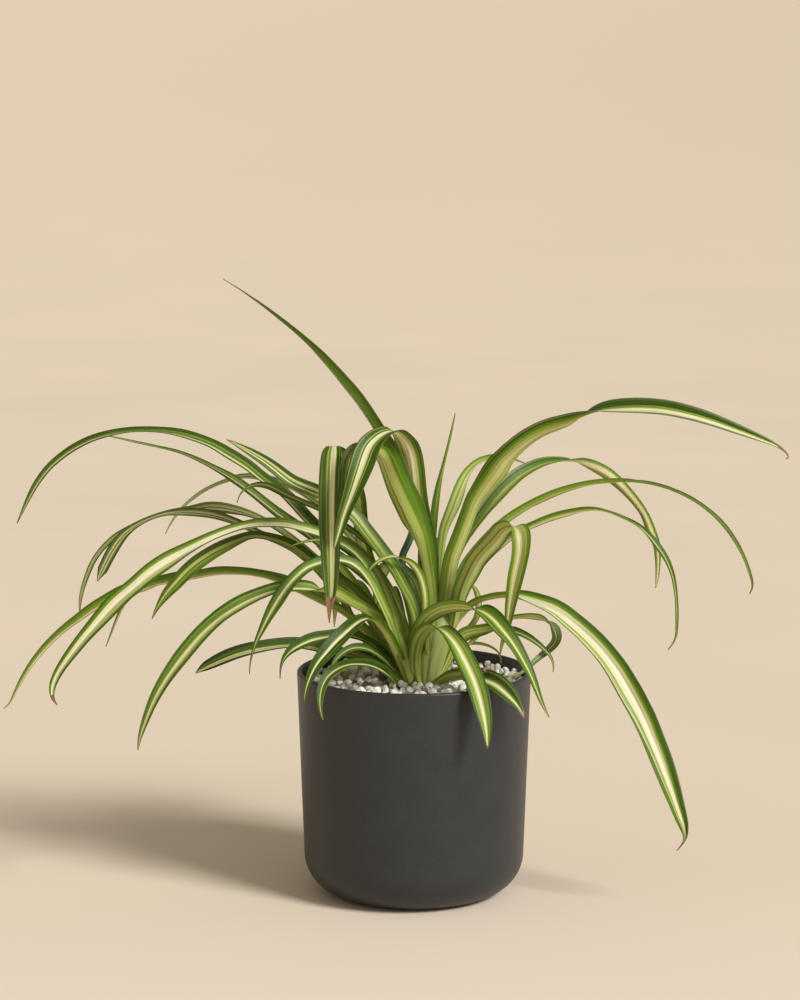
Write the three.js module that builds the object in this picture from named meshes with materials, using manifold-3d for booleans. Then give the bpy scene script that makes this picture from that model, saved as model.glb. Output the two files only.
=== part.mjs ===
// Potted spider plant: a dark straight-sided pot filled with soil, a layer of pale
// pebbles on the soil, three crowns of sheathed leaf bases and forty-seven strap leaves.
// Units are millimetres, +Z is up, the origin is the centre of the pot's flat underside.
// Seen from the front, the viewer looks along +Y and +X is to the right.
import * as THREE from 'three';
import { mergeVertices } from 'three/addons/utils/BufferGeometryUtils.js';
import Module from 'manifold-3d';

// ---- pot ----
const POT_HEIGHT = 135;
const RIM_RADIUS = 70;
const BODY_RADIUS = 66;          // where the bottom rounding starts
const BOTTOM_ROUNDING = 24;
const BASE_RADIUS = BODY_RADIUS - BOTTOM_ROUNDING;
const WALL = 3;
const FLOOR = 4;
const LIP = 1.4;                 // rounding of the lip
const POT_SEGMENTS = 64;

// ---- fill ----
const GAP = 0.3;                 // clearance between touching pieces
const SOIL_TOP = 118;
const PEBBLE_TOP = 126;
const PEBBLE_RELIEF = 1.3;
const PEBBLE_RINGS = 11;
const PEBBLE_SEGMENTS = 44;

// ---- leaves ----
const LEAF_KEEL_THICKNESS = 1.0;
const LEAF_EDGE_BASE = 0.5;      // keel thickness of the narrowest part
const LEAF_EDGE_GAIN = 0.12;     // and how fast it grows with the width

// ---- crowns: rings of [z, centre x, centre y, radius x, radius y] ----
const CROWN_SEGMENTS = 14;
const CROWNS = {
  crown_a: { colour: 0xa9b56a, rings: [[112, 8, -2, 4, 4], [120, 8, -2, 5.6, 5.6], [128, 8.5, -2, 6.6, 6.2], [138, 9.5, -2, 8.5, 7.5], [148, 11, -2, 10, 8.4], [158, 13, -2, 10.6, 7.8], [166, 15, -2, 8.5, 6.2], [170, 15.5, -2, 4.5, 3.6]] },
  crown_b: { colour: 0x8f9a55, rings: [[112, -5, 0, 3.4, 3.4], [122, -5, 0.5, 5, 5], [132, -5.5, 1, 6, 6.4], [142, -7, 1, 5.8, 6.8], [150, -8, 1, 4.4, 5.4], [154, -8.5, 1, 2, 2.6]] },
  crown_c: { colour: 0x7d7f48, rings: [[112, -14, 12, 3, 3], [122, -15, 12.5, 4.3, 4.3], [132, -16.5, 13.5, 4.8, 4.8], [142, -18.5, 14.5, 4.5, 4.5], [150, -20, 15, 2.4, 2.4]] },
};

// ---- leaves: each station holds the keel, the left edge and the right edge ----
// [keel x, y, z, left x, y, z, right x, y, z]; the upper face lies towards the edges' side
const LEAVES = [
  { name: 'leaf_tall_left', colour: 0x86a04a, roughness: 0.46, rails: [
    [8.678,-6.094,171.856,6.832,-3.415,171.86,11.615,-4.7,171.951], [7.952,-7.224,195.682,4.067,-2.71,195.965,13.566,-5.27,196.15],
    [6.966,-9.099,207.651,2.641,-4.476,208.023,12.931,-7.3,208.83], [3.743,-12.632,223.287,-1.151,-8.197,222.957,9.741,-10.827,225.406],
    [-1.428,-16.825,238.065,-6.481,-12.752,237.281,4.268,-15.304,240.893], [-7.003,-20.687,250.474,-12.111,-16.932,249.491,-1.441,-19.218,253.314],
    [-10.27,-23.995,259.47,-15.347,-20.277,259.443,-4.546,-22.953,261.87], [-14.413,-29.492,269.84,-18.895,-25.137,269.916,-8.793,-29.617,272.571],
    [-18.084,-32.287,276.377,-21.173,-26.862,276.133,-12.678,-33.864,279.082],
    [-20.927,-33.039,281.428,-22.761,-27.151,280.534,-15.882,-35.484,284.149], [-24.883,-32.377,288.228,-25.76,-26.516,286.539,-20.516,-35.186,291.546],
    [-33.823,-28.833,301.104,-34.283,-23.411,298.939,-30.145,-31.481,304.813],
    [-46.331,-23.023,315.668,-46.239,-18.248,313.542,-43.629,-25.605,319.323], [-59.503,-16.814,329.412,-59.291,-12.676,328.03,-57.584,-19.378,332.383],
    [-72.498,-11.846,340.86,-71.89,-8.618,339.913,-71.577,-14.129,343.232], [-89.295,-5.51,353.632,-89.066,-3.544,353.104,-88.782,-6.975,354.969],
    [-107.162,-1.005,365.707,-107.157,-0.494,365.544,-107.022,-1.385,366.059], [-112.237,0,368.766,-112.239,0.332,368.655,-112.148,-0.248,368.996],
  ] },
  { name: 'leaf_arch_front', colour: 0x9fae62, roughness: 0.46, rails: [
    [9.3,-1.352,171.043,7.458,1.273,170.938,12.216,-0.016,171.109], [8.364,-1.28,190.681,4.959,3.552,190.669,14.09,0.126,191.109],
    [7.279,-2.467,204.573,3.399,3.559,204.92,14.375,-1.744,205.361], [5.521,-4.292,216.444,1.215,1.987,216.652,12.929,-3.994,218.188],
    [2.122,-7.193,229.849,-2.602,-1.065,230.256,9.69,-7.202,231.508], [-0.272,-11.198,245.063,-5.328,-5.466,246.348,7.438,-11.183,245.844],
    [-1.149,-14.702,254.291,-6.656,-9.566,256.125,6.539,-14.335,255.2], [-2.111,-19.426,262.785,-8.331,-15.217,264.689,5.394,-18.526,264.488],
    [-3.257,-24.077,268.707,-9.803,-20.383,270.479,3.99,-23.311,271.263], [-4.462,-28.225,272.607,-10.927,-24.637,274.587,2.655,-28.062,275.417],
    [-7.047,-36.553,278.223,-12.793,-32.99,281.298,0.019,-37.646,280.232], [-9.434,-43.941,281.982,-14.688,-40.588,285.51,-2.613,-45.574,283.432],
    [-12.233,-51.37,284.653,-17.424,-48.324,287.88,-6.064,-53.707,286.423], [-15.053,-56.743,285.239,-19.952,-53.736,288.379,-9.697,-60.117,286.923],
    [-17.374,-60.033,284.863,-21.924,-57.225,288.369,-12.555,-64.113,285.872],
    [-21.336,-64.228,282.927,-25.861,-62.501,287.209,-16.763,-68.766,282.387],
    [-23.941,-66.568,280.753,-29.102,-65.904,285.172,-18.765,-70.871,279.606],
    [-26.096,-68.783,277.978,-32.187,-69.098,281.954,-19.984,-72.632,277.059],
    [-28.316,-72.166,273.122,-35.209,-73.104,276.346,-21.489,-75.648,272.921], [-30.747,-76.448,266.384,-37.53,-76.981,269.138,-24.454,-80.222,266.166],
    [-32.646,-78.745,261.2,-38.885,-78.892,263.556,-27.236,-82.585,260.505], [-38.831,-82.219,245.113,-42.906,-81.981,246.628,-35.41,-84.802,244.345],
    [-42.892,-84.965,232.159,-45.602,-85.192,232.992,-40.378,-86.187,231.636], [-45.797,-86.019,222.682,-46.131,-86.016,222.787,-45.5,-86.186,222.6],
  ] },
  { name: 'leaf_hang_front', colour: 0x8a9c56, roughness: 0.46, rails: [
    [-12.797,4.892,152.928,-13.497,7.018,152.703,-10.642,5.336,153.4], [-17.513,5.085,170.113,-19.179,8.971,169.552,-13.493,5.541,171.463],
    [-22.485,5.029,182.788,-24.981,9.882,181.852,-17.468,5.621,185.057], [-26.309,3.978,191.739,-29.26,9.136,191.738,-20.772,4.177,193.886],
    [-29.984,0.379,203.071,-32.939,5.822,204.286,-23.872,-0.226,204.521], [-32.718,-4.275,216.447,-35.263,1.522,217.872,-26.391,-5.649,216.881],
    [-33.873,-8.973,231.447,-36.379,-3.365,233.575,-27.617,-10.691,231.046], [-34.304,-12.48,238.669,-36.97,-7.232,241.426,-28.041,-14.184,238.319],
    [-35.918,-18.219,247.013,-39.488,-13.513,249.726,-29.615,-19.627,247.745], [-39.912,-27.365,257.121,-44.549,-23.272,259.118,-33.751,-28.146,259.04],
    [-43.58,-37.223,266.303,-49.192,-34.432,267.811,-37.557,-37.031,268.596], [-45.334,-45.056,271.912,-51.294,-43.281,272.971,-39.254,-45.095,273.592],
    [-46.342,-51.214,275.656,-52.366,-50.103,276.096,-40.267,-51.706,276.405],
    [-46.735,-54.079,276.806,-52.734,-53.296,276.923,-40.752,-54.705,277.459], [-47.042,-56.739,276.672,-52.995,-56.087,276.576,-41.175,-57.621,277.5],
    [-47.35,-60.014,274.287,-53.395,-59.49,274.349,-41.635,-61.78,275.308], [-47.662,-62.237,270.183,-53.993,-62.269,270.651,-41.993,-65.051,270.688],
    [-48.091,-63.552,262.726,-54.695,-64.34,263.099,-42.416,-67.032,262.936], [-48.359,-66.584,246.989,-55.036,-67.332,247.125,-42.842,-70.331,247.818],
    [-48.231,-69.634,233.304,-54.801,-70.315,233.342,-42.771,-73.192,234.382], [-47.798,-74.057,219.887,-53.936,-74.764,220.03,-42.469,-76.989,220.988],
    [-47.774,-77.318,208.331,-52.935,-77.82,208.425,-43.231,-79.767,208.836], [-47.876,-78.785,196.512,-51.442,-79.082,196.681,-44.686,-80.415,196.461],
    [-48.646,-78.995,184.595,-49.946,-78.702,184.625,-47.655,-79.887,184.573], [-48.651,-79,178.612,-48.983,-78.887,178.609,-48.412,-79.255,178.614],
  ] },
  { name: 'leaf_arch_mid', colour: 0x8b9a55, roughness: 0.46, rails: [
    [9.139,-8.682,166.552,8.778,-6.748,166.784,11.114,-8.599,166.685], [7.804,-12.168,182.882,7.261,-8.327,183.566,11.644,-13.003,183.133],
    [5.912,-14.091,196.642,5.322,-8.396,197.101,11.266,-16.052,197.335], [3.316,-15.306,209.949,2.069,-9.046,210.286,9.202,-17.551,211.027],
    [1.344,-16.142,217.341,-1.088,-10.128,217.355,7.378,-17.652,219.184], [-2.286,-17.931,226.163,-6.643,-13.14,225.601,3.661,-17.664,228.772],
    [-5.167,-20.178,233.149,-10.039,-15.898,232.712,0.687,-19.471,235.884], [-8.881,-23.975,241.551,-13.835,-19.768,241.571,-3.002,-23.583,244.296],
    [-14.007,-31.522,254.643,-18.368,-26.987,256.073,-7.819,-32.296,256.299], [-16.53,-37.224,262.428,-20.859,-33.161,264.44,-10.442,-38.047,263.673],
    [-18.565,-42.494,268.112,-23.432,-39.205,269.438,-12.941,-42.804,270.243], [-20.652,-46.928,271.68,-25.815,-44.319,271.345,-16.253,-46.932,275.453],
    [-22.628,-50.092,273.369,-27.334,-47.229,272.135,-19.207,-50.566,277.834], [-23.813,-51.606,273.992,-28.245,-48.378,272.949,-20.526,-52.66,278.379],
    [-25.105,-53.129,274.494,-29.299,-49.533,274.251,-21.653,-55.021,278.379],
    [-27.931,-56.197,275.136,-31.264,-52.687,277.676,-24.037,-59.763,276.552], [-29.429,-57.73,275.252,-32.217,-54.896,278.98,-25.559,-61.566,275.2],
    [-30.951,-59.245,275.194,-33.441,-57.249,279.596,-27.136,-62.953,274.07], [-32.447,-60.729,274.905,-35.064,-59.5,279.499,-28.532,-64.122,273.284],
    [-33.842,-62.167,274.328,-36.978,-61.566,278.708,-29.648,-65.218,272.752], [-35.048,-63.541,273.429,-38.89,-63.448,277.241,-30.532,-66.304,272.299],
    [-36.679,-65.998,270.759,-41.575,-66.536,272.966,-31.883,-68.473,270.845], [-37.436,-68.142,267.395,-42.641,-68.842,268.515,-32.747,-70.678,268.04],
    [-38.201,-70.833,259.92,-43.242,-71.427,260.628,-33.812,-73.474,260.102], [-40.507,-73.742,246.482,-44.304,-73.695,247.36,-37.311,-75.96,246.234],
    [-43.99,-76.953,231.309,-46.139,-77.04,231.757,-42.059,-77.975,231.064], [-45.395,-77.694,223.579,-45.74,-77.693,223.638,-45.089,-77.859,223.538],
  ] },
  { name: 'leaf_spike_centre', colour: 0x6c8732, roughness: 0.50, rails: [
    [13.016,2.31,172.68,11.914,2.785,172.648,13.651,3.328,172.65], [12.779,2.659,190.597,10.517,2.457,190.527,13.572,4.788,190.615],
    [11.93,3.019,206.497,8.707,1.966,206.468,13.007,6.229,206.305], [12.282,4.403,218.283,9.004,3.242,218.676,13.472,7.646,217.722],
    [14.161,7.183,237.82,11.255,5.753,238.439,15.128,10.283,237.247], [16.789,9.484,251.254,14.71,7.869,252.069,17.161,12.14,250.619],
    [20.232,12.362,266.478,18.916,11.219,266.925,20.534,14.107,266.162], [23.82,15.165,283.744,23.309,14.913,283.903,24.125,15.644,283.58],
    [24.613,16,287.542,24.311,15.851,287.639,24.802,16.276,287.441],
  ] },
  { name: 'leaf_mid_right', colour: 0xa9b766, roughness: 0.46, rails: [
    [14.729,3.256,172.587,13.588,3.985,172.566,15.4,4.385,172.255], [16.192,6.285,190.197,14.37,6.412,190.362,16.782,7.977,189.811],
    [18.646,11.39,213.468,14.513,9.685,214.486,19.313,15.76,212.25], [20.441,13.539,220.87,16.174,12.039,222.951,21.541,18.023,219.006],
    [25.512,18.032,233.034,20.994,17.5,235.099,27.533,21.842,230.513], [28.94,22.227,241.4,24.709,21.33,243.702,30.532,25.972,238.673],
    [32.06,26.057,247.638,28.921,24.505,250.692,32.341,29.752,244.834], [35.091,29.306,251.589,33.167,27.617,255.114,34.369,32.699,248.955],
    [38.786,32.918,254.489,38.115,31.432,258.132,37.309,35.837,252.202], [44.376,38.147,256.549,44.889,36.856,259.651,42.5,40.561,255.062],
    [50.386,43.314,256.995,51.441,42.179,259.201,48.731,45.309,256.256], [56.661,48.044,255.828,57.668,47.179,257.173,55.524,49.506,255.456],
    [69.512,56,250.845,69.715,55.84,251.081,69.308,56.265,250.741],
  ] },
  { name: 'leaf_arch_right', colour: 0x7f9440, roughness: 0.46, rails: [
    [18.508,-4.738,170.679,16.412,-3.584,171.008,19.772,-2.681,170.761], [21.302,-8.094,194.574,16.694,-6.08,195.387,24.553,-4.172,194.602],
    [22.635,-8.935,202.316,17.535,-6.726,203.829,26.49,-4.675,201.891], [25.647,-10.342,211.555,20.528,-8.297,213.747,29.666,-6.03,210.892],
    [31.682,-13.795,228.064,26.411,-12.288,230.289,35.783,-9.549,227.695], [34.214,-15.806,235.375,28.747,-14.314,237.848,38.656,-11.524,234.977],
    [37.41,-17.931,242.366,32.246,-15.724,245.88,42.523,-14.013,240.817], [43.19,-21.491,252.251,38.055,-18.276,256.742,49.483,-18.179,249.742],
    [48.297,-24.743,260.202,42.951,-21.332,264.928,54.864,-21.552,257.163], [52.792,-27.088,266.354,48.543,-24.95,270.965,57.746,-23.801,263.431],
    [62.262,-31.619,275.591,58.369,-30.956,280.447,66.261,-27.53,273.047], [71.552,-35.268,282.195,68.375,-35.65,287.563,74.74,-30.541,279.634],
    [80.195,-38.365,286.095,77.781,-39.385,291.76,82.857,-33.335,283.533], [89.199,-41.247,289.339,86.497,-43.459,294.435,91.444,-35.688,287.845],
    [96.274,-43.195,292.508,93.565,-47.325,296.04,97.462,-37.275,293.143], [103.474,-44.798,295.562,101.879,-50.31,297.039,103.517,-39.599,298.404],
    [111.073,-46.197,297.562,110.207,-51.829,296.848,110.844,-42.586,302.021], [120.81,-47.935,298.994,120.19,-52.803,296.581,120.617,-46.038,304.119],
    [132.602,-50.025,299.57,131.895,-53.877,296.199,132.739,-49.477,304.707], [144.371,-52.174,298.8,143.258,-55.587,295.329,145.05,-51.991,303.744],
    [161.662,-55.574,295.201,160.327,-58.563,292.061,162.821,-55.452,299.585],
    [178.627,-57.982,289.727,177.395,-60.296,287.187,179.902,-57.823,293.143], [200.849,-61.399,281.336,200.13,-62.688,280.102,201.62,-61.061,283.065],
    [209.609,-62.804,276.87,209.199,-63.563,276.488,210.157,-62.426,277.537], [212.412,-63.393,274.408,212.07,-63.905,274.243,212.882,-63.125,274.747],
    [213.294,-63.735,273.176,212.945,-64.13,273.129,213.757,-63.545,273.348], [213.542,-64.124,272.175,213.204,-64.364,272.34,213.977,-64.066,272.091],
    [212.175,-65,271.314,212.083,-65.008,271.651,212.325,-65.142,271.031],
  ] },
  { name: 'leaf_loop_right', colour: 0x95a65c, roughness: 0.46, rails: [
    [18.442,2.982,171.858,19.256,1.445,172.066,16.868,2.251,172.099], [20.019,5.755,185.429,21.43,3.534,185.696,17.595,4.912,186.067],
    [22.512,7.995,194.791,24.323,5.194,194.804,19.493,7.276,196.013], [27.859,10.909,207.321,29.944,7.22,207.235,24.152,10.659,209.359],
    [33.194,13.654,215.234,35.16,9.47,215.374,29.455,14.256,217.889], [40.254,17.374,224.137,42.473,13.009,224.436,36.233,18.312,226.787],
    [47.067,21.912,232.845,50.309,18.065,232.382,43.163,22.013,236.05], [51.862,25.305,238.223,55.436,21.726,237.132,48.264,25.132,241.938],
    [60.047,30.574,245.141,63.162,26.753,244.124,56.856,31.132,248.994], [67.643,35.188,249.569,70.377,31.038,249.019,64.936,36.776,253.462],
    [77.574,40.842,253.005,79.874,36.408,253.182,75.319,43.546,256.554], [86.413,45.254,254.058,88.457,40.855,255.122,84.607,48.896,256.912],
    [95.523,49.218,253.712,97.392,45.312,255.908,93.989,53.54,255.304], [102.735,52.095,252.033,104.804,49.751,255.556,100.884,56.402,251.575],
    [109.719,54.697,249.251,111.823,53.94,253.191,107.634,58.237,247.341], [116.525,56.694,245.653,118.729,57.08,249.397,114.231,59.351,243.064],
    [122.722,58.281,240.953,125.338,58.911,244.104,120.126,60.561,238.666], [132.234,60.781,231.085,134.908,60.596,233.367,130.071,63.216,229.75],
    [139.504,62.521,221.771,142.047,62.258,223.419,137.571,64.663,220.81], [143.256,63.451,214.843,146.098,63.416,216.03,140.968,65.385,214.125],
    [146.942,64.638,205.682,149.751,64.747,206.912,144.526,66.347,204.867], [149.555,65.507,198.252,151.992,65.378,198.777,147.586,67.011,197.95],
    [150.378,65.959,188.386,152.237,65.882,188.421,148.839,67.004,188.371], [149.325,66,172.503,149.672,65.976,172.464,149.03,66.185,172.537],
  ] },
  { name: 'leaf_dark_arc_high', colour: 0x5a7428, roughness: 0.50, rails: [
    [21.164,-1.992,172.308,20.142,-1.397,172.511,21.756,-0.955,172.183], [24.155,-1.652,183.848,22.896,-1.059,184.212,24.872,-0.443,183.544],
    [28.386,-1.266,194.985,26.524,-0.939,195.871,29.188,0.626,194.621], [33.692,-1.443,203.439,31.497,-1.495,205.159,34.427,1.191,202.888],
    [42.927,-1.015,213.954,40.545,-1.216,216.335,43.686,2.12,212.959], [53.297,-0.107,223.279,51.065,-0.312,226.156,54.073,3.147,221.827],
    [63.156,1.333,229.913,61.34,0.713,233.126,63.508,4.715,228.35], [77.16,3.777,237.19,75.873,2.746,240.558,77.229,7.209,235.679],
    [90.127,5.983,241.916,89.313,4.68,245.337,89.938,9.481,240.576], [103.53,8.264,245.154,103.243,6.53,248.467,103.084,11.864,244.205],
    [119.222,10.856,246.568,119.448,8.403,249.341,118.664,14.522,246.483], [129.099,12.259,246.577,129.615,9.38,248.7,128.674,15.792,247.21],
    [138.929,13.454,245.351,139.517,10.276,246.612,138.827,16.645,246.707], [150.45,14.596,242.316,151.072,11.587,243.341,150.623,17.575,243.578],
    [163.228,15.656,236.779,163.606,12.79,237.052,163.844,18.052,238.299], [174.895,16.637,229.17,174.93,14.15,228.921,175.868,18.398,230.654],
    [183.791,17.522,221.218,183.431,15.517,220.691,185.014,18.671,222.485], [191.313,17.971,211.927,190.517,16.619,211.368,192.622,18.472,212.825],
    [198.191,18,199.775,197.329,17.229,199.377,199.296,18.118,200.284], [202.986,18,186.672,202.149,17.792,186.46,203.811,17.743,186.88],
    [203.56,18,182.862,202.874,17.979,182.87,204.167,17.682,182.854], [201.882,18,177.629,201.578,18.068,177.788,202.122,17.779,177.503],
  ] },
  { name: 'leaf_dark_arc_low', colour: 0x5f762e, roughness: 0.50, rails: [
    [26.995,-6.099,173.396,25.979,-5.552,173.749,27.635,-5.077,173.377], [31.091,-7.864,184.472,29.695,-7.272,185.189,32.023,-6.482,184.289],
    [35.55,-9.448,193.231,33.667,-8.991,194.511,36.734,-7.479,192.897], [42.624,-11.844,202.561,40.174,-11.966,204.579,43.95,-8.964,202.343],
    [50.335,-15.239,211.035,47.735,-15.602,213.459,52.087,-12.127,210.893], [60.004,-20.376,219.675,57.587,-21.109,222.431,61.813,-17.124,219.328],
    [69.705,-24.325,225.396,67.717,-25.322,228.415,71.304,-21.011,224.674], [81.717,-28.622,231.013,80.13,-29.641,234.254,83.256,-25.348,230.027],
    [96.166,-33.661,235.507,94.874,-35.309,238.615,97.43,-30.19,234.876], [103.68,-35.884,236.874,102.792,-38.266,239.599,104.671,-32.292,236.897],
    [109.401,-37.426,236.721,108.979,-40.289,238.995,110.408,-33.924,237.242], [118.618,-39.738,233.891,118.576,-42.88,235.539,119.703,-36.481,234.788],
    [127.508,-41.488,229.783,127.501,-44.687,230.799,128.746,-38.603,230.968], [133.717,-42.75,225.027,133.362,-45.876,225.37,135.489,-40.484,226.349],
    [140.193,-44.141,217.601,139.229,-46.837,217.267,142.311,-42.798,219.023], [145.804,-45.169,209.467,144.882,-47.54,209.217,147.85,-43.995,210.451],
    [149.501,-45.849,200.277,148.714,-47.884,200.129,151.357,-44.804,200.774],
    [151.895,-45.999,186.552,151.239,-47.461,186.482,153.287,-45.216,186.703], [152.725,-46,170.626,151.817,-46.271,170.625,153.637,-46.254,170.628],
    [152.372,-46,164.721,151.696,-45.915,164.851,152.91,-46.423,164.617], [150.126,-46,159.401,149.779,-45.808,159.626,150.352,-46.369,159.254],
    [147.785,-46,156.204,147.546,-45.82,156.385,147.928,-46.3,156.095],
  ] },
  { name: 'leaf_fold_right', colour: 0xaab478, roughness: 0.46, rails: [
    [22.398,-7.917,160.057,21.269,-7.472,161.079,23.036,-6.474,160.22], [23.943,-9,163.441,22.546,-8.265,163.929,24.696,-7.537,163.587],
    [26.119,-11.581,175.094,23.96,-10.475,175.875,27.736,-9.624,175.302], [28.386,-14.503,184.679,24.906,-12.726,186.131,31.444,-11.672,184.573],
    [32.326,-17.452,195.36,27.829,-14.358,198.192,37.453,-14.26,194.199], [35.252,-19.835,202.235,30.513,-16.531,205.904,41.124,-16.719,200.61],
    [39.132,-22.86,208.435,35.032,-19.836,213.156,44.901,-19.996,205.837], [44.687,-27.319,215.439,40.685,-24.729,220.473,50.412,-24.591,212.639],
    [48.744,-31.192,221.109,44.099,-29.308,225.44,54.455,-28.264,219.466], [51.827,-34.369,225.027,47.845,-33.931,229.955,56.729,-30.714,223.31],
    [54.479,-36.655,226.749,51.198,-37.872,231.95,58.716,-32.22,225.452], [55.927,-37.837,227.236,52.862,-40.254,232.121,59.942,-33.066,226.778],
    [57.379,-39.034,227.391,54.381,-42.744,231.421,61.393,-34.322,228.22], [58.757,-40.23,227.138,55.502,-44.84,229.8,63.121,-36.346,229.325],
    [59.966,-41.407,226.445,56.034,-46.075,227.703,64.901,-39.095,229.466], [60.933,-42.544,225.355,56.165,-46.518,225.713,66.285,-42.032,228.475],
    [61.625,-43.622,223.962,56.211,-46.618,223.999,67.07,-44.631,226.725], [62.294,-45.535,220.646,56.394,-46.976,220.839,67.389,-48.311,222.451],
    [62.169,-47.733,215.123,56.431,-48.122,215.864,66.659,-51.333,215.839], [60.734,-49.834,207.567,55.395,-49.968,208.907,64.887,-53.444,207.358],
    [58.914,-50.975,199.866,53.874,-51.293,200.935,62.902,-54.196,199.252], [56.711,-50.611,187.824,52.786,-50.73,188.486,59.743,-53.083,187.074],
    [54.931,-49.906,175.642,52.286,-49.8,176.019,57.014,-51.567,175.406], [53.111,-50.922,167.965,51.382,-50.671,168.467,54.485,-52.097,167.774],
    [50.364,-53.026,158.704,49.499,-52.849,158.846,51.046,-53.603,158.672], [49.754,-53.597,154.865,49.414,-53.523,154.904,50.022,-53.822,154.857],
  ] },
  { name: 'leaf_front_right', colour: 0x8ba04a, roughness: 0.46, rails: [
    [1.108,-6.803,132.697,-0.215,-5.642,132.397,1.792,-5.628,133.855], [-0.614,-8.424,135.992,-2.172,-7.387,135.986,0.268,-6.976,136.781],
    [-0.779,-9.486,139.686,-2.439,-8.553,139.968,0.199,-7.873,140.068], [-0.121,-12.26,149.243,-2.226,-11.288,149.868,1.378,-10.431,149.66],
    [2.048,-15.825,158.279,-0.766,-14.698,159.712,4.466,-13.513,158.506], [4.81,-19.133,164.981,1.498,-17.879,167.46,8.098,-16.333,164.806],
    [7.77,-21.931,169.325,4.559,-20.595,173.081,11.678,-18.801,168.259], [11.545,-24.896,172.87,8.698,-23.722,177.706,15.628,-21.406,170.865],
    [15.953,-27.885,175.545,13.633,-27.527,181.049,19.628,-23.846,173.097], [22.585,-31.784,177.653,20.851,-32.694,183.325,25.706,-27.184,175.396],
    [29.461,-35.919,178.598,27.879,-37.719,184.099,32.685,-31.158,176.885], [32.856,-38.25,178.792,30.588,-41.109,183.553,36.387,-33.412,178.462],
    [36.178,-40.805,178.81,32.986,-44.963,181.718,39.8,-36.473,180.824], [39.398,-43.53,178.328,35.582,-48.077,179.083,42.948,-40.604,182.155],
    [42.459,-46.328,177.233,38.25,-50.54,176.728,46.058,-44.713,181.722], [46.587,-50.366,174.602,41.993,-54.014,173.438,50.605,-50.055,179.021],
    [50.167,-53.7,170.97,45.806,-57.327,169.714,54.521,-53.709,174.815], [54.781,-56.577,165.351,51.676,-60.655,164.508,59.016,-55.614,168.199],
    [60.081,-59.022,157.531,57.52,-62.632,157.054,63.902,-57.918,159.531], [67.386,-62.97,144.011,65.547,-65.38,143.81,70.124,-62.137,145.029],
    [73.34,-65.578,129.434,72.426,-66.578,129.119,74.582,-65.237,129.959], [77.83,-66,120.528,77.622,-66.262,120.426,78.122,-65.877,120.678],
  ] },
  { name: 'leaf_front_centre', colour: 0x93a552, roughness: 0.46, rails: [
    [1.943,-14.245,148.655,-1.61,-13.344,149.707,4.44,-11.581,149.756], [3.716,-18.635,155.734,-0.967,-18.18,157.796,7.102,-14.957,156.909],
    [5.96,-21.743,160.136,0.948,-21.883,163.468,9.958,-17.302,160.858], [8.986,-24.806,163.364,4.459,-25.926,167.979,13.413,-19.971,163.659],
    [11.322,-27.066,164.67,7.17,-29.412,169.408,15.894,-22.193,165.409], [13.753,-29.602,165.184,9.623,-33.196,169.13,18.536,-25.213,167.03],
    [16.113,-32.393,164.868,11.808,-36.542,168.001,21.301,-28.916,167.428], [19.317,-36.836,163.145,14.993,-41.18,165.97,25.035,-34.182,165.557],
    [23.187,-42.729,159.556,18.687,-47.19,161.808,29.09,-40.675,162.036], [28.207,-51.261,152.739,22.954,-54.986,153.69,33.974,-50.717,155.706],
    [31.998,-58.009,146.254,26.524,-61.436,146.539,37.68,-58.048,149.337], [35.947,-65.187,137.439,30.443,-68.405,137.69,41.834,-65.606,139.868],
    [38.497,-70.044,129.175,33.434,-72.949,129.246,44.043,-70.588,130.916], [40.77,-74.707,118.422,37.163,-76.515,118.59,44.726,-75.06,119.158],
    [41.928,-79.002,105.181,41.631,-79.184,105.218,42.276,-78.975,105.192],
  ] },
  { name: 'leaf_low_right', colour: 0x5a7428, roughness: 0.50, rails: [
    [15.206,-10.411,128.343,14.737,-9.786,129.768,16.622,-9.631,128.173], [20.131,-17.956,132.541,19.248,-17.488,134.928,22.326,-16.695,132.009],
    [27.813,-29.175,136.587,26.295,-28.942,140.894,31.56,-27.163,134.909], [32.413,-36.151,138.24,30.69,-36.289,143.335,36.722,-33.729,136.116],
    [34.816,-39.782,138.895,31.819,-41.032,143.486,39.508,-36.749,138.256], [37.3,-43.434,139.42,32.858,-46.276,141.592,41.401,-40.294,141.838],
    [39.871,-47.003,139.721,35.383,-50.412,138.957,42.425,-44.869,144.334], [42.522,-50.347,139.724,38.42,-53.681,137.507,44.306,-49.147,145.038],
    [46.573,-54.657,138.92,42.53,-57.931,136.246,48.836,-54.272,144.302], [50.52,-57.997,136.831,46.418,-61.047,134.293,53.679,-58.232,141.579],
    [54.27,-60.632,133.674,50.528,-63.294,131.621,57.628,-60.949,137.406], [58.966,-63.741,128.527,56.581,-65.687,127.717,61.563,-63.395,130.332],
    [61.818,-65.826,123.875,60.691,-66.952,123.772,63.258,-65.367,124.389], [63.278,-67.096,120.432,63.044,-67.356,120.432,63.592,-66.963,120.511],
  ] },
  { name: 'leaf_wide_right', colour: 0xb9bd85, roughness: 0.46, rails: [
    [31.086,-5.456,170.156,27.946,-6.657,173.135,31.268,-0.969,170.025], [34.965,-6.14,174.186,31.367,-8.708,177.099,35.318,-1.087,175.726],
    [37.918,-7.479,176.513,34.195,-10.66,179.602,38.998,-2.383,179.043], [43.013,-10.672,179.067,39.152,-14.232,182.629,45.3,-5.578,182.083],
    [50.263,-15.646,181.362,46.759,-19.657,185.458,53.05,-10.211,184.161], [55.867,-18.75,182.19,53.321,-23.804,186.216,58.41,-13.052,185.241],
    [61.55,-21.028,181.816,59.743,-27.352,184.522,64.041,-15.875,186.038], [69.007,-23.51,180.108,67.098,-30.388,181.229,71.76,-19.277,185.277],
    [80.066,-26.662,176.727,78.065,-33.606,176.137,83.192,-23.469,182.435], [86.903,-28.406,173.045,84.224,-34.998,171.656,91.171,-26.322,178.523],
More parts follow.
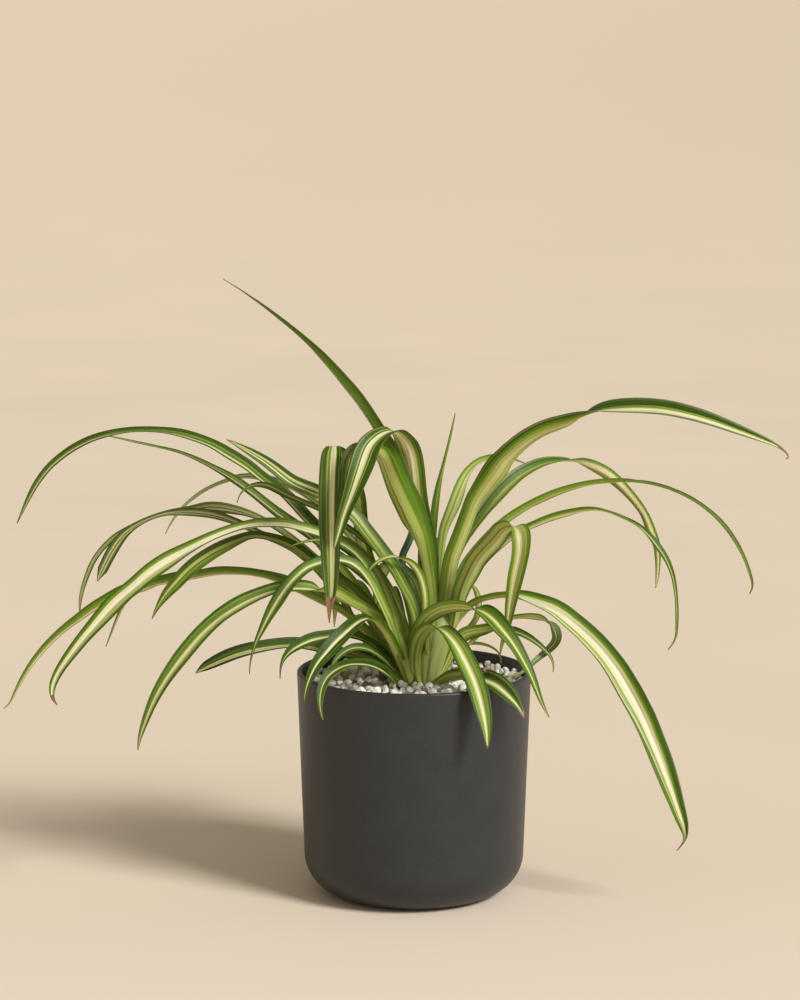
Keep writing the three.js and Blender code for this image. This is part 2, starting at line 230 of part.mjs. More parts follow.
    [100.819,-32.003,162.237,97.152,-37.726,159.714,105.666,-31.517,167.606], [109.22,-34.139,153.954,104.906,-39.383,151.364,114.664,-34.295,158.767],
    [117.737,-36.416,143.082,112.713,-41.529,140.496,123.854,-36.945,147.596], [126.184,-39.061,129.759,120.1,-43.22,127.047,132.676,-40.769,133.834],
    [133.562,-41.576,115.784,127.629,-46.001,113.714,140.361,-42.622,119.211], [142.876,-45.358,93.985,137.229,-49.587,92.463,149.514,-45.934,96.756],
    [149.078,-48.04,77.3,144.092,-51.587,75.917,154.952,-48.427,79.464], [155.742,-49.751,58.514,152.193,-51.546,57.386,159.573,-50.305,59.967],
    [158.323,-50.468,50.988,155.602,-50.59,50.26,160.668,-51.841,51.742], [159.036,-50.75,47.156,157.189,-50.191,47.025,160.334,-52.176,47.31],
    [158.54,-50.915,43.469,157.652,-50.254,43.768,159.006,-51.955,43.334], [156.626,-50.981,40.167,156.259,-50.505,40.435,156.763,-51.618,40.072],
    [154.08,-51,37.116,153.912,-50.729,37.259,154.133,-51.343,37.072],
  ] },
  { name: 'leaf_loop_low', colour: 0x4f6624, roughness: 0.50, rails: [
    [21.608,-2.786,142.258,20.969,-2.452,143.217,21.826,-1.624,142.051], [32.133,-3.645,149.651,31.434,-3.304,150.564,32.398,-2.488,149.477],
    [42.279,-5.056,159.034,41.55,-5.022,159.987,42.593,-3.912,158.858], [50.54,-6.793,164.476,49.625,-7.329,165.849,50.971,-5.112,164.507],
    [55.841,-8.236,166.82,55.04,-9.239,168.667,56.393,-6.056,166.886], [65.495,-10.501,168.261,65.024,-11.524,170.967,66.17,-7.764,167.455],
    [71.353,-11.819,168.427,71.378,-12.618,171.564,71.931,-8.962,167.019], [75.152,-12.758,167.824,75.665,-14.103,170.943,75.663,-9.571,166.648],
    [76.946,-13.246,167.2,77.557,-15.236,169.945,77.636,-9.923,166.607], [78.628,-13.746,166.333,79.061,-16.626,168.542,79.841,-10.305,166.554],
    [80.177,-14.26,165.244,80.014,-17.703,166.572,82.086,-11.279,166.297], [81.569,-14.796,163.972,80.595,-18.299,164.469,84.116,-12.669,165.541],
    [82.758,-15.361,162.546,81.021,-18.496,162.552,85.73,-14.193,164.175], [83.664,-15.962,160.988,81.357,-18.521,160.952,86.842,-15.634,162.274],
    [84.187,-16.604,159.333,81.535,-18.548,159.635,87.396,-16.951,160.033], [84.249,-17.281,157.649,81.521,-18.613,158.494,87.271,-18.177,157.695],
    [82.988,-18.683,154.498,80.708,-19.012,156.231,85.249,-20.293,153.723], [79.01,-20.907,150.683,77.388,-20.574,152.582,80.597,-22.695,149.889],
    [72.803,-24.989,146.533,71.501,-24.613,148.016,74.218,-26.327,146.045], [66.976,-30.738,142.207,66.02,-30.412,143.158,68.037,-31.589,141.932],
    [61.878,-35.507,140.123,61.438,-35.168,140.831,62.459,-36.122,139.816], [54.142,-40.814,138.986,54,-40.628,139.247,54.316,-41.092,138.864],
  ] },
  { name: 'leaf_pale_low_right', colour: 0xa3a868, roughness: 0.46, rails: [
    [25.554,-5.806,152.647,23.04,-4.04,154.726,28.357,-3.963,151.064], [29.41,-6.899,156.859,27.542,-5.049,160.052,31.942,-5.083,154.14],
    [32.7,-7.787,158.619,31.72,-6.023,162.495,34.512,-5.861,155.14], [38.183,-9.329,160.067,37.631,-7.966,163.943,39.654,-7.35,156.733],
    [43.568,-11.274,161.518,42.774,-11.106,165.365,45.155,-8.639,159.068], [47.176,-12.726,162.056,46.331,-14.201,165.4,48.592,-9.405,161.034],
    [52.673,-14.949,162.049,51.428,-18.123,163.077,53.923,-12.101,163.783], [58.149,-17.218,161.535,56.824,-20.236,161.167,59.292,-15.427,164.081],
    [63.481,-19.495,160.222,62.169,-22.128,159.728,64.864,-18.132,162.488], [70.165,-22.351,157.007,69.062,-24.464,156.616,71.597,-21.313,158.653],
    [77.672,-25.057,151.186,76.922,-26.343,150.832,78.764,-24.468,152.084], [81.02,-25.989,146.553,80.456,-26.748,146.396,81.855,-25.66,146.886],
    [81.978,-26.336,142.893,81.566,-26.812,142.891,82.573,-26.132,142.933], [81.848,-26.587,139.047,81.612,-26.843,139.083,82.177,-26.473,139.013],
  ] },
  { name: 'leaf_hook_small', colour: 0x8f8f5c, roughness: 0.46, rails: [
    [22.9,0.799,147.225,21.866,0.823,147.834,23.225,1.909,146.906], [28.782,1.827,155.253,27.894,1.729,156.054,29.176,2.84,154.744],
    [35.566,3.157,162.409,34.314,3.309,163.297,36.413,4.176,161.617], [38.057,3.923,167.667,36.33,4.275,168.087,39.487,4.907,167.148],
    [38.748,4.746,173.504,36.849,5.319,173.379,40.557,5.563,173.405], [37.894,5.895,179.262,36.285,6.523,178.619,39.621,6.401,179.655],
    [36.358,6.906,182.689,35.268,7.358,181.84,37.599,7.234,183.369], [33.974,7.992,185.578,33.746,8.09,185.332,34.241,8.056,185.795],
  ] },
  { name: 'leaf_brown_thread', colour: 0x8a6a46, roughness: 0.46, rails: [
    [19.64,2,140.37,18.755,2.33,141.095,19.859,3.155,140.18], [25.022,1.699,146.293,24.272,1.653,147.229,25.357,2.814,146.006],
    [30.159,1.014,149.231,29.705,0.74,150.308,30.481,2.113,148.875], [35.89,-0.158,150.477,35.714,-0.531,151.604,36.179,0.924,150.046],
    [41.7,-1.637,150.189,41.799,-2.045,151.314,41.882,-0.575,149.662], [47.173,-3.045,148.321,47.621,-3.509,149.333,47.131,-1.98,147.77],
    [50.086,-3.791,145.971,50.676,-4.216,146.544,49.897,-2.954,145.623], [51.657,-4.411,142.635,52.157,-4.766,142.809,51.442,-3.829,142.491],
    [51.989,-4.994,138.78,52.261,-5.21,138.822,51.851,-4.676,138.728],
  ] },
  { name: 'leaf_left_low_dark', colour: 0x46601c, roughness: 0.50, rails: [
    [-11.287,5,129.239,-10.377,4.776,129.989,-11.177,3.875,128.838], [-20.906,3.582,136.278,-20.133,3.782,137.536,-20.833,2.111,136.05],
    [-29.772,2.134,140.562,-29.198,3.14,142.713,-29.373,-0.276,140.52], [-43.122,0.233,144.343,-42.459,2.234,147.723,-42.724,-3.724,144.119],
    [-54.536,-1.284,147.751,-53.428,0.243,151.835,-54.367,-5.499,146.184], [-63.973,-3.104,150.467,-63.417,-1.814,154.739,-63.481,-7.132,148.529],
    [-75.63,-5.648,151.532,-75.914,-3.958,155.57,-74.832,-9.684,150.012], [-87.387,-7.909,150.788,-88.011,-6.826,154.671,-86.477,-11.371,148.83],
    [-100.864,-11.146,148.8,-101.853,-10.743,152.893,-99.514,-14.144,146.138],
    [-112.043,-13.84,145.406,-113.585,-13.612,149.266,-110.416,-16.497,142.645],
    [-122.869,-15.807,140.612,-124.236,-15.802,143.291,-121.499,-17.377,138.443],
    [-126.296,-16.398,138.668,-127.295,-16.438,140.228,-125.304,-17.275,137.374],
    [-129.491,-17,136.371,-129.7,-17.006,136.652,-129.284,-17.157,136.136],
  ] },
  { name: 'leaf_left_low_thin', colour: 0x50682a, roughness: 0.50, rails: [
    [-14.617,-2.791,141.401,-13.661,-2.734,142.124,-14.638,-3.893,140.926], [-20.741,-6.052,148.432,-19.683,-5.456,149.864,-20.409,-7.802,147.837],
    [-27.964,-9.72,154.075,-27.118,-8.574,156.329,-27.243,-12.154,153.264], [-35.988,-13.834,158.103,-35.52,-12.544,160.937,-34.993,-16.6,156.975],
    [-42.726,-17.341,160.121,-42.721,-16.511,163.317,-41.589,-20.015,158.555], [-49.766,-20.808,159.945,-50.156,-20.586,163.36,-48.415,-23.195,157.86],
    [-58.597,-25.169,159.117,-59.297,-25.148,162.97,-56.951,-27.638,156.562], [-65.488,-28.403,157.063,-66.889,-28.402,160.463,-63.551,-30.657,154.899],
    [-70.365,-30.703,154.63,-72.035,-30.574,157.216,-68.495,-32.643,153.135], [-74.579,-32.799,151.146,-76.234,-32.468,152.462,-73.146,-34.271,150.547],
    [-77.449,-34.398,146.38,-78.528,-34.022,146.685,-76.705,-35.316,146.333], [-78.563,-35.462,140.74,-79.064,-35.228,140.744,-78.246,-35.914,140.783],
    [-78.704,-36,136.829,-79.016,-35.841,136.815,-78.504,-36.285,136.863],
  ] },
  { name: 'leaf_front_left', colour: 0x7e9248, roughness: 0.46, rails: [
    [-8.642,-9.355,138.739,-9.64,-7.72,139.288,-6.839,-9.099,139.549], [-10.606,-13.029,144.186,-12.042,-10.932,145.316,-7.993,-13.006,145.141],
    [-13.278,-18.289,151.234,-15.088,-14.924,152.818,-9.355,-18.894,152.398], [-16.068,-22.175,157.611,-18.055,-17.519,159.128,-11.237,-23.671,159.143],
    [-19.074,-25.106,163.277,-21.267,-19.903,164.943,-13.926,-27.402,164.972],
    [-22.333,-28.729,168.348,-25.002,-23.956,170.816,-17.134,-31.338,169.821], [-25.265,-32.386,171.226,-28.513,-28.244,174.103,-20.46,-35.492,173.027],
    [-28.952,-36.592,172.087,-32.872,-33.191,175.06,-24.829,-40.486,173.99], [-32.918,-40.732,170.886,-37.131,-37.954,173.941,-29.233,-45.139,172.23],
    [-38.276,-45.508,167.48,-42.304,-43.718,170.986,-34.716,-49.871,167.457], [-45.114,-50.675,162.34,-48.66,-50.217,166.264,-41.376,-54.162,160.908],
    [-50.185,-54.411,157.44,-53.792,-54.493,160.845,-46.476,-57.326,155.907], [-56.261,-58.305,150.559,-59.463,-58.257,152.864,-53.29,-60.679,149.503],
    [-59.955,-60.894,143.997,-62.582,-60.827,145.182,-57.643,-62.544,143.508], [-62.567,-63.119,136.804,-64.168,-62.966,137.165,-61.233,-64.084,136.73],
    [-63.808,-64.983,129.143,-64.148,-64.906,129.164,-63.54,-65.208,129.164],
  ] },
  { name: 'leaf_front_left_low', colour: 0x7a8c4a, roughness: 0.46, rails: [
    [-10.303,-8.729,128.919,-9.299,-8.833,129.691,-9.927,-9.642,128.121], [-18.364,-19.645,137.516,-17.459,-18.807,139.647,-17.084,-21.447,136.431],
    [-24.206,-26.462,141.965,-24.277,-24.692,145.064,-21.915,-29.068,141.129], [-31.073,-33.195,144.711,-32.381,-30.845,148.054,-28.197,-36.373,144.53],
    [-38.482,-39.844,145.717,-40.537,-37.587,148.885,-35.567,-43.137,145.801], [-44.427,-45.052,144.644,-46.803,-43.48,147.556,-41.723,-48.094,144.453],
    [-48.631,-48.733,142.541,-51.165,-47.922,145.103,-45.99,-51.272,142.073], [-52.024,-52.175,139.117,-54.709,-52.189,140.944,-49.329,-53.948,138.739],
    [-54.082,-55.321,134.525,-56.503,-55.884,135.526,-51.602,-56.328,134.424],
    [-54.877,-57.916,129.219,-56.609,-58.725,129.614,-52.947,-58.204,129.255], [-54.511,-59.742,123.557,-55.42,-60.457,123.585,-53.376,-59.59,123.713],
    [-53.027,-60.999,117.891,-53.269,-61.25,117.868,-52.704,-60.887,117.967],
  ] },
  { name: 'leaf_left_inner_arc', colour: 0x6b7c40, roughness: 0.50, rails: [
    [-10.597,-5.65,134.276,-9.613,-5.768,134.954,-10.549,-6.708,133.712], [-17.281,-10.808,142.935,-16.283,-10.356,144.118,-17.05,-12.229,142.207],
    [-23.938,-15.42,148.876,-23.298,-14.34,150.854,-23.187,-17.448,147.976], [-30.018,-19.585,151.991,-30.093,-18.329,154.424,-28.75,-21.843,151.101],
    [-34.879,-22.963,152.886,-35.589,-21.869,155.305,-33.375,-25.117,152.081],
    [-39.615,-26.473,152.117,-40.845,-25.852,154.149,-38.005,-28.189,151.417], [-43.781,-30.05,149.754,-45.135,-29.788,151.14,-42.294,-31.235,149.294],
    [-47.069,-33.555,146.186,-48.189,-33.414,146.83,-45.985,-34.256,146.042], [-49.403,-37,141.835,-49.73,-36.947,141.948,-49.103,-37.18,141.832],
  ] },
  { name: 'leaf_pale_curl', colour: 0x9aa763, roughness: 0.46, rails: [
    [7.596,-11.388,148.577,6.981,-10.443,148.986,8.597,-10.854,148.97], [7.275,-12.366,154.474,6.63,-11.356,154.541,8.342,-11.825,154.571],
    [6.176,-14.552,172.391,5.093,-13.079,172.547,7.996,-14.322,172.45], [5.83,-15.853,184.346,3.836,-14.065,184.3,8.45,-15.434,184.711],
    [4.207,-16.7,191.999,2.071,-14.72,191.539,6.985,-16.373,192.932], [1.912,-17.43,197.339,-0.021,-15.336,196.633,4.474,-17.382,198.771],
    [-1.493,-18.56,201.964,-2.993,-16.358,201.207,0.498,-19.009,203.834], [-4.509,-19.605,204.283,-5.577,-17.268,203.858,-3.022,-20.67,206.136],
    [-9.807,-21.426,206.516,-10.257,-19.375,207.4,-8.962,-23.418,207.229], [-13.567,-22.609,207.008,-13.987,-21.244,208.43,-13.002,-24.539,206.878],
    [-17.292,-23.584,206.375,-17.923,-22.748,207.742,-16.786,-25.165,205.912], [-22.376,-24.406,203.622,-23.119,-23.931,204.53,-21.904,-25.477,203.142],
    [-26.455,-24.628,199.382,-27.099,-24.338,199.83,-26.028,-25.289,199.1], [-29.312,-24.936,194.19,-29.608,-24.805,194.321,-29.1,-25.204,194.111],
  ] },
  { name: 'leaf_grey_up', colour: 0x6f7c56, roughness: 0.50, rails: [
    [2.858,2.002,159.287,2.079,3.185,159.268,4.248,2.272,159.318], [1.61,2.169,171.114,0.555,4.113,170.818,3.792,2.007,171.552],
    [-0.653,2.758,178.666,-1.934,4.992,177.906,1.811,2.497,179.699], [-5.713,4.023,189.346,-7.3,6.356,188.452,-2.974,3.78,190.439],
    [-7.57,4.986,196.939,-9.293,7.126,196.472,-4.812,4.726,197.243], [-7.276,5.848,202.703,-8.966,7.783,202.808,-4.778,5.592,202.149],
    [-4.993,6.58,208.019,-6.647,8.167,208.757,-2.882,6.606,206.86], [-2.422,6.918,213.307,-4.387,7.907,214.012,-0.339,7.514,212.509],
    [1.568,7,224.483,0.213,6.987,224.964,2.696,7.796,224.083], [3.782,7,232.101,3.45,6.926,232.187,4.041,7.226,232.035],
  ] },
  { name: 'leaf_dark_bud', colour: 0x4a4a26, roughness: 0.50, rails: [
    [-17.118,-14.25,170.042,-17.562,-13.139,169.951,-16.072,-14.61,170.508], [-21.679,-15.683,180.786,-22.369,-14.74,180.724,-20.566,-15.93,181.053],
    [-22.891,-16.562,190.541,-23.162,-16.342,190.539,-22.548,-16.63,190.557],
  ] },
  { name: 'leaf_left_high', colour: 0x6b8636, roughness: 0.50, rails: [
    [-2.582,-5,144.708,-1.388,-5.497,144.763,-3.015,-6.189,144.436], [-4.5,-5.774,154.323,-3.066,-6.361,154.688,-5.163,-7.219,154.239],
    [-5.915,-4.672,159.735,-4.242,-5.363,160.492,-6.968,-6.296,160.055], [-7.563,-2.408,164.879,-5.475,-3.217,165.819,-8.862,-4.454,165.033],
    [-10.184,-1.122,171.967,-7.487,-2.027,173.108,-11.663,-3.77,171.528], [-15.217,-1.466,182.624,-11.949,-2.202,184.417,-16.786,-4.767,181.584],
    [-20.676,-1.965,190.906,-17.42,-2.376,193.368,-21.922,-5.61,189.491], [-27.438,-3.962,198.544,-24.391,-3.842,201.673,-27.819,-7.867,196.621],
    [-35.206,-6.844,205.356,-32.522,-6.09,209.037,-35.236,-11.155,203.704], [-43.434,-8.201,211.346,-40.839,-6.853,215.175,-43.902,-12.902,210.4],
    [-54.913,-7.402,219.327,-51.984,-5.619,222.932,-55.922,-12.253,218.864], [-63.863,-5.877,227.075,-60.369,-3.946,230.084,-65.152,-10.702,226.842],
    [-74.621,-2.845,238.411,-71.185,-0.693,241.338,-76.169,-7.599,238.406], [-82.135,-0.246,244.43,-79.151,2.266,247.558,-83.694,-4.991,244.666],
    [-91.768,3.463,250.502,-88.532,5.878,253.45,-93.546,-1.202,250.795], [-100.826,7.395,257.293,-97.825,9.635,260.606,-102.756,2.784,257.188],
    [-114.141,12.258,264.74,-111.399,14.717,268.086,-115.928,7.616,264.62], [-122.65,15.603,268.765,-120.31,18.425,272.019,-124.415,11.032,268.936],
    [-137.137,20.991,272.911,-135.406,23.98,276.094,-138.706,16.565,273.059], [-150.122,25.979,274.501,-148.771,29.115,277.344,-151.692,21.837,274.85],
    [-167.153,31.836,274.374,-166.372,34.814,276.97,-168.407,28.014,274.561], [-180.343,36.127,272.459,-180.189,38.468,275.242,-181.338,32.675,271.87],
    [-193.179,40.287,268.72,-193.676,41.93,271.421,-193.668,37.353,267.54], [-203.681,43.391,263.823,-204.769,44.288,266.225,-203.45,41.07,262.297],
    [-213.51,45.783,257.38,-214.962,46.035,259.334,-212.663,44.132,255.782], [-222.258,47.873,249.453,-223.938,47.98,251.007,-221.069,46.484,248.072],
    [-229.492,49.359,240.009,-231.243,49.424,241.143,-228.113,48.173,238.986], [-235.286,50.46,229.554,-236.657,50.597,230.236,-234.205,49.561,228.932],
    [-242.105,52,215.145,-242.403,52.111,215.29,-241.895,51.747,215.025],
  ] },
  { name: 'leaf_left_mid_brown', colour: 0x8aa04c, roughness: 0.46, rails: [
    [0.349,-5.623,146.092,1.497,-5.956,145.151,-0.325,-6.908,145.638], [1.957,-7.525,149.628,3.287,-8.205,149.074,1.199,-8.894,149.331],
    [2.139,-9.083,159.457,3.848,-9.937,159.399,1.126,-10.685,159.209], [1.035,-10.279,169.22,3.571,-11.002,169.721,-0.241,-12.578,168.677],
    [-2.158,-11.489,178.515,1.411,-11.49,180.088,-3.245,-15.087,177.474], [-7.729,-13.398,188.995,-3.077,-12.119,191.757,-8.459,-18.728,187.597],
    [-12.392,-14.736,197.645,-7.545,-12.674,200.873,-13.234,-20.745,196.484], [-21.552,-15.847,210.531,-17.037,-13.351,214.058,-22.408,-21.835,208.961],
    [-28.69,-18.024,220.343,-24.404,-15.33,224.008,-29.361,-23.992,218.614], [-34.589,-19.103,228.525,-30.397,-16.28,232.175,-35.666,-25.124,227.315],
    [-40.257,-19.04,234.108,-36.713,-16.215,238.252,-41.515,-24.948,232.998], [-48.534,-18.277,239.58,-45.705,-15.727,244.028,-49.957,-23.797,238.242],
    [-61.023,-16.623,245.694,-58.962,-14.856,250.122,-62.369,-21.24,243.733], [-70.119,-15.751,249.707,-67.894,-14.816,253.633,-71.681,-19.45,247.443],
    [-76.652,-15.099,254.212,-73.989,-14.695,257.5,-78.712,-18.15,252.088], [-87.737,-13.428,262.568,-85.846,-13.036,265.377,-89.327,-15.755,260.648],
    [-99.714,-12.156,269.686,-98.66,-11.715,271.533,-100.574,-13.654,268.37], [-110.345,-11,275.105,-110.199,-10.837,275.378,-110.455,-11.288,274.94],
  ] },
  { name: 'leaf_left_curl', colour: 0x82904e, roughness: 0.46, rails: [
    [-1.247,-2.883,144.832,-0.223,-3.22,144.305,-1.685,-3.973,144.583], [-0.511,-4,148.863,0.565,-4.526,148.787,-1.004,-5.078,148.675],
    [-2.752,-6.256,166.696,-1.577,-6.399,166.894,-3.188,-7.353,166.479], [-6.594,-7.847,182.192,-4.609,-7.271,182.852,-6.905,-9.978,181.931],
    [-10.753,-8.471,193.308,-8.545,-7.353,194.392,-11.004,-11.148,193.043], [-14.613,-9.193,200.111,-12.752,-7.922,201.681,-14.683,-11.882,199.555],
    [-21.166,-11.393,207.391,-19.784,-10.007,209.322,-20.925,-14.031,206.651], [-30.028,-13.853,215.501,-28.641,-12.388,217.37,-30.067,-16.556,215.002],
    [-39.548,-14.078,222.933,-38.174,-12.587,224.737,-39.912,-16.752,222.647],
    [-52.799,-12.682,231.929,-51.585,-11.422,233.679,-53.359,-15.062,231.539],
    [-61.739,-11.259,236.226,-60.868,-10.293,238.047,-62.341,-13.321,235.596], [-78.148,-8.343,243.202,-77.055,-8.125,245.261,-79.14,-9.991,241.868],
    [-85.226,-6.992,246.633,-84.47,-6.829,248.777,-86.018,-8.483,245.1], [-90.987,-6.021,247.628,-90.921,-5.722,249.493,-91.201,-7.329,246.282],
    [-96.716,-5.223,246.636,-97.126,-4.841,247.793,-96.524,-6.208,245.833], [-101.478,-4.618,243.364,-101.941,-4.295,243.822,-101.225,-5.228,243.06],
    [-103.563,-4.296,240.124,-103.926,-4.053,240.306,-103.362,-4.706,240], [-104.748,-4.007,236.381,-105.027,-3.817,236.472,-104.59,-4.313,236.316],
  ] },
  { name: 'leaf_left_thin', colour: 0x55702a, roughness: 0.50, rails: [
    [-8.451,3.929,155.982,-6.914,3.562,156.49,-9.058,2.402,155.748], [-13.645,3.269,169.131,-11.155,3.272,170.323,-14.354,0.668,168.539],
    [-18.733,2.047,177.96,-15.895,2.561,180,-19.165,-1.345,177.073], [-26.428,0.623,187.413,-23.721,1.751,190.081,-26.824,-3.275,186.806],
    [-32.278,0.983,192.816,-29.656,2.35,195.703,-33.157,-3.049,192.596], [-48.414,4.844,204.197,-46.046,6.7,207.198,-49.326,0.706,203.872],
    [-64.509,7.695,215.806,-61.968,9.56,218.657,-65.714,3.632,215.48], [-77.627,10.912,224.434,-75.157,12.681,227.403,-79.075,6.946,223.969],
    [-96.437,17.045,238.12,-93.946,19.131,240.531,-97.771,13.225,238.07], [-107.575,20.859,245.752,-105.411,22.744,248.181,-108.947,17.366,245.521],
    [-121.004,25.9,252.908,-119.317,28.274,254.484,-121.939,22.777,253.487], [-134.956,30.982,258.957,-133.767,33.142,260.173,-135.638,28.382,259.536],
    [-147.674,35.681,262.5,-146.789,37.417,263.457,-148.386,33.676,262.932], [-169.682,44.578,266.451,-169.314,45.165,267.205,-170.091,43.682,266.176],
    [-186.323,51,269.19,-186.217,51.176,269.473,-186.452,50.714,269.033],
  ] },
  { name: 'leaf_left_outer_a', colour: 0x78894a, roughness: 0.46, rails: [
    [-18.082,10.059,145.027,-17.055,9.714,145.542,-18.473,8.937,144.857], [-29.231,11.253,166.252,-27.385,11.205,167.373,-29.889,9.22,165.937],
    [-37.213,11.705,177.808,-35.038,12.146,179.49,-37.807,9.003,177.498], [-45.243,12.583,186.697,-43.183,13.485,188.715,-45.795,9.615,186.56],
    [-63.199,15.786,202.371,-61.182,17.263,204.442,-63.846,12.605,202.407], [-77.165,19.454,213.166,-75.286,21.195,215.166,-77.971,16.311,213.363],
    [-88.875,23.153,220.008,-87.183,24.968,222.106,-89.852,20.061,220.237], [-95.946,25.928,223.015,-94.396,27.623,225.316,-97.23,22.942,223.082],
    [-105.186,30.443,225.532,-104.12,31.322,228.573,-106.802,27.731,224.442], [-114.685,34.828,226.99,-114.316,34.795,230.641,-115.845,32.312,224.585],
    [-122.387,36.836,227.408,-122.465,36.736,230.937,-122.778,34.382,224.899], [-128.073,37.677,226.77,-128.735,37.873,230.058,-127.967,35.152,224.555],
    [-139.198,39.879,224.326,-139.495,40.623,227.186,-139.572,37.392,222.746], [-150.411,43.136,222.112,-150.5,44.793,224.313,-151.058,40.513,221.561],
    [-159.433,45.771,219.007,-159.798,47.373,220.968,-159.886,43.31,218.479], [-171.494,48.615,213,-172.444,49.278,214.975,-171.22,46.697,211.781],
    [-180.044,50.374,208.298,-181.157,50.58,210.099,-179.477,48.87,206.904], [-187.605,52.12,202.067,-188.902,52.348,203.412,-186.821,50.793,200.985],
    [-193.957,53.401,194.47,-195.457,53.553,195.513,-192.884,52.201,193.592], [-198.624,54.272,185.693,-200.276,54.325,186.383,-197.316,53.226,185.057],
    [-203.293,55.29,172.518,-204.615,55.302,172.87,-202.177,54.576,172.176], [-204.959,55.82,162.681,-205.771,55.787,162.744,-204.233,55.456,162.608],
    [-205.175,56,158.689,-205.524,55.987,158.704,-204.86,55.848,158.668],
  ] },
  { name: 'leaf_left_outer_b', colour: 0x7b8a4c, roughness: 0.46, rails: [
    [-25.367,13.861,143.276,-24.311,13.778,144.031,-25.552,12.586,143.094], [-33.33,13.631,154.919,-31.409,13.785,156.144,-33.834,11.413,154.712],
    [-39.525,14.867,165.084,-36.693,15.573,166.418,-40.183,11.73,165.243], [-43.819,16.169,173.982,-40.788,17.47,175.549,-44.281,12.552,174.189],
    [-48.543,16.945,180.321,-45.923,18.707,182.501,-48.824,13.124,180.517], [-62.178,18.944,194.772,-59.705,21.167,196.994,-62.635,14.98,195.034],
    [-71.335,20.56,202.334,-69.252,22.926,204.795,-71.865,16.6,202.529], [-80.014,21.952,207.03,-78.449,24.431,209.751,-80.563,17.993,207.191],
    [-96.387,24.477,213.955,-94.715,27.09,216.474,-96.885,20.519,214.169], [-106.937,26.149,218.973,-105.495,28.763,221.531,-107.488,22.258,219.128],
    [-117.907,27.934,222.645,-116.73,29.975,225.588,-118.798,24.307,222.137], [-125.461,30.016,224.016,-124.59,31.614,227.139,-126.648,26.743,223.045],
    [-135.1,33.288,224.359,-134.699,34.783,227.36,-136.049,30.244,223.249], [-146.758,36.659,223.498,-146.632,38.49,225.909,-147.448,33.768,222.91],
    [-154.34,38.736,221.661,-154.489,40.6,223.697,-154.95,36.075,221.235], [-165.146,41.943,216.972,-165.806,43.155,218.905,-165.312,39.76,216.048],
    [-171.838,43.855,212.801,-173.211,44.478,214.877,-171.247,41.868,211.289], [-177.625,45.36,207.448,-180.057,45.468,209.565,-175.916,43.405,205.533],
    [-183.312,46.983,199.37,-186.462,46.857,201.258,-180.784,45.083,197.497], [-188.941,48.411,188.871,-191.96,48.065,190.384,-186.247,47.001,187.363],
    [-190.763,48.692,185.322,-193.068,48.258,186.447,-188.6,47.81,184.177], [-193.285,49,179.891,-193.598,48.921,180.025,-192.977,48.909,179.751],
  ] },
  { name: 'leaf_left_wide', colour: 0xb3bb74, roughness: 0.46, rails: [
    [-10.04,-5.415,154.105,-7.495,-5.751,154.543,-10.627,-7.889,153.543], [-13.426,-7.303,167.627,-9.372,-7.091,168.884,-14.19,-11.439,167.02],
    [-18.139,-8.206,180.515,-13.132,-6.803,182.67,-18.582,-13.798,180.042], [-22.852,-8.607,191.264,-17.884,-6.189,193.959,-22.769,-14.746,190.95],
    [-27.142,-9.426,197.902,-22.968,-6.432,201.799,-26.317,-15.784,197.214], [-33.867,-11.71,205.31,-30.677,-8.106,210.044,-32.271,-18.225,204.543],
    [-41.719,-13.944,211.342,-39.375,-9.811,216.398,-40.351,-20.746,211.267], [-52.011,-15.736,216.977,-50.548,-11.108,222.018,-50.597,-22.583,217.272],
    [-62.848,-18.408,221.126,-62.697,-13.499,226.114,-60.731,-25.066,221.55], [-75.817,-22.238,224.792,-76.477,-17.02,229.41,-73.829,-28.867,225.841],
    [-89.313,-25.658,225.665,-90.554,-20.24,229.919,-87.863,-32.349,227.124], [-99.026,-27.603,224.647,-100.84,-21.943,228.343,-98.033,-34.261,226.564],
    [-110.321,-30.268,221.719,-112.914,-24.927,225.366,-109.091,-36.926,223.362],
    [-122.96,-33.528,216.738,-125.822,-28.808,220.7,-121.785,-40.18,217.471],
    [-135.329,-35.985,210.702,-138.284,-32.445,215.267,-133.742,-42.245,210.081],
    [-145.853,-38.383,205.501,-148.981,-36.943,210.583,-143.386,-43.486,203.143],
    [-154.161,-40.079,200.251,-157.627,-39.608,204.867,-151.364,-44.336,197.495],
    [-163.293,-41.71,192.682,-166.732,-41.358,196.813,-160.529,-45.553,190.11],
    [-172.464,-43.247,185.125,-176.25,-43.424,189.345,-169.195,-46.82,182.174],
    [-179.405,-44.449,178.058,-183.537,-44.706,181.768,-175.849,-47.823,175.437],
    [-193.854,-46.892,161.684,-197.041,-46.703,164.331,-191.237,-49.499,159.798],
    [-204.726,-48.596,147.479,-207.32,-48.567,149.221,-202.44,-50.308,146.212],
    [-209.579,-49.936,138.895,-211.76,-50.361,139.864,-207.449,-50.795,138.117],
    [-211.104,-50.54,133.245,-212.678,-51.373,133.46,-209.319,-50.608,133.085],
    [-210.907,-50.795,129.43,-211.843,-51.63,129.257,-209.698,-50.529,129.697], [-208.174,-51,124.638,-208.331,-51.29,124.521,-207.932,-50.835,124.829],
  ] },
  { name: 'leaf_left_back_long', colour: 0x8b9464, roughness: 0.46, rails: [
    [-22.697,13.031,150.868,-23.439,14.735,149.678,-21.217,14.028,152.166], [-30.26,15.378,157.015,-30.632,17.729,155.351,-28.445,16.148,159.148],
    [-39.973,18.122,163.64,-40.402,21.449,162.218,-37.93,18.262,166.655], [-48.09,18.586,169.437,-48.842,22.307,168.424,-45.808,18.254,172.618],
    [-58.262,18.726,175.705,-58.75,22.666,174.285,-56.335,18.255,179.426], [-70.679,20.488,181.679,-70.595,24.568,179.932,-69.013,19.693,185.716],
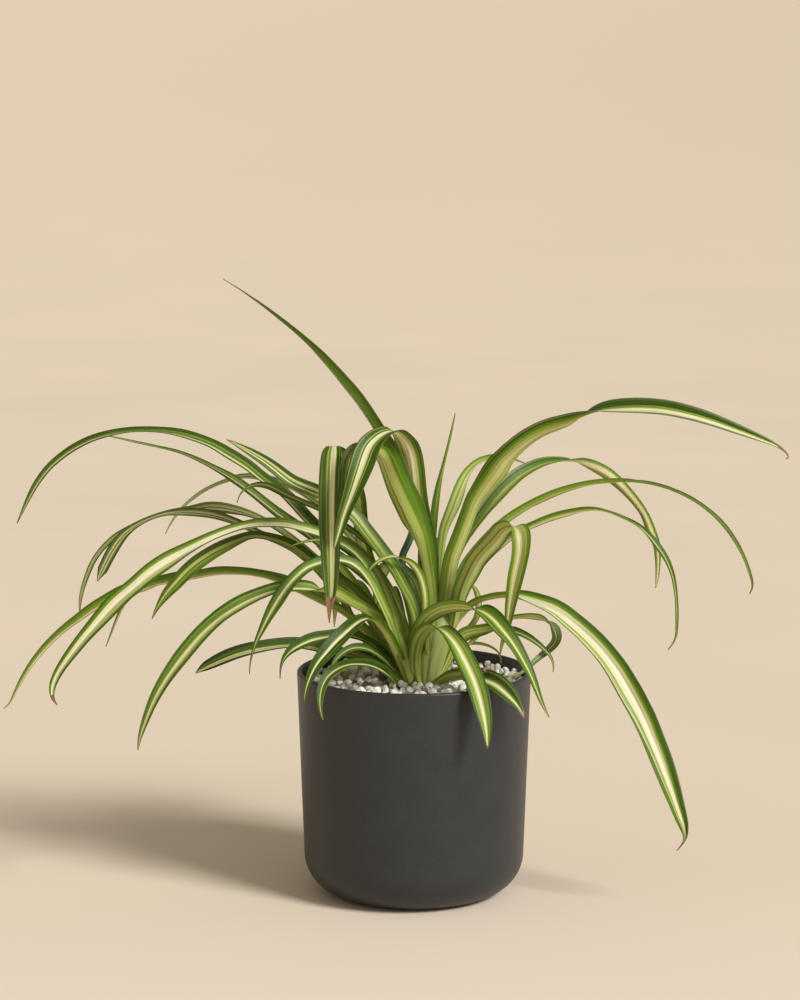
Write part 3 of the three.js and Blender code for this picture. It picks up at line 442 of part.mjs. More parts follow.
    [-79.787,22.703,184.941,-79.18,26.802,183.2,-78.99,21.664,189.24], [-97.045,26.599,187.793,-96.423,30.794,186.288,-96.848,25.098,192.03],
    [-110.684,29.378,188.406,-109.677,33.511,186.938,-111.128,27.863,192.62], [-122.231,32.245,187.501,-120.955,36.31,186.052,-123.354,30.824,191.62],
    [-133.626,34.931,185.231,-132.497,38.983,183.635,-134.466,33.491,189.409], [-145.125,37.676,183.518,-143.855,41.683,182.02,-146.35,36.2,187.548],
    [-154.525,39.717,180.948,-153.227,43.574,179.342,-156.066,38.433,184.836], [-165.603,41.725,176.963,-164.337,44.752,174.325,-166.805,41.63,180.997],
    [-171.355,42.597,175.855,-170.555,45.344,172.908,-171.882,42.762,179.924],
    [-177.045,43.455,174.627,-175.626,45.928,171.836,-178.359,43.833,178.376], [-183.996,44.629,171.011,-182.155,46.894,168.552,-185.862,45.072,174.31],
    [-199.019,47.189,161.576,-197.28,49.409,159.768,-201.033,47.192,164.253], [-216.137,49.877,148.155,-214.759,51.69,146.794,-217.87,49.729,150.159],
    [-226.171,50.792,138.524,-224.782,52.099,137.36,-227.822,50.855,140.027], [-236.016,51.736,126.037,-234.76,52.82,125.281,-237.532,51.663,127.048],
    [-244,52.787,112.287,-243.163,53.588,111.899,-245.077,52.578,112.825], [-248.409,52.988,103.441,-248.085,53.487,103.229,-248.895,52.742,103.761],
    [-252.422,53,99.248,-252.301,53.296,99.107,-252.62,52.826,99.479],
  ] },
  { name: 'leaf_left_back_short', colour: 0x6c7c3c, roughness: 0.50, rails: [
    [-14.589,7.982,136.612,-15.037,9.062,136.344,-13.643,8.426,137.201], [-22.703,7.358,148.047,-23.436,9.258,147.664,-21.107,7.666,149.332],
    [-32.027,5.926,158.634,-32.947,9.139,158.113,-29.664,5.678,161.043], [-39.559,5.615,165.197,-40.017,9.568,164.258,-37.138,4.83,168.397],
    [-46.166,6.54,169.442,-46.01,10.684,168.226,-44.49,5.436,173.269], [-58.696,8.785,175.197,-58.647,13.119,174.02,-56.983,7.191,179.031],
    [-78.202,10.839,184.952,-78.556,15.042,183.383,-76.548,9.379,188.874], [-89.371,11.771,188.994,-89.418,15.988,187.427,-88.477,10.162,193.101],
    [-103.08,12.898,191.063,-102.852,17.062,189.475,-102.919,11.229,195.2], [-116.951,14.053,191.196,-116.509,17.899,189.403,-117.339,12.665,195.212],
    [-134.51,15.623,188.227,-133.748,18.87,186.412,-135.45,14.601,191.761], [-155.824,17.766,183.791,-155.157,20.079,182.075,-156.64,17.214,186.579],
    [-163.208,18.373,180.991,-162.309,20.341,179.574,-164.409,17.932,183.238],
    [-169.637,18.954,176.449,-168.698,20.743,175.623,-171.086,18.299,177.946],
    [-174.687,19.495,170.399,-173.915,21.016,170.015,-176.045,18.755,171.216], [-179.962,19.951,159.727,-179.411,20.843,159.509,-180.865,19.515,160.1],
    [-185.83,20,144.925,-185.625,20.27,144.839,-186.129,19.866,145.049],
  ] },
  { name: 'leaf_back_ghost', colour: 0x6a7444, roughness: 0.50, rails: [
    [-5.607,13.011,141.966,-6.076,14.048,141.586,-4.523,13.517,142.064], [-9.106,16.606,154.99,-9.612,17.865,154.467,-7.742,16.982,155.325],
    [-14.747,21.353,169.141,-15.094,23.698,168.075,-12.421,21.232,170.291], [-21.634,27.038,182.421,-21.62,30.148,180.94,-18.872,26.263,184.329],
    [-29.242,33.702,194.783,-29.094,36.926,192.943,-26.604,32.699,197.199], [-39.1,42.05,207.26,-38.796,45.209,205.263,-36.922,40.869,210.075],
    [-50.546,50.182,218.459,-50.087,53.41,216.606,-48.779,48.859,221.49], [-63.451,57.852,228.323,-62.696,61.105,226.647,-62.226,56.323,231.504],
    [-74.38,64.092,234.365,-73.379,67.166,232.742,-73.731,62.652,237.619], [-86.224,70.327,238.3,-85.269,73.093,236.611,-85.996,69.264,241.499],
    [-96.964,75.35,239.867,-95.913,77.841,238.357,-97.215,74.44,242.817], [-106.038,79.403,239.555,-104.847,81.754,238.568,-106.903,78.383,242.03],
    [-113.02,82.347,237.27,-111.882,84.556,236.665,-114.264,81.302,239.245], [-125.257,86.692,232.159,-124.478,88.546,231.765,-126.295,85.68,233.607],
    [-135.109,89.576,226.055,-134.38,90.856,225.55,-136.077,89.027,227.143], [-142.579,91.505,219.771,-141.916,92.349,219.332,-143.422,91.228,220.519],
    [-149.892,93.096,210.462,-149.38,93.659,210.201,-150.558,92.901,210.869], [-154.746,94,201.795,-154.537,94.269,201.712,-155.038,93.867,201.935],
  ] },
  { name: 'leaf_left_red', colour: 0x7f9144, roughness: 0.46, rails: [
    [-14.586,0.403,151.885,-12.904,-0.034,152.55,-15.185,-1.324,151.542], [-19.996,-0.236,162.534,-17.389,-0.063,164.161,-20.577,-3.208,161.981],
    [-27.048,-1.054,172.166,-23.695,0.154,175.174,-27.276,-5.651,171.415], [-33.909,-2.186,179.32,-30.564,-0.026,183.314,-33.718,-7.762,178.49],
    [-43.161,-3.64,186.774,-40.409,-0.85,191.266,-42.827,-9.534,185.946], [-54.451,-5.894,194.697,-51.756,-2.808,199.08,-54.059,-11.759,193.499],
    [-64.671,-8.236,203.926,-61.753,-4.977,208.033,-64.342,-14.099,202.695], [-70.777,-9.791,208.809,-68.626,-6.365,213.238,-70.106,-15.639,207.656],
    [-77.636,-11.28,212.556,-76.46,-7.391,216.931,-76.733,-17.162,212.061], [-88.655,-13.691,216.525,-88.859,-9.264,220.223,-87.062,-19.219,216.987],
    [-94.307,-15.226,217.355,-95.453,-10.986,220.824,-92.871,-20.591,218.04], [-99.931,-16.714,216.422,-101.924,-13.049,219.817,-98.63,-21.924,216.735],
    [-114.457,-20.715,211.153,-116.52,-19.65,215.259,-112.569,-24.51,209.085],
    [-123.053,-22.93,206.613,-125.601,-22.759,210.65,-120.617,-26.12,204.024],
    [-130.982,-25.002,200.931,-134.031,-24.962,204.57,-128.19,-27.988,198.516],
    [-137.947,-26.863,194.048,-141.118,-26.979,197.031,-135.023,-29.311,191.944],
    [-144.612,-28.695,186.85,-147.149,-28.664,188.965,-142.297,-30.509,185.348],
    [-150.212,-30.234,178.759,-151.577,-29.802,179.499,-149.178,-31.386,178.313],
    [-153.847,-31,171.698,-154.128,-30.827,171.814,-153.668,-31.295,171.641],
  ] },
  { name: 'leaf_left_front_short', colour: 0x83925a, roughness: 0.46, rails: [
    [-13.655,-17.873,163.359,-11.928,-17.843,163.971,-13.813,-19.511,162.551], [-16.567,-21.297,170.955,-14.216,-20.753,172.166,-16.545,-23.811,169.97],
    [-23.848,-27.077,187.458,-20.465,-24.956,189.637,-23.352,-31.433,186.242], [-28.487,-29.809,196.154,-25.647,-27.11,198.817,-27.842,-34.432,195.34],
    [-33.378,-30.994,201.845,-31.174,-28.006,204.808,-32.964,-35.718,201.58], [-37.893,-31.534,204.848,-36.673,-28.573,208.356,-37.374,-36.248,204.575],
    [-43.054,-32.526,206.307,-43.259,-29.761,210.163,-41.921,-37.119,205.881], [-50.22,-35.018,206.393,-51.554,-32.547,210.216,-48.354,-39.356,205.947],
    [-59.057,-39.163,204.726,-61.192,-37.249,208.396,-56.768,-43.171,204.108], [-63.954,-41.929,202.58,-66.797,-40.52,205.813,-61.391,-45.622,202.029],
    [-71.023,-46.413,196.77,-74.226,-45.674,199.507,-68.239,-49.59,196.103], [-77.028,-50.39,189.643,-80.472,-50.603,192.215,-73.795,-52.975,188.465],
    [-81.216,-52.705,183.241,-84.544,-53.014,185.335,-78.215,-54.997,182.099],
    [-87.629,-55.149,171.015,-89.825,-54.696,171.999,-86.074,-56.977,170.533], [-92.536,-56.595,160.087,-93.734,-55.868,160.42,-91.895,-57.883,160.029],
    [-95.036,-57.717,150.451,-95.575,-57.344,150.505,-94.753,-58.31,150.452], [-95.587,-58,144.466,-95.882,-57.812,144.478,-95.415,-58.305,144.465],
  ] },
  { name: 'leaf_left_front_long', colour: 0x7d9440, roughness: 0.46, rails: [
    [-2.786,-7.043,128.258,-3.592,-6.298,129.035,-1.741,-6.399,128.806], [-2.979,-8,129.901,-3.613,-6.783,130.184,-1.789,-7.433,130.373],
    [-5.278,-9.342,137.501,-6.011,-7.9,137.642,-3.845,-8.774,138.01], [-7.185,-11.744,145.256,-8.284,-9.851,145.683,-5.17,-11.152,146.009],
    [-8.958,-13.818,150.906,-10.284,-11.276,151.161,-6.363,-13.313,152.045], [-12.093,-15.493,157.718,-13.654,-12.006,157.62,-8.76,-15.261,159.573],
    [-16.047,-17.096,163.781,-18.031,-12.783,163.8,-12.305,-17.27,166.697], [-19.724,-19.006,167.725,-22.193,-14.289,167.883,-15.987,-19.549,171.481],
    [-25.502,-22.195,172.009,-28.23,-17.129,171.953,-22.115,-23.196,176.551], [-34.762,-27.406,178.074,-38.003,-22.214,177.959,-30.887,-28.536,182.677],
    [-42.34,-31.814,183.466,-45.705,-26.614,182.72,-38.277,-32.696,188.116], [-45.33,-33.328,185.701,-48.563,-28.122,184.489,-41.643,-34.222,190.665],
    [-48.6,-34.723,187.439,-51.29,-29.25,186.069,-45.805,-36.28,192.807], [-50.359,-35.379,188.059,-52.712,-29.669,187.098,-47.888,-37.637,193.336],
    [-54.009,-36.596,188.998,-55.601,-30.654,190.103,-51.778,-40.82,193.029], [-57.722,-37.664,189.789,-58.393,-32.511,193.262,-55.86,-43.36,191.565],
    [-61.474,-38.571,190.472,-61.671,-34.352,195.079,-60.095,-44.66,190.752], [-67.192,-39.662,191.108,-67.595,-35.755,195.97,-66.146,-45.823,191.002],
    [-76.865,-41.428,190.783,-78.22,-37.538,195.483,-75.472,-47.521,190.785], [-84.474,-43.639,189.475,-86.902,-39.926,193.868,-82.454,-49.543,189.669],
    [-93.622,-47.137,186.546,-96.521,-43.943,190.963,-91.34,-52.87,186.317], [-102.416,-50.223,182.584,-105.508,-47.595,187,-100.247,-55.75,181.737],
    [-112.445,-53.069,176.588,-115.854,-51.138,180.68,-110.179,-58.092,175.273],
    [-121.561,-55.43,169.138,-125.178,-54.654,172.862,-118.82,-59.5,167.273],
    [-128.432,-57.161,162.072,-132.262,-57.094,165.414,-125.261,-60.585,160.059],
    [-137.18,-59.604,151.391,-140.929,-59.688,154.3,-133.937,-62.584,149.622],
    [-145.187,-62.246,140.195,-148.516,-62.3,142.306,-142.324,-64.613,138.874],
    [-150.934,-64.029,129.803,-153.79,-64.046,131.175,-148.496,-65.835,128.892],
    [-156.857,-65.767,115.025,-158.783,-65.773,115.693,-155.177,-66.821,114.551],
    [-159.49,-66.661,105.427,-160.393,-66.544,105.58,-158.749,-67.206,105.341],
    [-160.065,-67,101.487,-160.406,-66.934,101.526,-159.792,-67.219,101.469],
  ] },
  { name: 'leaf_dark_short_arc', colour: 0x47601e, roughness: 0.50, rails: [
    [-11.507,-11.374,156.607,-10.338,-11.546,156.816,-11.841,-12.49,156.317], [-14.412,-14.489,168.281,-13.191,-14.218,168.722,-14.556,-15.734,167.846],
    [-18.956,-18.16,181.485,-17.186,-17.216,182.374,-19.119,-20.285,180.964], [-22.717,-19.319,190.529,-20.76,-18.123,191.472,-23.093,-21.753,190.247],
    [-27.212,-19.672,199.101,-25.47,-18.379,200.303,-27.488,-22.102,198.691], [-33,-21.306,206.995,-31.679,-20.115,208.51,-33.059,-23.525,206.267],
    [-38.72,-23.217,212.446,-37.79,-22.247,214.055,-38.745,-25.155,211.65], [-43.792,-24.549,215.497,-43.232,-23.818,217.107,-43.79,-26.206,214.662],
    [-49.435,-25.652,217.259,-49.237,-25.125,218.74,-49.37,-27.01,216.447], [-57.337,-26.56,217.825,-57.407,-26.169,219.002,-57.24,-27.578,217.121],
    [-65.202,-26.946,216.667,-65.406,-26.605,217.41,-65.056,-27.646,216.221], [-72.792,-27.54,214.241,-72.908,-27.351,214.511,-72.707,-27.845,214.091],
  ] },
  { name: 'leaf_olive_back_mid', colour: 0x8b8b4e, roughness: 0.46, rails: [
    [-20.39,15.548,152.664,-21.208,17.991,151.957,-17.983,15.537,153.823], [-26.519,16.496,165.309,-27.969,20.737,164.402,-22.591,15.429,167.394],
    [-32.667,16.89,175.742,-34.426,21.825,174.298,-28.332,15.413,178.67], [-40.849,18.085,187.159,-42.447,22.647,185.25,-36.979,16.637,190.314],
    [-48.313,20.06,196.436,-49.601,23.574,194.322,-45.307,19.04,199.334], [-58.559,24.153,208.162,-59.401,25.808,206.771,-56.918,23.694,209.737],
    [-66.865,29,218.448,-66.954,29.262,218.234,-66.662,28.857,218.694],
  ] },
  { name: 'leaf_rear_a', colour: 0x7c8f48, roughness: 0.46, rails: [
    [8.593,7.767,141.589,9.771,7.254,141.986,7.913,6.7,142.045], [7.099,13.787,152.001,9.099,13.244,152.73,5.755,12.255,152.821],
    [4.674,22.001,163.175,8.476,21.376,164.564,1.959,19.177,164.369], [2.011,27.447,172.274,7.112,27.105,174.261,-1.771,23.68,173.541],
    [0.452,30.996,176.316,5.745,31.087,178.544,-3.821,27.685,178.255], [-1.276,36.057,179.641,3.966,36.56,181.95,-5.876,33.453,181.904],
    [-3.866,44.324,182.627,1.246,45.357,185.048,-8.648,42.184,184.996], [-8.144,56.472,184.735,-3.161,58.058,187.126,-12.964,54.357,187.051],
    [-13.134,69.717,185.589,-8.344,71.559,187.767,-17.99,68.084,187.788], [-15.102,75.329,184.666,-10.589,77.464,186.618,-19.958,74.278,186.681],
    [-16.855,80.557,182.266,-12.67,82.936,183.892,-21.622,80.022,183.943], [-19.248,88.088,176.091,-15.591,90.391,177.293,-23.579,87.922,177.248],
    [-22.08,98.522,164.201,-19.411,100.16,164.999,-25.258,98.502,164.78], [-23.809,106.503,152.756,-22.242,107.43,153.128,-25.656,106.466,152.951],
    [-24.985,113.804,138.488,-24.682,113.969,138.546,-25.334,113.785,138.501],
  ] },
  { name: 'leaf_rear_b', colour: 0x74863f, roughness: 0.46, rails: [
    [-18.856,20.842,142.792,-17.614,20.49,143.36,-19.599,19.731,143.244], [-22.536,28.595,153.882,-19.992,28.347,155.067,-24.322,26.624,154.811],
    [-26.851,37.789,163.556,-22.617,37.938,165.538,-30.122,34.819,165.093], [-30.935,46.507,170.758,-26.201,47.206,172.918,-34.882,43.508,172.485],
    [-33.874,53.085,174.236,-29.271,54.277,176.461,-38.029,50.58,176.243], [-36.881,60.373,175.543,-32.41,62.07,177.709,-41.31,58.552,177.695],
    [-41.063,71.598,174.598,-36.75,73.416,176.564,-45.57,70.345,176.572], [-44.055,80.929,172.518,-40.099,82.614,174.244,-48.338,80.201,174.129],
    [-45.904,87.982,169.243,-42.454,89.747,170.671,-49.88,87.754,170.339], [-47.232,93.965,164.096,-44.354,95.668,165.161,-50.681,93.933,164.744],
    [-49.277,106.544,148.63,-48.009,107.229,149.03,-50.769,106.513,148.74], [-49.972,113.48,138.825,-49.668,113.632,138.91,-50.321,113.462,138.834],
  ] },
  { name: 'leaf_rear_c', colour: 0x81954a, roughness: 0.46, rails: [
    [12.173,7.506,143.685,13.232,6.645,143.994,11.228,6.569,144.118], [12.613,12.583,154.523,14.427,11.451,155.113,10.96,11.328,155.304],
    [12.824,17.611,161.273,15.57,16.33,162.414,10.295,16.183,162.703], [12.979,24.835,167.459,16.887,23.418,169.244,9.336,23.248,169.622],
    [13.053,32.155,173.493,17.953,30.24,175.326,8.449,29.903,175.674], [13.026,35.581,178.343,18.284,33.2,179.547,8.071,32.673,179.667],
    [12.721,39.457,190.085,18.225,37.405,191.309,7.497,36.736,191.224], [12.52,42.491,194.43,18.032,40.953,196.232,7.236,40.299,196.241],
    [12.262,46.979,197.742,17.753,46.16,200.018,6.915,45.519,200.039], [11.91,52.531,199.46,17.371,52.512,201.946,6.501,51.741,201.933],
    [10.389,68.339,199.992,15.796,68.968,202.363,4.981,67.727,202.365], [8.976,80.169,199.283,14.074,81.239,201.325,3.819,80.012,201.45],
    [8.295,85.647,197.077,13.142,87.247,198.649,3.313,86.177,198.926], [7.54,91.499,191.766,12.011,93.29,192.794,2.894,92.453,193.094],
    [6.542,99.309,180.274,10.207,100.809,180.895,2.724,100.223,181.081], [5.568,108.601,162.684,7.732,109.394,162.956,3.322,109.091,163.003],
    [5.104,114.273,147.807,5.747,114.482,147.859,4.439,114.399,147.86], [5.001,115.981,142.08,5.334,116.083,142.104,4.657,116.041,142.103],
  ] },
  { name: 'leaf_rear_d', colour: 0x6f8038, roughness: 0.50, rails: [
    [-7.092,18.794,150.459,-5.158,18.254,151.302,-8.673,17.567,151.319], [-9.733,31.872,162.754,-5.769,31.376,164.343,-13.19,29.831,164.295],
    [-11.757,41.274,169.699,-7.358,41.168,171.488,-15.761,39.405,171.442], [-13.263,48.47,172.708,-8.938,48.898,174.626,-17.411,47.163,174.617],
    [-14.441,54.318,173.294,-10.2,55.209,175.203,-18.701,53.525,175.203], [-16.322,64.009,171.599,-12.388,65.242,173.254,-20.439,63.695,173.237],
    [-18.432,75.031,167.24,-15.125,76.303,168.465,-21.981,74.97,168.446], [-20.033,83.229,161.704,-17.456,84.418,162.477,-22.87,83.343,162.47],
    [-21.352,89.874,154.313,-19.631,90.711,154.672,-23.262,89.985,154.672], [-22.962,97.816,140.455,-22.643,97.957,140.493,-23.309,97.823,140.494],
  ] },
  { name: 'leaf_rear_e', colour: 0x7a8c46, roughness: 0.46, rails: [
    [14.726,6.377,139.149,15.514,5.579,139.578,13.793,5.897,139.732], [17.139,15.315,149.697,18.95,14.044,150.503,15.113,14.709,150.734],
    [19.453,26.926,160.52,23.112,25.071,161.967,15.496,26.172,162.163], [20.846,36.407,167.781,25.202,34.76,169.561,16.242,35.888,169.624],
    [21.51,41.801,170.332,25.962,40.637,172.289,16.914,41.695,172.298], [22.171,47.667,171.407,26.679,47.064,173.396,17.637,48.048,173.393],
    [23.174,57.602,170.678,27.412,57.498,172.383,18.998,58.254,172.415], [23.895,69.256,167.833,27.388,69.566,168.984,20.502,69.835,169.168],
    [23.993,76.449,164.32,26.776,76.887,165.016,21.333,77.084,165.29], [24,84.081,157.849,25.669,84.35,158.105,22.415,84.545,158.29],
    [24,91.669,148.516,24.346,91.711,148.548,23.669,91.761,148.585],
  ] },
];

const manifold = await Module();
manifold.setup();

function finish(positions, indices) {
  let geometry = new THREE.BufferGeometry();
  geometry.setAttribute('position', new THREE.Float32BufferAttribute(positions, 3));
  geometry.setIndex(indices);
  return clean(geometry);
}

// merges equal corners, drops empty triangles, rounds to 1e-4 mm and turns faces outward
function clean(source) {
  let geometry = source.index ? source : source.clone();
  geometry.deleteAttribute('normal');
  geometry.deleteAttribute('uv');
  const p = geometry.getAttribute('position');
  for (let i = 0; i < p.count; i++) {
    p.setXYZ(i, round4(p.getX(i)), round4(p.getY(i)), round4(p.getZ(i)));
  }
  geometry = mergeVertices(geometry, 1e-4);
  const q = geometry.getAttribute('position');
  const index = [];
  const a = geometry.index;
  let volume = 0;
  const A = new THREE.Vector3(), B = new THREE.Vector3(), C = new THREE.Vector3();
  for (let i = 0; i < a.count; i += 3) {
    const u = a.getX(i), v = a.getX(i + 1), w = a.getX(i + 2);
    if (u === v || v === w || w === u) continue;
    index.push(u, v, w);
    A.fromBufferAttribute(q, u); B.fromBufferAttribute(q, v); C.fromBufferAttribute(q, w);
    volume += A.dot(B.cross(C)) / 6;
  }
  if (volume < 0) {
    for (let i = 0; i < index.length; i += 3) {
      const t = index[i + 1]; index[i + 1] = index[i + 2]; index[i + 2] = t;
    }
  }
  geometry.setIndex(index);
  return geometry;
}

function round4(v) { return Math.round(v * 1e4) / 1e4; }

function toManifold(geometry) {
  const p = geometry.getAttribute('position');
  return new manifold.Manifold(new manifold.Mesh({
    numProp: 3,
    vertProperties: new Float32Array(p.array),
    triVerts: new Uint32Array(geometry.index.array),
  }));
}

function fromManifold(body) {
  const mesh = body.getMesh();
  const positions = [];
  for (let i = 0; i < mesh.vertProperties.length; i += mesh.numProp) {
    positions.push(mesh.vertProperties[i], mesh.vertProperties[i + 1], mesh.vertProperties[i + 2]);
  }
  return finish(positions, Array.from(mesh.triVerts));
}

function piece(name, geometry, colour, roughness, metalness = 0) {
  geometry.computeVertexNormals();
  const mesh = new THREE.Mesh(geometry, new THREE.MeshStandardMaterial({ color: colour, roughness, metalness }));
  mesh.name = name;
  return mesh;
}

function bodyRadius(z) {
  return BODY_RADIUS + (RIM_RADIUS - BODY_RADIUS) * (z - BOTTOM_ROUNDING) / (POT_HEIGHT - BOTTOM_ROUNDING);
}

function innerRadius(z) {
  const r = BOTTOM_ROUNDING - WALL;
  if (z >= FLOOR + r) return bodyRadius(z) - WALL;
  const c = BODY_RADIUS - WALL - r;
  const d = FLOOR + r - z;
  return c + Math.sqrt(Math.max(0, r * r - d * d));
}

function revolve(profile, segments) {
  const g = new THREE.LatheGeometry(profile.map(([r, z]) => new THREE.Vector2(r, z)), segments);
  g.rotateX(Math.PI / 2);
  return clean(g);
}

function pot() {
  const profile = [[0, 0], [BASE_RADIUS, 0]];
  for (let i = 1; i <= 8; i++) {
    const a = Math.PI / 2 * i / 8;
    profile.push([BASE_RADIUS + BOTTOM_ROUNDING * Math.sin(a), BOTTOM_ROUNDING * (1 - Math.cos(a))]);
  }
  profile.push([bodyRadius(80), 80]);
  profile.push([bodyRadius(POT_HEIGHT - LIP), POT_HEIGHT - LIP]);
  profile.push([RIM_RADIUS - LIP * 0.3, POT_HEIGHT - LIP * 0.3]);
  profile.push([RIM_RADIUS - LIP, POT_HEIGHT]);
  profile.push([RIM_RADIUS - WALL + LIP * 0.8, POT_HEIGHT]);
  profile.push([RIM_RADIUS - WALL + LIP * 0.1, POT_HEIGHT - LIP * 0.4]);
  profile.push([innerRadius(POT_HEIGHT - LIP * 1.4), POT_HEIGHT - LIP * 1.4]);
  profile.push([innerRadius(80), 80]);
  const r = BOTTOM_ROUNDING - WALL;
  for (let i = 0; i <= 6; i++) {
    const a = Math.PI / 2 * (1 - i / 6);
    profile.push([BODY_RADIUS - WALL - r + r * Math.sin(a), FLOOR + r * (1 - Math.cos(a))]);
  }
  profile.push([0, FLOOR]);
  return revolve(profile, POT_SEGMENTS);
}

function soil() {
  const profile = [[0, FLOOR + GAP]];
  const r = BOTTOM_ROUNDING - WALL;
  for (let i = 0; i <= 6; i++) {
    const a = Math.PI / 2 * i / 6;
    profile.push([BODY_RADIUS - WALL - r - GAP + r * Math.sin(a), FLOOR + GAP + r * (1 - Math.cos(a))]);
  }
  profile.push([innerRadius(SOIL_TOP) - GAP, SOIL_TOP], [0, SOIL_TOP]);
  return revolve(profile, 48);
}

// a repeatable value between -1 and 1
function wobble(i, j) {
  const s = Math.sin(i * 127.1 + j * 311.7) * 43758.5453;
  return (s - Math.floor(s)) * 2 - 1;
}

function pebbleLayer() {
  const radius = innerRadius(SOIL_TOP) - 0.45;
  const positions = [0, 0, PEBBLE_TOP];
  const index = [];
  const n = PEBBLE_SEGMENTS;
  for (let i = 1; i <= PEBBLE_RINGS; i++) {
    const r = radius * i / PEBBLE_RINGS;
    for (let k = 0; k < n; k++) {
      const a = 2 * Math.PI * (k + (i % 2) * 0.5) / n;
      positions.push(r * Math.cos(a), r * Math.sin(a), PEBBLE_TOP + PEBBLE_RELIEF * wobble(i, k) * (i === PEBBLE_RINGS ? 0.4 : 1));
    }
  }
  for (let k = 0; k < n; k++) index.push(0, 1 + k, 1 + (k + 1) % n);
  for (let i = 1; i < PEBBLE_RINGS; i++) {
    for (let k = 0; k < n; k++) {
      const a = 1 + (i - 1) * n + k, b = 1 + (i - 1) * n + (k + 1) % n;
      const c = a + n, d = b + n;
      index.push(a, c, d, a, d, b);
    }
  }
  const top = 1 + (PEBBLE_RINGS - 1) * n;
  const low = positions.length / 3;
  for (let k = 0; k < n; k++) {
    positions.push(positions[(top + k) * 3], positions[(top + k) * 3 + 1], SOIL_TOP + GAP);
  }
  const centre = positions.length / 3;
  positions.push(0, 0, SOIL_TOP + GAP);
  for (let k = 0; k < n; k++) {
    const k2 = (k + 1) % n;
    index.push(top + k, low + k, low + k2, top + k, low + k2, top + k2);
    index.push(centre, low + k2, low + k);
  }
  return finish(positions, index);
}

function crown(rings, grow = 0) {
  const positions = [];
  const index = [];
  const n = CROWN_SEGMENTS;
  const last = rings.length - 1;
  rings.forEach(([z, x, y, rx, ry], i) => {
    const h = z + (i === last ? grow : 0) - (i === 0 ? grow : 0);
    for (let k = 0; k < n; k++) {
      const a = 2 * Math.PI * k / n;
      positions.push(x + (rx + grow) * Math.cos(a), y + (ry + grow) * Math.sin(a), h);
    }
  });
  for (let i = 0; i < last; i++) {
    for (let k = 0; k < n; k++) {
      const a = i * n + k, b = i * n + (k + 1) % n;
      index.push(a, b, b + n, a, b + n, a + n);
    }
  }
  const low = positions.length / 3;
  positions.push(rings[0][1], rings[0][2], rings[0][0] - grow);
  positions.push(rings[last][1], rings[last][2], rings[last][0] + grow);
  for (let k = 0; k < n; k++) {
    const k2 = (k + 1) % n;
    index.push(low, k2, k, low + 1, last * n + k, last * n + k2);
  }
  return finish(positions, index);
}

// a folded blade: two wings that meet in the keel
function leaf(rails) {
  const positions = [];
  const index = [];
  const n = rails.length;
  for (const [kx, ky, kz, lx, ly, lz, rx, ry, rz] of rails) {
    const keel = new THREE.Vector3(kx, ky, kz);
    const left = new THREE.Vector3(lx, ly, lz);
    const right = new THREE.Vector3(rx, ry, rz);
    const up = left.clone().add(right).multiplyScalar(0.5).sub(keel).normalize();
    const width = left.distanceTo(keel) + right.distanceTo(keel);
    const half = Math.min(LEAF_KEEL_THICKNESS, LEAF_EDGE_BASE + LEAF_EDGE_GAIN * width) / 2;
    const top = keel.clone().addScaledVector(up, half);
    const under = keel.clone().addScaledVector(up, -half);
    for (const v of [left, top, right, under]) positions.push(v.x, v.y, v.z);
  }
  // both skins of a wing are split along the same diagonal
  for (let i = 0; i < n - 1; i++) {
    const o = i * 4;
    for (const [a, b] of [[0, 1], [1, 2]]) {
      index.push(o + a, o + b + 4, o + b, o + a, o + a + 4, o + b + 4);
    }
    for (const [a, b] of [[0, 3], [3, 2]]) {
      index.push(o + a, o + b, o + b + 4, o + a, o + b + 4, o + a + 4);
    }
  }
  const e = (n - 1) * 4;
  index.push(0, 1, 3, 1, 2, 3, e, e + 3, e + 1, e + 1, e + 3, e + 2);
  return finish(positions, index);
}

const plant = new THREE.Group();
plant.name = 'potted_spider_plant';

plant.add(piece('pot', pot(), 0x3e3d3b, 0.55));

let soilBody = toManifold(soil());
let pebbleBody = toManifold(pebbleLayer());
for (const { rings } of Object.values(CROWNS)) {
  const socket = toManifold(crown(rings, GAP));
  soilBody = soilBody.subtract(socket);
  pebbleBody = pebbleBody.subtract(socket);
}
plant.add(piece('soil', fromManifold(soilBody), 0x3a2f24, 0.95));
plant.add(piece('pebble_layer', fromManifold(pebbleBody), 0xcfcabd, 0.7));

for (const [name, { colour, rings }] of Object.entries(CROWNS)) {
  plant.add(piece(name, crown(rings), colour, 0.5));
}

for (const { name, colour, roughness, rails } of LEAVES) {
  plant.add(piece(name, leaf(rails), colour, roughness));
}

export default plant;
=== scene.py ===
import bpy, math, random
import numpy as np
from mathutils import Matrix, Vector


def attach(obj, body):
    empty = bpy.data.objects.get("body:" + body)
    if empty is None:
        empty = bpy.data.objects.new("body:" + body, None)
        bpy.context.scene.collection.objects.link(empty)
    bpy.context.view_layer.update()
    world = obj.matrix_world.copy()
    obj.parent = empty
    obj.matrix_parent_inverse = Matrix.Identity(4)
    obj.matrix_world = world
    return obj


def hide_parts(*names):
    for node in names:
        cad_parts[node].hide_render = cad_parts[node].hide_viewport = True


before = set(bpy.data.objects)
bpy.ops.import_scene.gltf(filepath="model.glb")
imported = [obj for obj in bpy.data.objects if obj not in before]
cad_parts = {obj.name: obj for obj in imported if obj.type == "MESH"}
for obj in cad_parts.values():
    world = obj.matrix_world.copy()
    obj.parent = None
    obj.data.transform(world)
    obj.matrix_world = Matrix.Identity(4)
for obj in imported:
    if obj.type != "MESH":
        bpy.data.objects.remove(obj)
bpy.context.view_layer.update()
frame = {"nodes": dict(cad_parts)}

MM = 0.001
rng = np.random.default_rng(11)

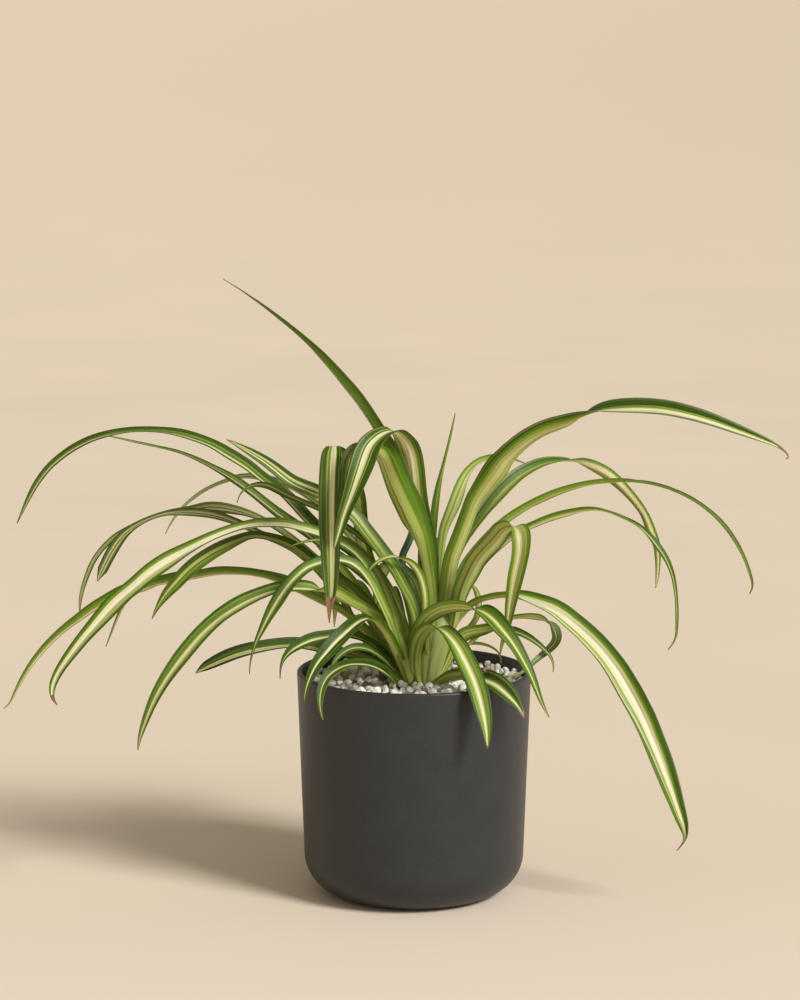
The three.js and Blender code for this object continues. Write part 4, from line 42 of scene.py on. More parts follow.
# ------------------------------------------------------------------ helpers
def srgb(r, g, b):
    out = []
    for v in (r, g, b):
        v = v / 255.0
        out.append(v / 12.92 if v <= 0.04045 else ((v + 0.055) / 1.055) ** 2.4)
    return (*out, 1.0)


def new_mesh(name, verts, faces, attrs=None, smooth=True):
    me = bpy.data.meshes.new(name)
    me.from_pydata([tuple(v) for v in verts], [], faces)
    me.validate()
    me.update()
    if attrs:
        for key, values in attrs.items():
            a = me.attributes.new(key, "FLOAT", "POINT")
            a.data.foreach_set("value", np.asarray(values, dtype=np.float32))
    if smooth:
        me.polygons.foreach_set("use_smooth", [True] * len(me.polygons))
    ob = bpy.data.objects.new(name, me)
    bpy.context.scene.collection.objects.link(ob)
    return ob


def revolve(profile, n):
    verts, faces, rings = [], [], []
    for r, z in profile:
        if r < 1e-9:
            rings.append((len(verts), True)); verts.append((0.0, 0.0, z))
        else:
            rings.append((len(verts), False))
            for k in range(n):
                a = 2 * math.pi * k / n
                verts.append((r * math.cos(a), r * math.sin(a), z))
    for (a, ap), (b, bp) in zip(rings[:-1], rings[1:]):
        for k in range(n):
            k2 = (k + 1) % n
            if ap:
                faces.append((a, b + k2, b + k))
            elif bp:
                faces.append((a + k, a + k2, b))
            else:
                faces.append((a + k, a + k2, b + k2, b + k))
    return verts, faces


class Nodes:
    """small builder for node materials"""
    def __init__(self, name):
        self.mat = bpy.data.materials.new(name)
        self.mat.use_nodes = True
        self.t = self.mat.node_tree
        self.t.nodes.clear()
        self.out = self.t.nodes.new("ShaderNodeOutputMaterial")
        self.bsdf = self.t.nodes.new("ShaderNodeBsdfPrincipled")
        self.link(self.bsdf.outputs[0], self.out.inputs[0])

    def link(self, a, b):
        self.t.links.new(a, b)

    def add(self, kind, **props):
        n = self.t.nodes.new(kind)
        for k, v in props.items():
            setattr(n, k, v)
        return n

    def put(self, socket, v):
        if isinstance(v, bpy.types.NodeSocket):
            self.link(v, socket)
        else:
            socket.default_value = v

    def math(self, op, a, b=None, c=None, clamp=False):
        n = self.add("ShaderNodeMath", operation=op)
        n.use_clamp = clamp
        self.put(n.inputs[0], a)
        if b is not None:
            self.put(n.inputs[1], b)
        if c is not None:
            self.put(n.inputs[2], c)
        return n.outputs[0]

    def mix(self, f, a, b, blend="MIX"):
        n = self.add("ShaderNodeMix", data_type="RGBA", blend_type=blend)
        self.put(n.inputs[0], f)
        self.put(n.inputs[6], a)
        self.put(n.inputs[7], b)
        return n.outputs[2]

    def attr(self, name):
        n = self.add("ShaderNodeAttribute", attribute_type="GEOMETRY", attribute_name=name)
        return n.outputs["Fac"]

    def vec(self, x, y, z):
        n = self.add("ShaderNodeCombineXYZ")
        self.put(n.inputs[0], x); self.put(n.inputs[1], y); self.put(n.inputs[2], z)
        return n.outputs[0]

    def noise(self, vec, scale=1.0, detail=2.0, rough=0.5, dist=0.0):
        n = self.add("ShaderNodeTexNoise")
        self.link(vec, n.inputs["Vector"])
        n.inputs["Scale"].default_value = scale
        n.inputs["Detail"].default_value = detail
        n.inputs["Roughness"].default_value = rough
        n.inputs["Distortion"].default_value = dist
        return n.outputs["Fac"]

    def ramp(self, f, stops, interp="LINEAR"):
        n = self.add("ShaderNodeValToRGB")
        r = n.color_ramp
        r.interpolation = interp
        while len(r.elements) > 1:
            r.elements.remove(r.elements[-1])
        r.elements[0].position = stops[0][0]
        r.elements[0].color = stops[0][1]
        for p, c in stops[1:]:
            e = r.elements.new(p)
            e.color = c
        self.put(n.inputs[0], f)
        return n.outputs[0]

    def remap(self, v, a, b, c=0.0, d=1.0, smooth=False):
        n = self.add("ShaderNodeMapRange")
        n.interpolation_type = "SMOOTHSTEP" if smooth else "LINEAR"
        n.clamp = True
        self.put(n.inputs[0], v)
        n.inputs[1].default_value = a; n.inputs[2].default_value = b
        n.inputs[3].default_value = c; n.inputs[4].default_value = d
        return n.outputs[0]

    def bump(self, height, strength, distance):
        n = self.add("ShaderNodeBump")
        n.inputs["Strength"].default_value = strength
        n.inputs["Distance"].default_value = distance
        self.link(height, n.inputs["Height"])
        self.link(n.outputs[0], self.bsdf.inputs["Normal"])
        return n


# ------------------------------------------------------------------ leaves
PAL = {
    "K": srgb(34, 48, 8),       # darkest green
    "D": srgb(56, 82, 10),      # dark green
    "M": srgb(84, 114, 18),     # mid green
    "G": srgb(114, 138, 40),    # fresh green
    "L": srgb(158, 171, 82),    # light yellow green
    "Y": srgb(194, 195, 122),   # pale yellow green
    "C": srgb(218, 211, 176),   # cream
    "W": srgb(232, 227, 206),   # whitish cream
    "O": srgb(166, 170, 98),    # olive beige
    "B": srgb(198, 190, 142),   # beige
    "S": srgb(104, 122, 84),    # grey green
    "T": srgb(78, 104, 84),     # blue green
    "R": srgb(140, 92, 60),     # brown
}


def stripe_stops(spec, soft=0.010):
    """'D30 L4 C32' from the -B edge to the +B edge -> colour ramp stops"""
    items = [(t[0], float(t[1:])) for t in spec.split()]
    total = sum(w for _, w in items)
    stops, x = [], 0.0
    for i, (c, w) in enumerate(items):
        a, b = x / total, (x + w) / total
        s = min(soft, (b - a) * 0.35)
        stops.append((a + (s if i else 0.0), PAL[c]))
        stops.append((b - (s if i < len(items) - 1 else 0.0), PAL[c]))
        x += w
    return stops[:32]


def leaf_material(name, up, down, base_len=100.0, pale=(184, 194, 104), rough=0.48, streaks=1.0, tight=0.62, dryc=((96, 62, 38), (142, 98, 66), (176, 140, 98)), low_spec="M5 G10 L9 Y4 L6 G6 L7 Y6 L9 G4 L7 Y4 L8 G10 M5"):
    m = Nodes(name)
    across, along, side, seed = m.attr("across"), m.attr("along"), m.attr("side"), m.attr("seed")
    brown, part = m.attr("brown"), m.attr("part")
    # the stripes wander a little along the blade and draw together towards the tip
    wander = m.noise(m.vec(m.math("MULTIPLY", across, 1.4), m.math("MULTIPLY", along, 0.016), seed), 1.0, 2.0)
    fine = m.noise(m.vec(m.math("MULTIPLY", across, 9.0), m.math("MULTIPLY", along, 0.007), m.math("ADD", seed, 3.7)), 1.0, 2.0, 0.55)
    narrow = m.remap(part, 0.6, 1.0, 0.5, tight, True)
    pos = m.math("MULTIPLY_ADD", across, narrow, 0.5)
    pos = m.math("ADD", pos, m.math("MULTIPLY_ADD", wander, 0.06, -0.03))
    pos = m.math("ADD", pos, m.math("MULTIPLY_ADD", fine, 0.085, -0.0425))
    top = m.ramp(pos, stripe_stops(up))
    low = m.ramp(pos, stripe_stops(down, 0.016))
    # The upper and under sides have their own stripe ramps. On top of that, the underside is painted about 12 %
    # lighter to stand in for light on undersides turned away from the sun, and the upper side is painted about 12 %
    # darker as painted shade against the direct sun on the tops.
    low = m.mix(1.0, low, (1.12, 1.10, 1.10, 1.0), "MULTIPLY")
    top = m.mix(1.0, top, (0.88, 0.89, 0.84, 1.0), "MULTIPLY")
    col = m.mix(m.remap(side, -0.2, 0.2), low, top)
    # thin pale and dark lines that follow the veins
    streak = m.noise(m.vec(m.math("MULTIPLY", across, 6.2), m.math("MULTIPLY", along, 0.0045), m.math("ADD", seed, 9.1)), 1.0, 3.0, 0.6)
    vein = m.noise(m.vec(m.math("MULTIPLY", across, 11.0), m.math("MULTIPLY", along, 0.004), m.math("ADD", seed, 5.3)), 1.0, 1.0, 0.5)
    col = m.mix(m.remap(streak, 0.56, 0.64, 0.0, 0.50 * streaks), col, m.mix(0.55, col, PAL["Y"]))
    col = m.mix(m.remap(streak, 0.44, 0.37, 0.0, 0.55 * streaks), col, m.mix(0.50, col, PAL["D"]))
    shade = m.remap(vein, 0.36, 0.62, 0.84, 1.13)
    col = m.mix(1.0, col, m.vec(shade, shade, shade), "MULTIPLY")
    # slow mottling
    mott = m.noise(m.vec(m.math("MULTIPLY", across, 1.3), m.math("MULTIPLY", along, 0.035), m.math("ADD", seed, 1.9)), 1.0, 3.0)
    mv = m.math("MULTIPLY_ADD", mott, 0.30, 0.86)
    col = m.mix(1.0, col, m.vec(mv, mv, m.math("MULTIPLY_ADD", mott, 0.22, 0.86)), "MULTIPLY")
    # pale sheath towards the crown
    sheath = m.ramp(pos, stripe_stops(low_spec))
    sheath = m.mix(m.remap(streak, 0.52, 0.40, 0.0, 0.55), sheath, m.mix(0.45, sheath, PAL["M"]))
    sheath = m.mix(m.remap(along, base_len * 0.6, base_len * 0.1, 0.0, 0.45, True), sheath, srgb(*pale))
    sheath = m.mix(1.0, sheath, m.vec(shade, shade, shade), "MULTIPLY")
    col = m.mix(m.remap(along, base_len * 1.15, base_len * 0.55, 0.0, 0.92, True), col, sheath)
    # dry tip
    edge = m.math("ADD", brown, m.math("MULTIPLY_ADD", m.noise(m.vec(m.math("MULTIPLY", across, 3.0), m.math("MULTIPLY", along, 0.25), seed), 1.0, 4.0, 0.6), 0.5, -0.25))
    dry = m.ramp(m.noise(m.vec(m.math("MULTIPLY", across, 5.0), m.math("MULTIPLY", along, 0.12), seed), 1.0, 4.0), [(0.3, srgb(*dryc[0])), (0.55, srgb(*dryc[1])), (0.8, srgb(*dryc[2]))])
    col = m.mix(m.remap(edge, 0.42, 0.58, 0.0, 0.95, True), col, dry)
    m.link(col, m.bsdf.inputs["Base Color"])
    m.link(m.math("MULTIPLY_ADD", mott, 0.16, rough - 0.08), m.bsdf.inputs["Roughness"])
    m.bsdf.inputs["Specular IOR Level"].default_value = 0.22
    m.bsdf.inputs["Subsurface Weight"].default_value = 0.5
    m.bsdf.inputs["Subsurface Radius"].default_value = (1.0, 1.0, 0.9)
    m.bsdf.inputs["Subsurface Scale"].default_value = 0.0016
    h = m.math("ADD", m.math("MULTIPLY", vein, 0.6), m.math("MULTIPLY", streak, 0.9))
    h = m.math("ADD", h, m.math("MULTIPLY", m.noise(m.vec(m.math("MULTIPLY", across, 20.0), m.math("MULTIPLY", along, 0.6), seed), 1.0, 2.0), 0.12))
    m.bump(h, 0.35, 0.0004)
    return m.mat


def catmull(t, x, q):
    """smooth interpolation of the rows x (n, d) at t (n,) to q"""
    n = len(t)
    d = np.zeros_like(x)
    h = np.diff(t)[:, None]
    s = np.diff(x, axis=0) / h
    d[0], d[-1] = s[0], s[-1]
    d[1:-1] = (s[:-1] * h[1:] + s[1:] * h[:-1]) / (h[1:] + h[:-1])
    i = np.clip(np.searchsorted(t, q, side="right") - 1, 0, n - 2)
    H = (t[i + 1] - t[i])[:, None]
    u = ((q - t[i])[:, None]) / H
    return ((2 * u**3 - 3 * u**2 + 1) * x[i] + (u**3 - 2 * u**2 + u) * H * d[i]
            + (-2 * u**3 + 3 * u**2) * x[i + 1] + (u**3 - u**2) * H * d[i + 1])


def leaf_mesh(name, rows, look, seed):
    A = np.array([[float(v) for v in r.split()] for r in rows.split(";")])
    P, B, W, AL = A[:, 0:3], A[:, 3:6], A[:, 6], np.radians(A[:, 7])
    t = np.r_[0, np.cumsum(np.linalg.norm(np.diff(P, axis=0), axis=1))]
    length = t[-1]
    n = max(24, int(length / 1.6))
    q = np.linspace(0, length, n)
    P = catmull(t, P, q); B = catmull(t, B, q)
    W = np.maximum(0.35, np.interp(q, t, W)); AL = np.interp(q, t, AL)
    if "pinch" in look:
        depth, reach = look["pinch"]
        W = W * (1 - depth * np.exp(-((q - q[P[:, 2].argmax()]) / reach) ** 2))
    T = np.gradient(P, axis=0); T /= np.linalg.norm(T, axis=1)[:, None]
    B = B - T * (B * T).sum(1)[:, None]; B /= np.linalg.norm(B, axis=1)[:, None]
    N = np.cross(T, B)
    M = 21
    v = np.linspace(-1, 1, M); v = np.sign(v) * np.abs(v) ** 0.92
    r = np.random.default_rng(seed)
    ph = r.uniform(0, 6.28, 8)
    lam = r.uniform(38, 80, 4)
    eps = look.get("keel", 0.07)
    verts, across, along, side, brown = [], [], [], [], []
    nb = look.get("brown", 1.6)
    for j, (sgn) in ((0, 1.0), (1, -1.0)):
        pass
    mid = np.zeros((n, M, 3)); nor = np.zeros((n, M, 3))
    soft = np.clip(q / 30.0, 0, 1) * np.clip((length - q) / 12.0, 0, 1)
    wave = look.get("wave", 1.0)
    for i in range(n):
        h = W[i] / 2
        f = (np.sqrt(v * v + eps * eps) - eps) / (math.sqrt(1 + eps * eps) - eps)
        x = np.cos(AL[i]) * v
        z = np.sin(AL[i]) * f
        # wings bow slightly, then the rims turn down
        z = z + look.get("bow", 0.05) * (np.abs(v) - v * v) * 1.5
        z = z - look.get("rim", 0.10) * np.clip(np.abs(v) - 0.78, 0, 1) ** 1.5
        # pleats along the veins
        z = z + look.get("pleat", 0.011) * np.cos(v * 3.14159 * 5 + 0.8 * math.sin(q[i] / 57 + ph[0])) * (1 - v * v)
        wl = 0.030 * wave * soft[i] * (math.sin(q[i] / lam[0] * 6.28 + ph[1]) + 0.5 * math.sin(q[i] / lam[1] * 12.9 + ph[2]))
        wr = 0.030 * wave * soft[i] * (math.sin(q[i] / lam[2] * 6.28 + ph[3]) + 0.5 * math.sin(q[i] / lam[3] * 12.1 + ph[4]))
        z = z + np.where(v < 0, wl, wr) * v * v
        mid[i] = P[i] + h * (x[:, None] * B[i] + z[:, None] * N[i])
        dx = np.gradient(x); dz = np.gradient(z)
        dl = np.hypot(dx, dz)
        nor[i] = (-dz / dl)[:, None] * B[i] + (dx / dl)[:, None] * N[i]
    th = (0.30 + 0.26 * (1 - np.abs(v) ** 1.5))[None, :, None] * np.clip(W / 6.0, 0.45, 1.0)[:, None, None] * (1 + 0.9 * np.clip(1 - q / 45.0, 0, 1))[:, None, None]
    up = mid + nor * th / 2
    dn = mid - nor * th / 2
    V = np.concatenate([up.reshape(-1, 3), dn.reshape(-1, 3)]) * MM
    K = n * M
    tipn = np.clip((q - (length - nb)) / max(nb * 0.5, 0.8) , -3, 1.5)[:, None] + np.zeros((1, M))
    base = dict(across=np.tile(v, n), along=np.repeat(q, M), brown=tipn.reshape(-1))
    attrs = {k: np.r_[a, a] for k, a in base.items()}
    attrs["side"] = np.r_[np.ones(K), -np.ones(K)]
    attrs["seed"] = np.full(2 * K, (seed % 97) * 1.37)
    attrs["part"] = attrs["along"] / length
    faces = []
    for i in range(n - 1):
        a = i * M
        for j in range(M - 1):
            faces.append((a + j, a + M + j, a + M + j + 1, a + j + 1))
            faces.append((K + a + j, K + a + j + 1, K + a + M + j + 1, K + a + M + j))
        faces.append((a, K + a, K + a + M, a + M))
        b = a + M - 1
        faces.append((b, b + M, K + b + M, K + b))
    faces.append(tuple(range(0, M)) + tuple(K + j for j in range(M - 1, -1, -1)))
    e = (n - 1) * M
    faces.append(tuple(e + j for j in range(M - 1, -1, -1)) + tuple(K + e + j for j in range(M)))
    # orientation: flip all if the body is inside out
    vol = 0.0
    for f in faces[:]:
        p0 = V[f[0]]
        for k in range(1, len(f) - 1):
            vol += float(np.dot(p0, np.cross(V[f[k]], V[f[k + 1]])))
    if vol < 0:
        faces = [tuple(reversed(f)) for f in faces]
    return new_mesh(name, V, faces, attrs)


# [keel x, y, z, width direction x, y, z, width, fold] at each station, millimetres and degrees
LEAVES = {
    'leaf_tall_left': ('tall_left',
        '10.13 -2 142.18 0.951 -0.309 0.013 8.65 46; 9.98 -2.36 144.06 0.95 -0.311 0.017 9.01 46; 9.5 -3.56 148.06 0.949 -0.314 0.019 9.74 46; 9.25 -4.2 150.09 0.95 -0.312 0.015 10.1 46; 9.06 -4.71 152.07 0.952 -0.307 0.005 10.46 46; 8.97 -5 153.95 0.953 -0.304 -0.008 10.82 46; 8.87 -5.62 161.94 0.963 -0.268 -0.005 11.16 43.5; 8.72 -6.05 169.88 0.966 -0.259 0.014 11.51 41; 8.53 -6.23 177.78 0.966 -0.26 0.018 11.78 38.5; 8.31 -6.52 185.72 0.966 -0.26 0.016 11.98 36; 8.04 -7.03 193.68 0.965 -0.26 0.017 12.22 34.7; 7.73 -7.7 199.68 0.965 -0.261 0.026 12.41 33.8; 7.21 -8.7 205.67 0.963 -0.263 0.06 12.61 32.8; 6.36 -9.96 211.61 0.96 -0.26 0.105 12.82 31.8; 5.21 -11.3 217.49 0.957 -0.242 0.158 13.04 30.8; 3.74 -12.63 223.29 0.95 -0.229 0.213 13.23 29.9; 2 -14.06 228.95 0.94 -0.231 0.252 13.25 28.9; 0.01 -15.68 234.45 0.93 -0.23 0.286 13.16 27.9; -2.95 -17.96 241.64 0.917 -0.208 0.341 13 26.6; -5.4 -19.59 246.94 0.91 -0.2 0.363 12.9 25.9; -7 -20.69 250.47 0.923 -0.198 0.331 12.83 25.7; -8.42 -21.87 254.06 0.94 -0.202 0.274 12.74 25.5; -9.67 -23.22 257.67 0.948 -0.221 0.228 12.63 25.3; -10.88 -24.85 261.26 0.946 -0.251 0.206 12.55 25.1; -12.87 -27.64 266.48 0.923 -0.319 0.214 12.5 24.8; -14.41 -29.49 269.84 0.889 -0.394 0.234 12.5 24.6; -16.17 -31.1 273.11 0.827 -0.502 0.253 12.5 24.4; -17.12 -31.75 274.74 0.787 -0.56 0.257 12.5 24.3; -18.08 -32.29 276.38 0.745 -0.614 0.259 12.49 24.2; -19.05 -32.7 278.04 0.699 -0.663 0.267 12.49 24.1; -19.99 -32.95 279.72 0.65 -0.703 0.29 12.48 24; -20.93 -33.04 281.43 0.604 -0.731 0.317 12.46 23.9; -21.87 -33.01 283.14 0.563 -0.751 0.346 12.44 23.8; -23.84 -32.67 286.55 0.491 -0.767 0.414 12.37 23.6; -25.96 -32.03 289.88 0.445 -0.765 0.465 12.27 23.4; -30.37 -30.31 296.38 0.41 -0.757 0.509 11.99 23; -33.82 -28.83 301.1 0.383 -0.747 0.544 11.71 22.7; -37.46 -27.21 305.63 0.348 -0.741 0.575 11.39 22.4; -42.5 -24.9 311.43 0.3 -0.754 0.585 10.88 22; -47.61 -22.37 317.07 0.26 -0.759 0.597 10.3 21.6; -52.76 -19.72 322.6 0.228 -0.78 0.582 9.65 21.2; -58.12 -17.34 328.06 0.216 -0.812 0.543 8.93 20.8; -63.73 -15.29 333.4 0.169 -0.841 0.515 8.14 20.4; -68.07 -13.66 337.23 0.104 -0.85 0.516 7.51 20.1; -73.99 -11.21 342.04 0.04 -0.857 0.513 6.61 19.4; -80.03 -8.74 346.69 0.044 -0.866 0.498 5.65 18.5; -86.17 -6.52 351.34 0.065 -0.874 0.482 4.63 17.6; -92.46 -4.57 355.89 0.08 -0.878 0.471 3.55 16.7; -98.91 -2.86 360.33 0.101 -0.878 0.468 2.42 15.8; -105.49 -1.35 364.66 0.127 -0.862 0.49 1.31 14.9; -112.24 0 368.77 0.133 -0.854 0.503 0.7 14'),
    'leaf_arch_front': ('arch_front',
        '10.07 -2 141.83 0.952 -0.301 0.055 8.64 46; 10 -1.83 143.99 0.952 -0.298 0.068 9.07 46; 9.9 -1.55 146.31 0.952 -0.296 0.082 9.51 46; 9.78 -1.27 148.68 0.952 -0.297 0.077 9.94 46; 9.67 -1.05 151 0.952 -0.302 0.051 10.37 46; 9.62 -1 153.16 0.952 -0.304 0.017 10.8 46; 9.55 -1.18 159.14 0.961 -0.276 0.004 10.98 43.9; 9.41 -1.36 167.09 0.965 -0.26 0.021 11.29 41.1; 9.16 -1.27 174.97 0.962 -0.269 0.041 11.61 38.4; 8.81 -1.15 182.82 0.95 -0.308 0.05 12.06 35.8; 8.36 -1.28 190.68 0.935 -0.351 0.045 12.82 34.3; 7.8 -1.83 198.6 0.913 -0.405 0.034 13.73 32.9; 7.28 -2.47 204.57 0.9 -0.435 0.036 14.35 31.8; 6.59 -3.28 210.55 0.894 -0.445 0.058 14.87 30.7; 5.93 -3.93 214.49 0.889 -0.449 0.094 15.13 30; 5.05 -4.67 218.38 0.881 -0.454 0.134 15.32 29.3; 4.01 -5.47 222.21 0.879 -0.455 0.141 15.43 28.5; 2.55 -6.75 227.94 0.888 -0.448 0.104 15.49 27.4; 0.98 -8.58 235.57 0.899 -0.435 0.048 15.5 26; 0.14 -10.09 241.28 0.908 -0.42 -0.006 15.5 25.7; -0.46 -11.81 246.94 0.915 -0.401 -0.047 15.5 25.3; -0.81 -13.15 250.66 0.924 -0.378 -0.062 15.5 25.1; -1.15 -14.7 254.29 0.938 -0.339 -0.066 15.5 24.9; -1.5 -16.45 257.81 0.955 -0.291 -0.054 15.5 24.7; -1.89 -18.39 261.17 0.968 -0.25 -0.03 15.5 24.4; -2.36 -20.51 264.34 0.975 -0.222 0.003 15.49 24.2; -2.92 -22.83 267.31 0.977 -0.208 0.039 15.47 24; -3.26 -24.08 268.71 0.977 -0.207 0.056 15.44 23.9; -3.62 -25.39 270.06 0.975 -0.213 0.066 15.41 23.8; -4.03 -26.77 271.35 0.972 -0.226 0.068 15.37 23.7; -4.46 -28.22 272.61 0.968 -0.244 0.059 15.31 23.6; -5.42 -31.36 274.98 0.958 -0.286 0.014 15.16 23.3; -6.49 -34.77 277.18 0.945 -0.325 -0.047 14.97 23.1; -7.62 -38.37 279.23 0.929 -0.353 -0.106 14.74 22.9; -8.82 -42.07 281.11 0.917 -0.371 -0.147 14.47 22.7; -10.07 -45.81 282.79 0.91 -0.384 -0.157 14.17 22.4; -10.74 -47.67 283.53 0.908 -0.392 -0.148 14.01 22.3; -11.45 -49.52 284.16 0.904 -0.406 -0.133 13.84 22.2; -12.23 -51.37 284.65 0.898 -0.425 -0.115 13.66 22.1; -13.09 -53.2 285 0.885 -0.453 -0.103 13.48 22; -14.03 -54.99 285.19 0.867 -0.488 -0.103 13.29 21.9; -15.05 -56.74 285.24 0.843 -0.524 -0.12 13.1 21.8; -16.17 -58.43 285.13 0.815 -0.557 -0.156 12.93 21.7; -17.37 -60.03 284.86 0.788 -0.579 -0.21 12.79 21.6; -18.65 -61.54 284.41 0.765 -0.582 -0.276 12.72 21.4; -19.98 -62.94 283.76 0.752 -0.562 -0.343 12.76 21.3; -21.34 -64.23 282.93 0.755 -0.52 -0.4 12.93 21.2; -22.67 -65.43 281.92 0.775 -0.459 -0.434 13.24 21.1; -23.94 -66.57 280.75 0.811 -0.39 -0.437 13.65 21; -25.09 -67.68 279.43 0.855 -0.32 -0.408 14.12 20.9; -26.1 -68.78 277.98 0.896 -0.26 -0.36 14.56 20.8; -26.95 -69.9 276.42 0.927 -0.214 -0.307 14.93 20.7; -27.67 -71.03 274.79 0.946 -0.187 -0.265 15.2 20.6; -28.32 -72.17 273.12 0.955 -0.177 -0.238 15.33 20.4; -29.53 -74.41 269.76 0.956 -0.193 -0.219 15.23 20.2; -30.75 -76.45 266.38 0.948 -0.235 -0.215 14.68 20; -31.37 -77.33 264.68 0.941 -0.258 -0.22 14.28 19.8; -32 -78.09 262.95 0.933 -0.278 -0.23 13.83 19.5; -32.65 -78.74 261.2 0.925 -0.293 -0.242 13.34 19.3; -33.96 -79.75 257.65 0.913 -0.309 -0.266 12.29 18.8; -36.69 -81.16 250.47 0.898 -0.328 -0.294 10.16 17.8; -38.83 -82.22 245.11 0.9 -0.339 -0.274 8.71 17; -40.72 -83.42 239.64 0.931 -0.288 -0.223 7.49 16.2; -42.35 -84.61 234.04 0.951 -0.2 -0.235 6.24 15.5; -43.45 -85.27 230.27 0.95 -0.175 -0.257 5.04 15; -44.6 -85.73 226.48 0.941 -0.201 -0.272 3.49 14.5; -45.8 -86.02 222.68 0.928 -0.251 -0.276 0.7 14'),
    'leaf_hang_front': ('hang_front',
        '-5.17 0.67 125.3 0.817 -0.473 0.329 6.47 46; -5.72 1.07 127.27 0.796 -0.455 0.4 6.74 46; -6.57 1.69 129.26 0.761 -0.425 0.491 7.01 46; -7.55 2.42 131.27 0.75 -0.417 0.514 7.28 46; -8.53 3.12 133.29 0.764 -0.432 0.479 7.55 46; -9.36 3.69 135.29 0.802 -0.466 0.373 7.82 46; -9.88 4 137.27 0.839 -0.492 0.233 8.08 46; -10.18 4.15 139.24 0.85 -0.498 0.172 8.1 45.4; -11.56 4.66 147.08 0.846 -0.497 0.191 8.3 43; -13.24 4.95 154.87 0.842 -0.497 0.211 8.68 40.6; -15.2 5.07 162.57 0.835 -0.497 0.235 9.22 38.2; -17.51 5.09 170.11 0.823 -0.496 0.276 9.86 35.9; -19.48 5.1 175.64 0.817 -0.485 0.313 10.38 35; -21.7 5.08 181.02 0.814 -0.465 0.348 10.91 34; -23.28 4.94 184.55 0.819 -0.463 0.338 11.25 33.4; -24.85 4.61 188.11 0.831 -0.475 0.29 11.58 32.8; -26.31 3.98 191.74 0.844 -0.493 0.213 11.88 32.1; -27.64 3.02 195.46 0.848 -0.511 0.137 12.17 31.5; -29.44 1.09 201.16 0.838 -0.543 0.046 12.52 30.6; -30.96 -1.05 206.91 0.815 -0.579 -0.021 12.79 29.6; -32.13 -3.07 212.65 0.789 -0.611 -0.066 12.94 28.7; -32.95 -4.84 218.34 0.771 -0.63 -0.097 12.99 27.8; -33.58 -7.03 225.87 0.762 -0.63 -0.148 13 26.5; -33.87 -8.97 231.45 0.749 -0.626 -0.216 13 25.9; -34.04 -10.58 235.1 0.746 -0.614 -0.257 13 25.7; -34.3 -12.48 238.67 0.761 -0.592 -0.265 13 25.5; -34.78 -14.63 242.12 0.79 -0.565 -0.238 13 25.3; -35.48 -16.98 245.43 0.823 -0.533 -0.195 13 25.1; -36.41 -19.48 248.55 0.851 -0.507 -0.139 13 24.9; -38.11 -23.38 252.94 0.882 -0.467 -0.061 13 24.6; -40.5 -28.71 258.48 0.921 -0.389 0.01 13 24.2; -42.18 -32.85 262.48 0.951 -0.306 0.045 12.97 23.6; -43.58 -37.22 266.3 0.974 -0.218 0.066 12.89 22.1; -44.36 -40.29 268.67 0.982 -0.174 0.073 12.8 20.1; -45.03 -43.46 270.87 0.986 -0.153 0.063 12.68 16.9; -45.88 -48.2 273.88 0.989 -0.144 0.029 12.46 10.4; -46.34 -51.21 275.66 0.991 -0.131 0.025 12.28 6.3; -46.55 -52.66 276.36 0.992 -0.123 0.032 12.19 4.7; -46.73 -54.08 276.81 0.992 -0.117 0.044 12.1 3.7; -46.9 -55.45 276.92 0.991 -0.117 0.061 12.03 3.4; -47.04 -56.74 276.67 0.989 -0.128 0.077 11.98 3.7; -47.16 -57.94 276.1 0.985 -0.147 0.089 11.98 4.6; -47.26 -59.03 275.29 0.981 -0.169 0.09 12.03 6.1; -47.35 -60.01 274.29 0.978 -0.191 0.08 12.14 8; -47.44 -60.89 273.1 0.976 -0.209 0.057 12.3 10; -47.55 -61.63 271.74 0.975 -0.221 0.029 12.49 12.1; -47.66 -62.24 270.18 0.974 -0.226 0.003 12.7 14; -47.78 -62.7 268.46 0.974 -0.225 -0.014 12.89 15.8; -47.9 -63.04 266.62 0.975 -0.221 -0.021 13.07 17.3; -48.17 -63.81 260.75 0.977 -0.212 -0.004 13.4 19.9; -48.32 -64.86 254.83 0.977 -0.211 0.027 13.51 20.7; -48.36 -66.58 246.99 0.97 -0.238 0.055 13.44 20.7; -48.32 -68.23 239.15 0.964 -0.257 0.064 13.29 20.3; -48.23 -69.63 233.3 0.969 -0.232 0.084 13.21 20; -48.05 -71.38 227.52 0.975 -0.198 0.104 13.02 19.4; -47.84 -73.39 221.79 0.978 -0.189 0.093 12.58 18.7; -47.77 -75.32 216.06 0.979 -0.194 0.062 11.82 18.1; -47.78 -76.9 210.28 0.979 -0.199 0.046 10.77 17.5; -47.77 -78.01 204.42 0.983 -0.183 0.028 9.5 16.8; -47.78 -78.49 200.47 0.986 -0.169 0.005 8.47 16.4; -47.88 -78.78 196.51 0.981 -0.193 -0.032 7.17 15.9; -48.13 -78.93 192.54 0.959 -0.274 -0.072 5.62 15.5; -48.46 -78.98 188.58 0.926 -0.374 -0.061 4.05 15.1; -48.65 -79 184.59 0.888 -0.46 -0.02 2.67 14.6; -48.65 -79 178.61 0.841 -0.541 0.008 0.7 14'),
    'leaf_arch_mid': ('arch_mid',
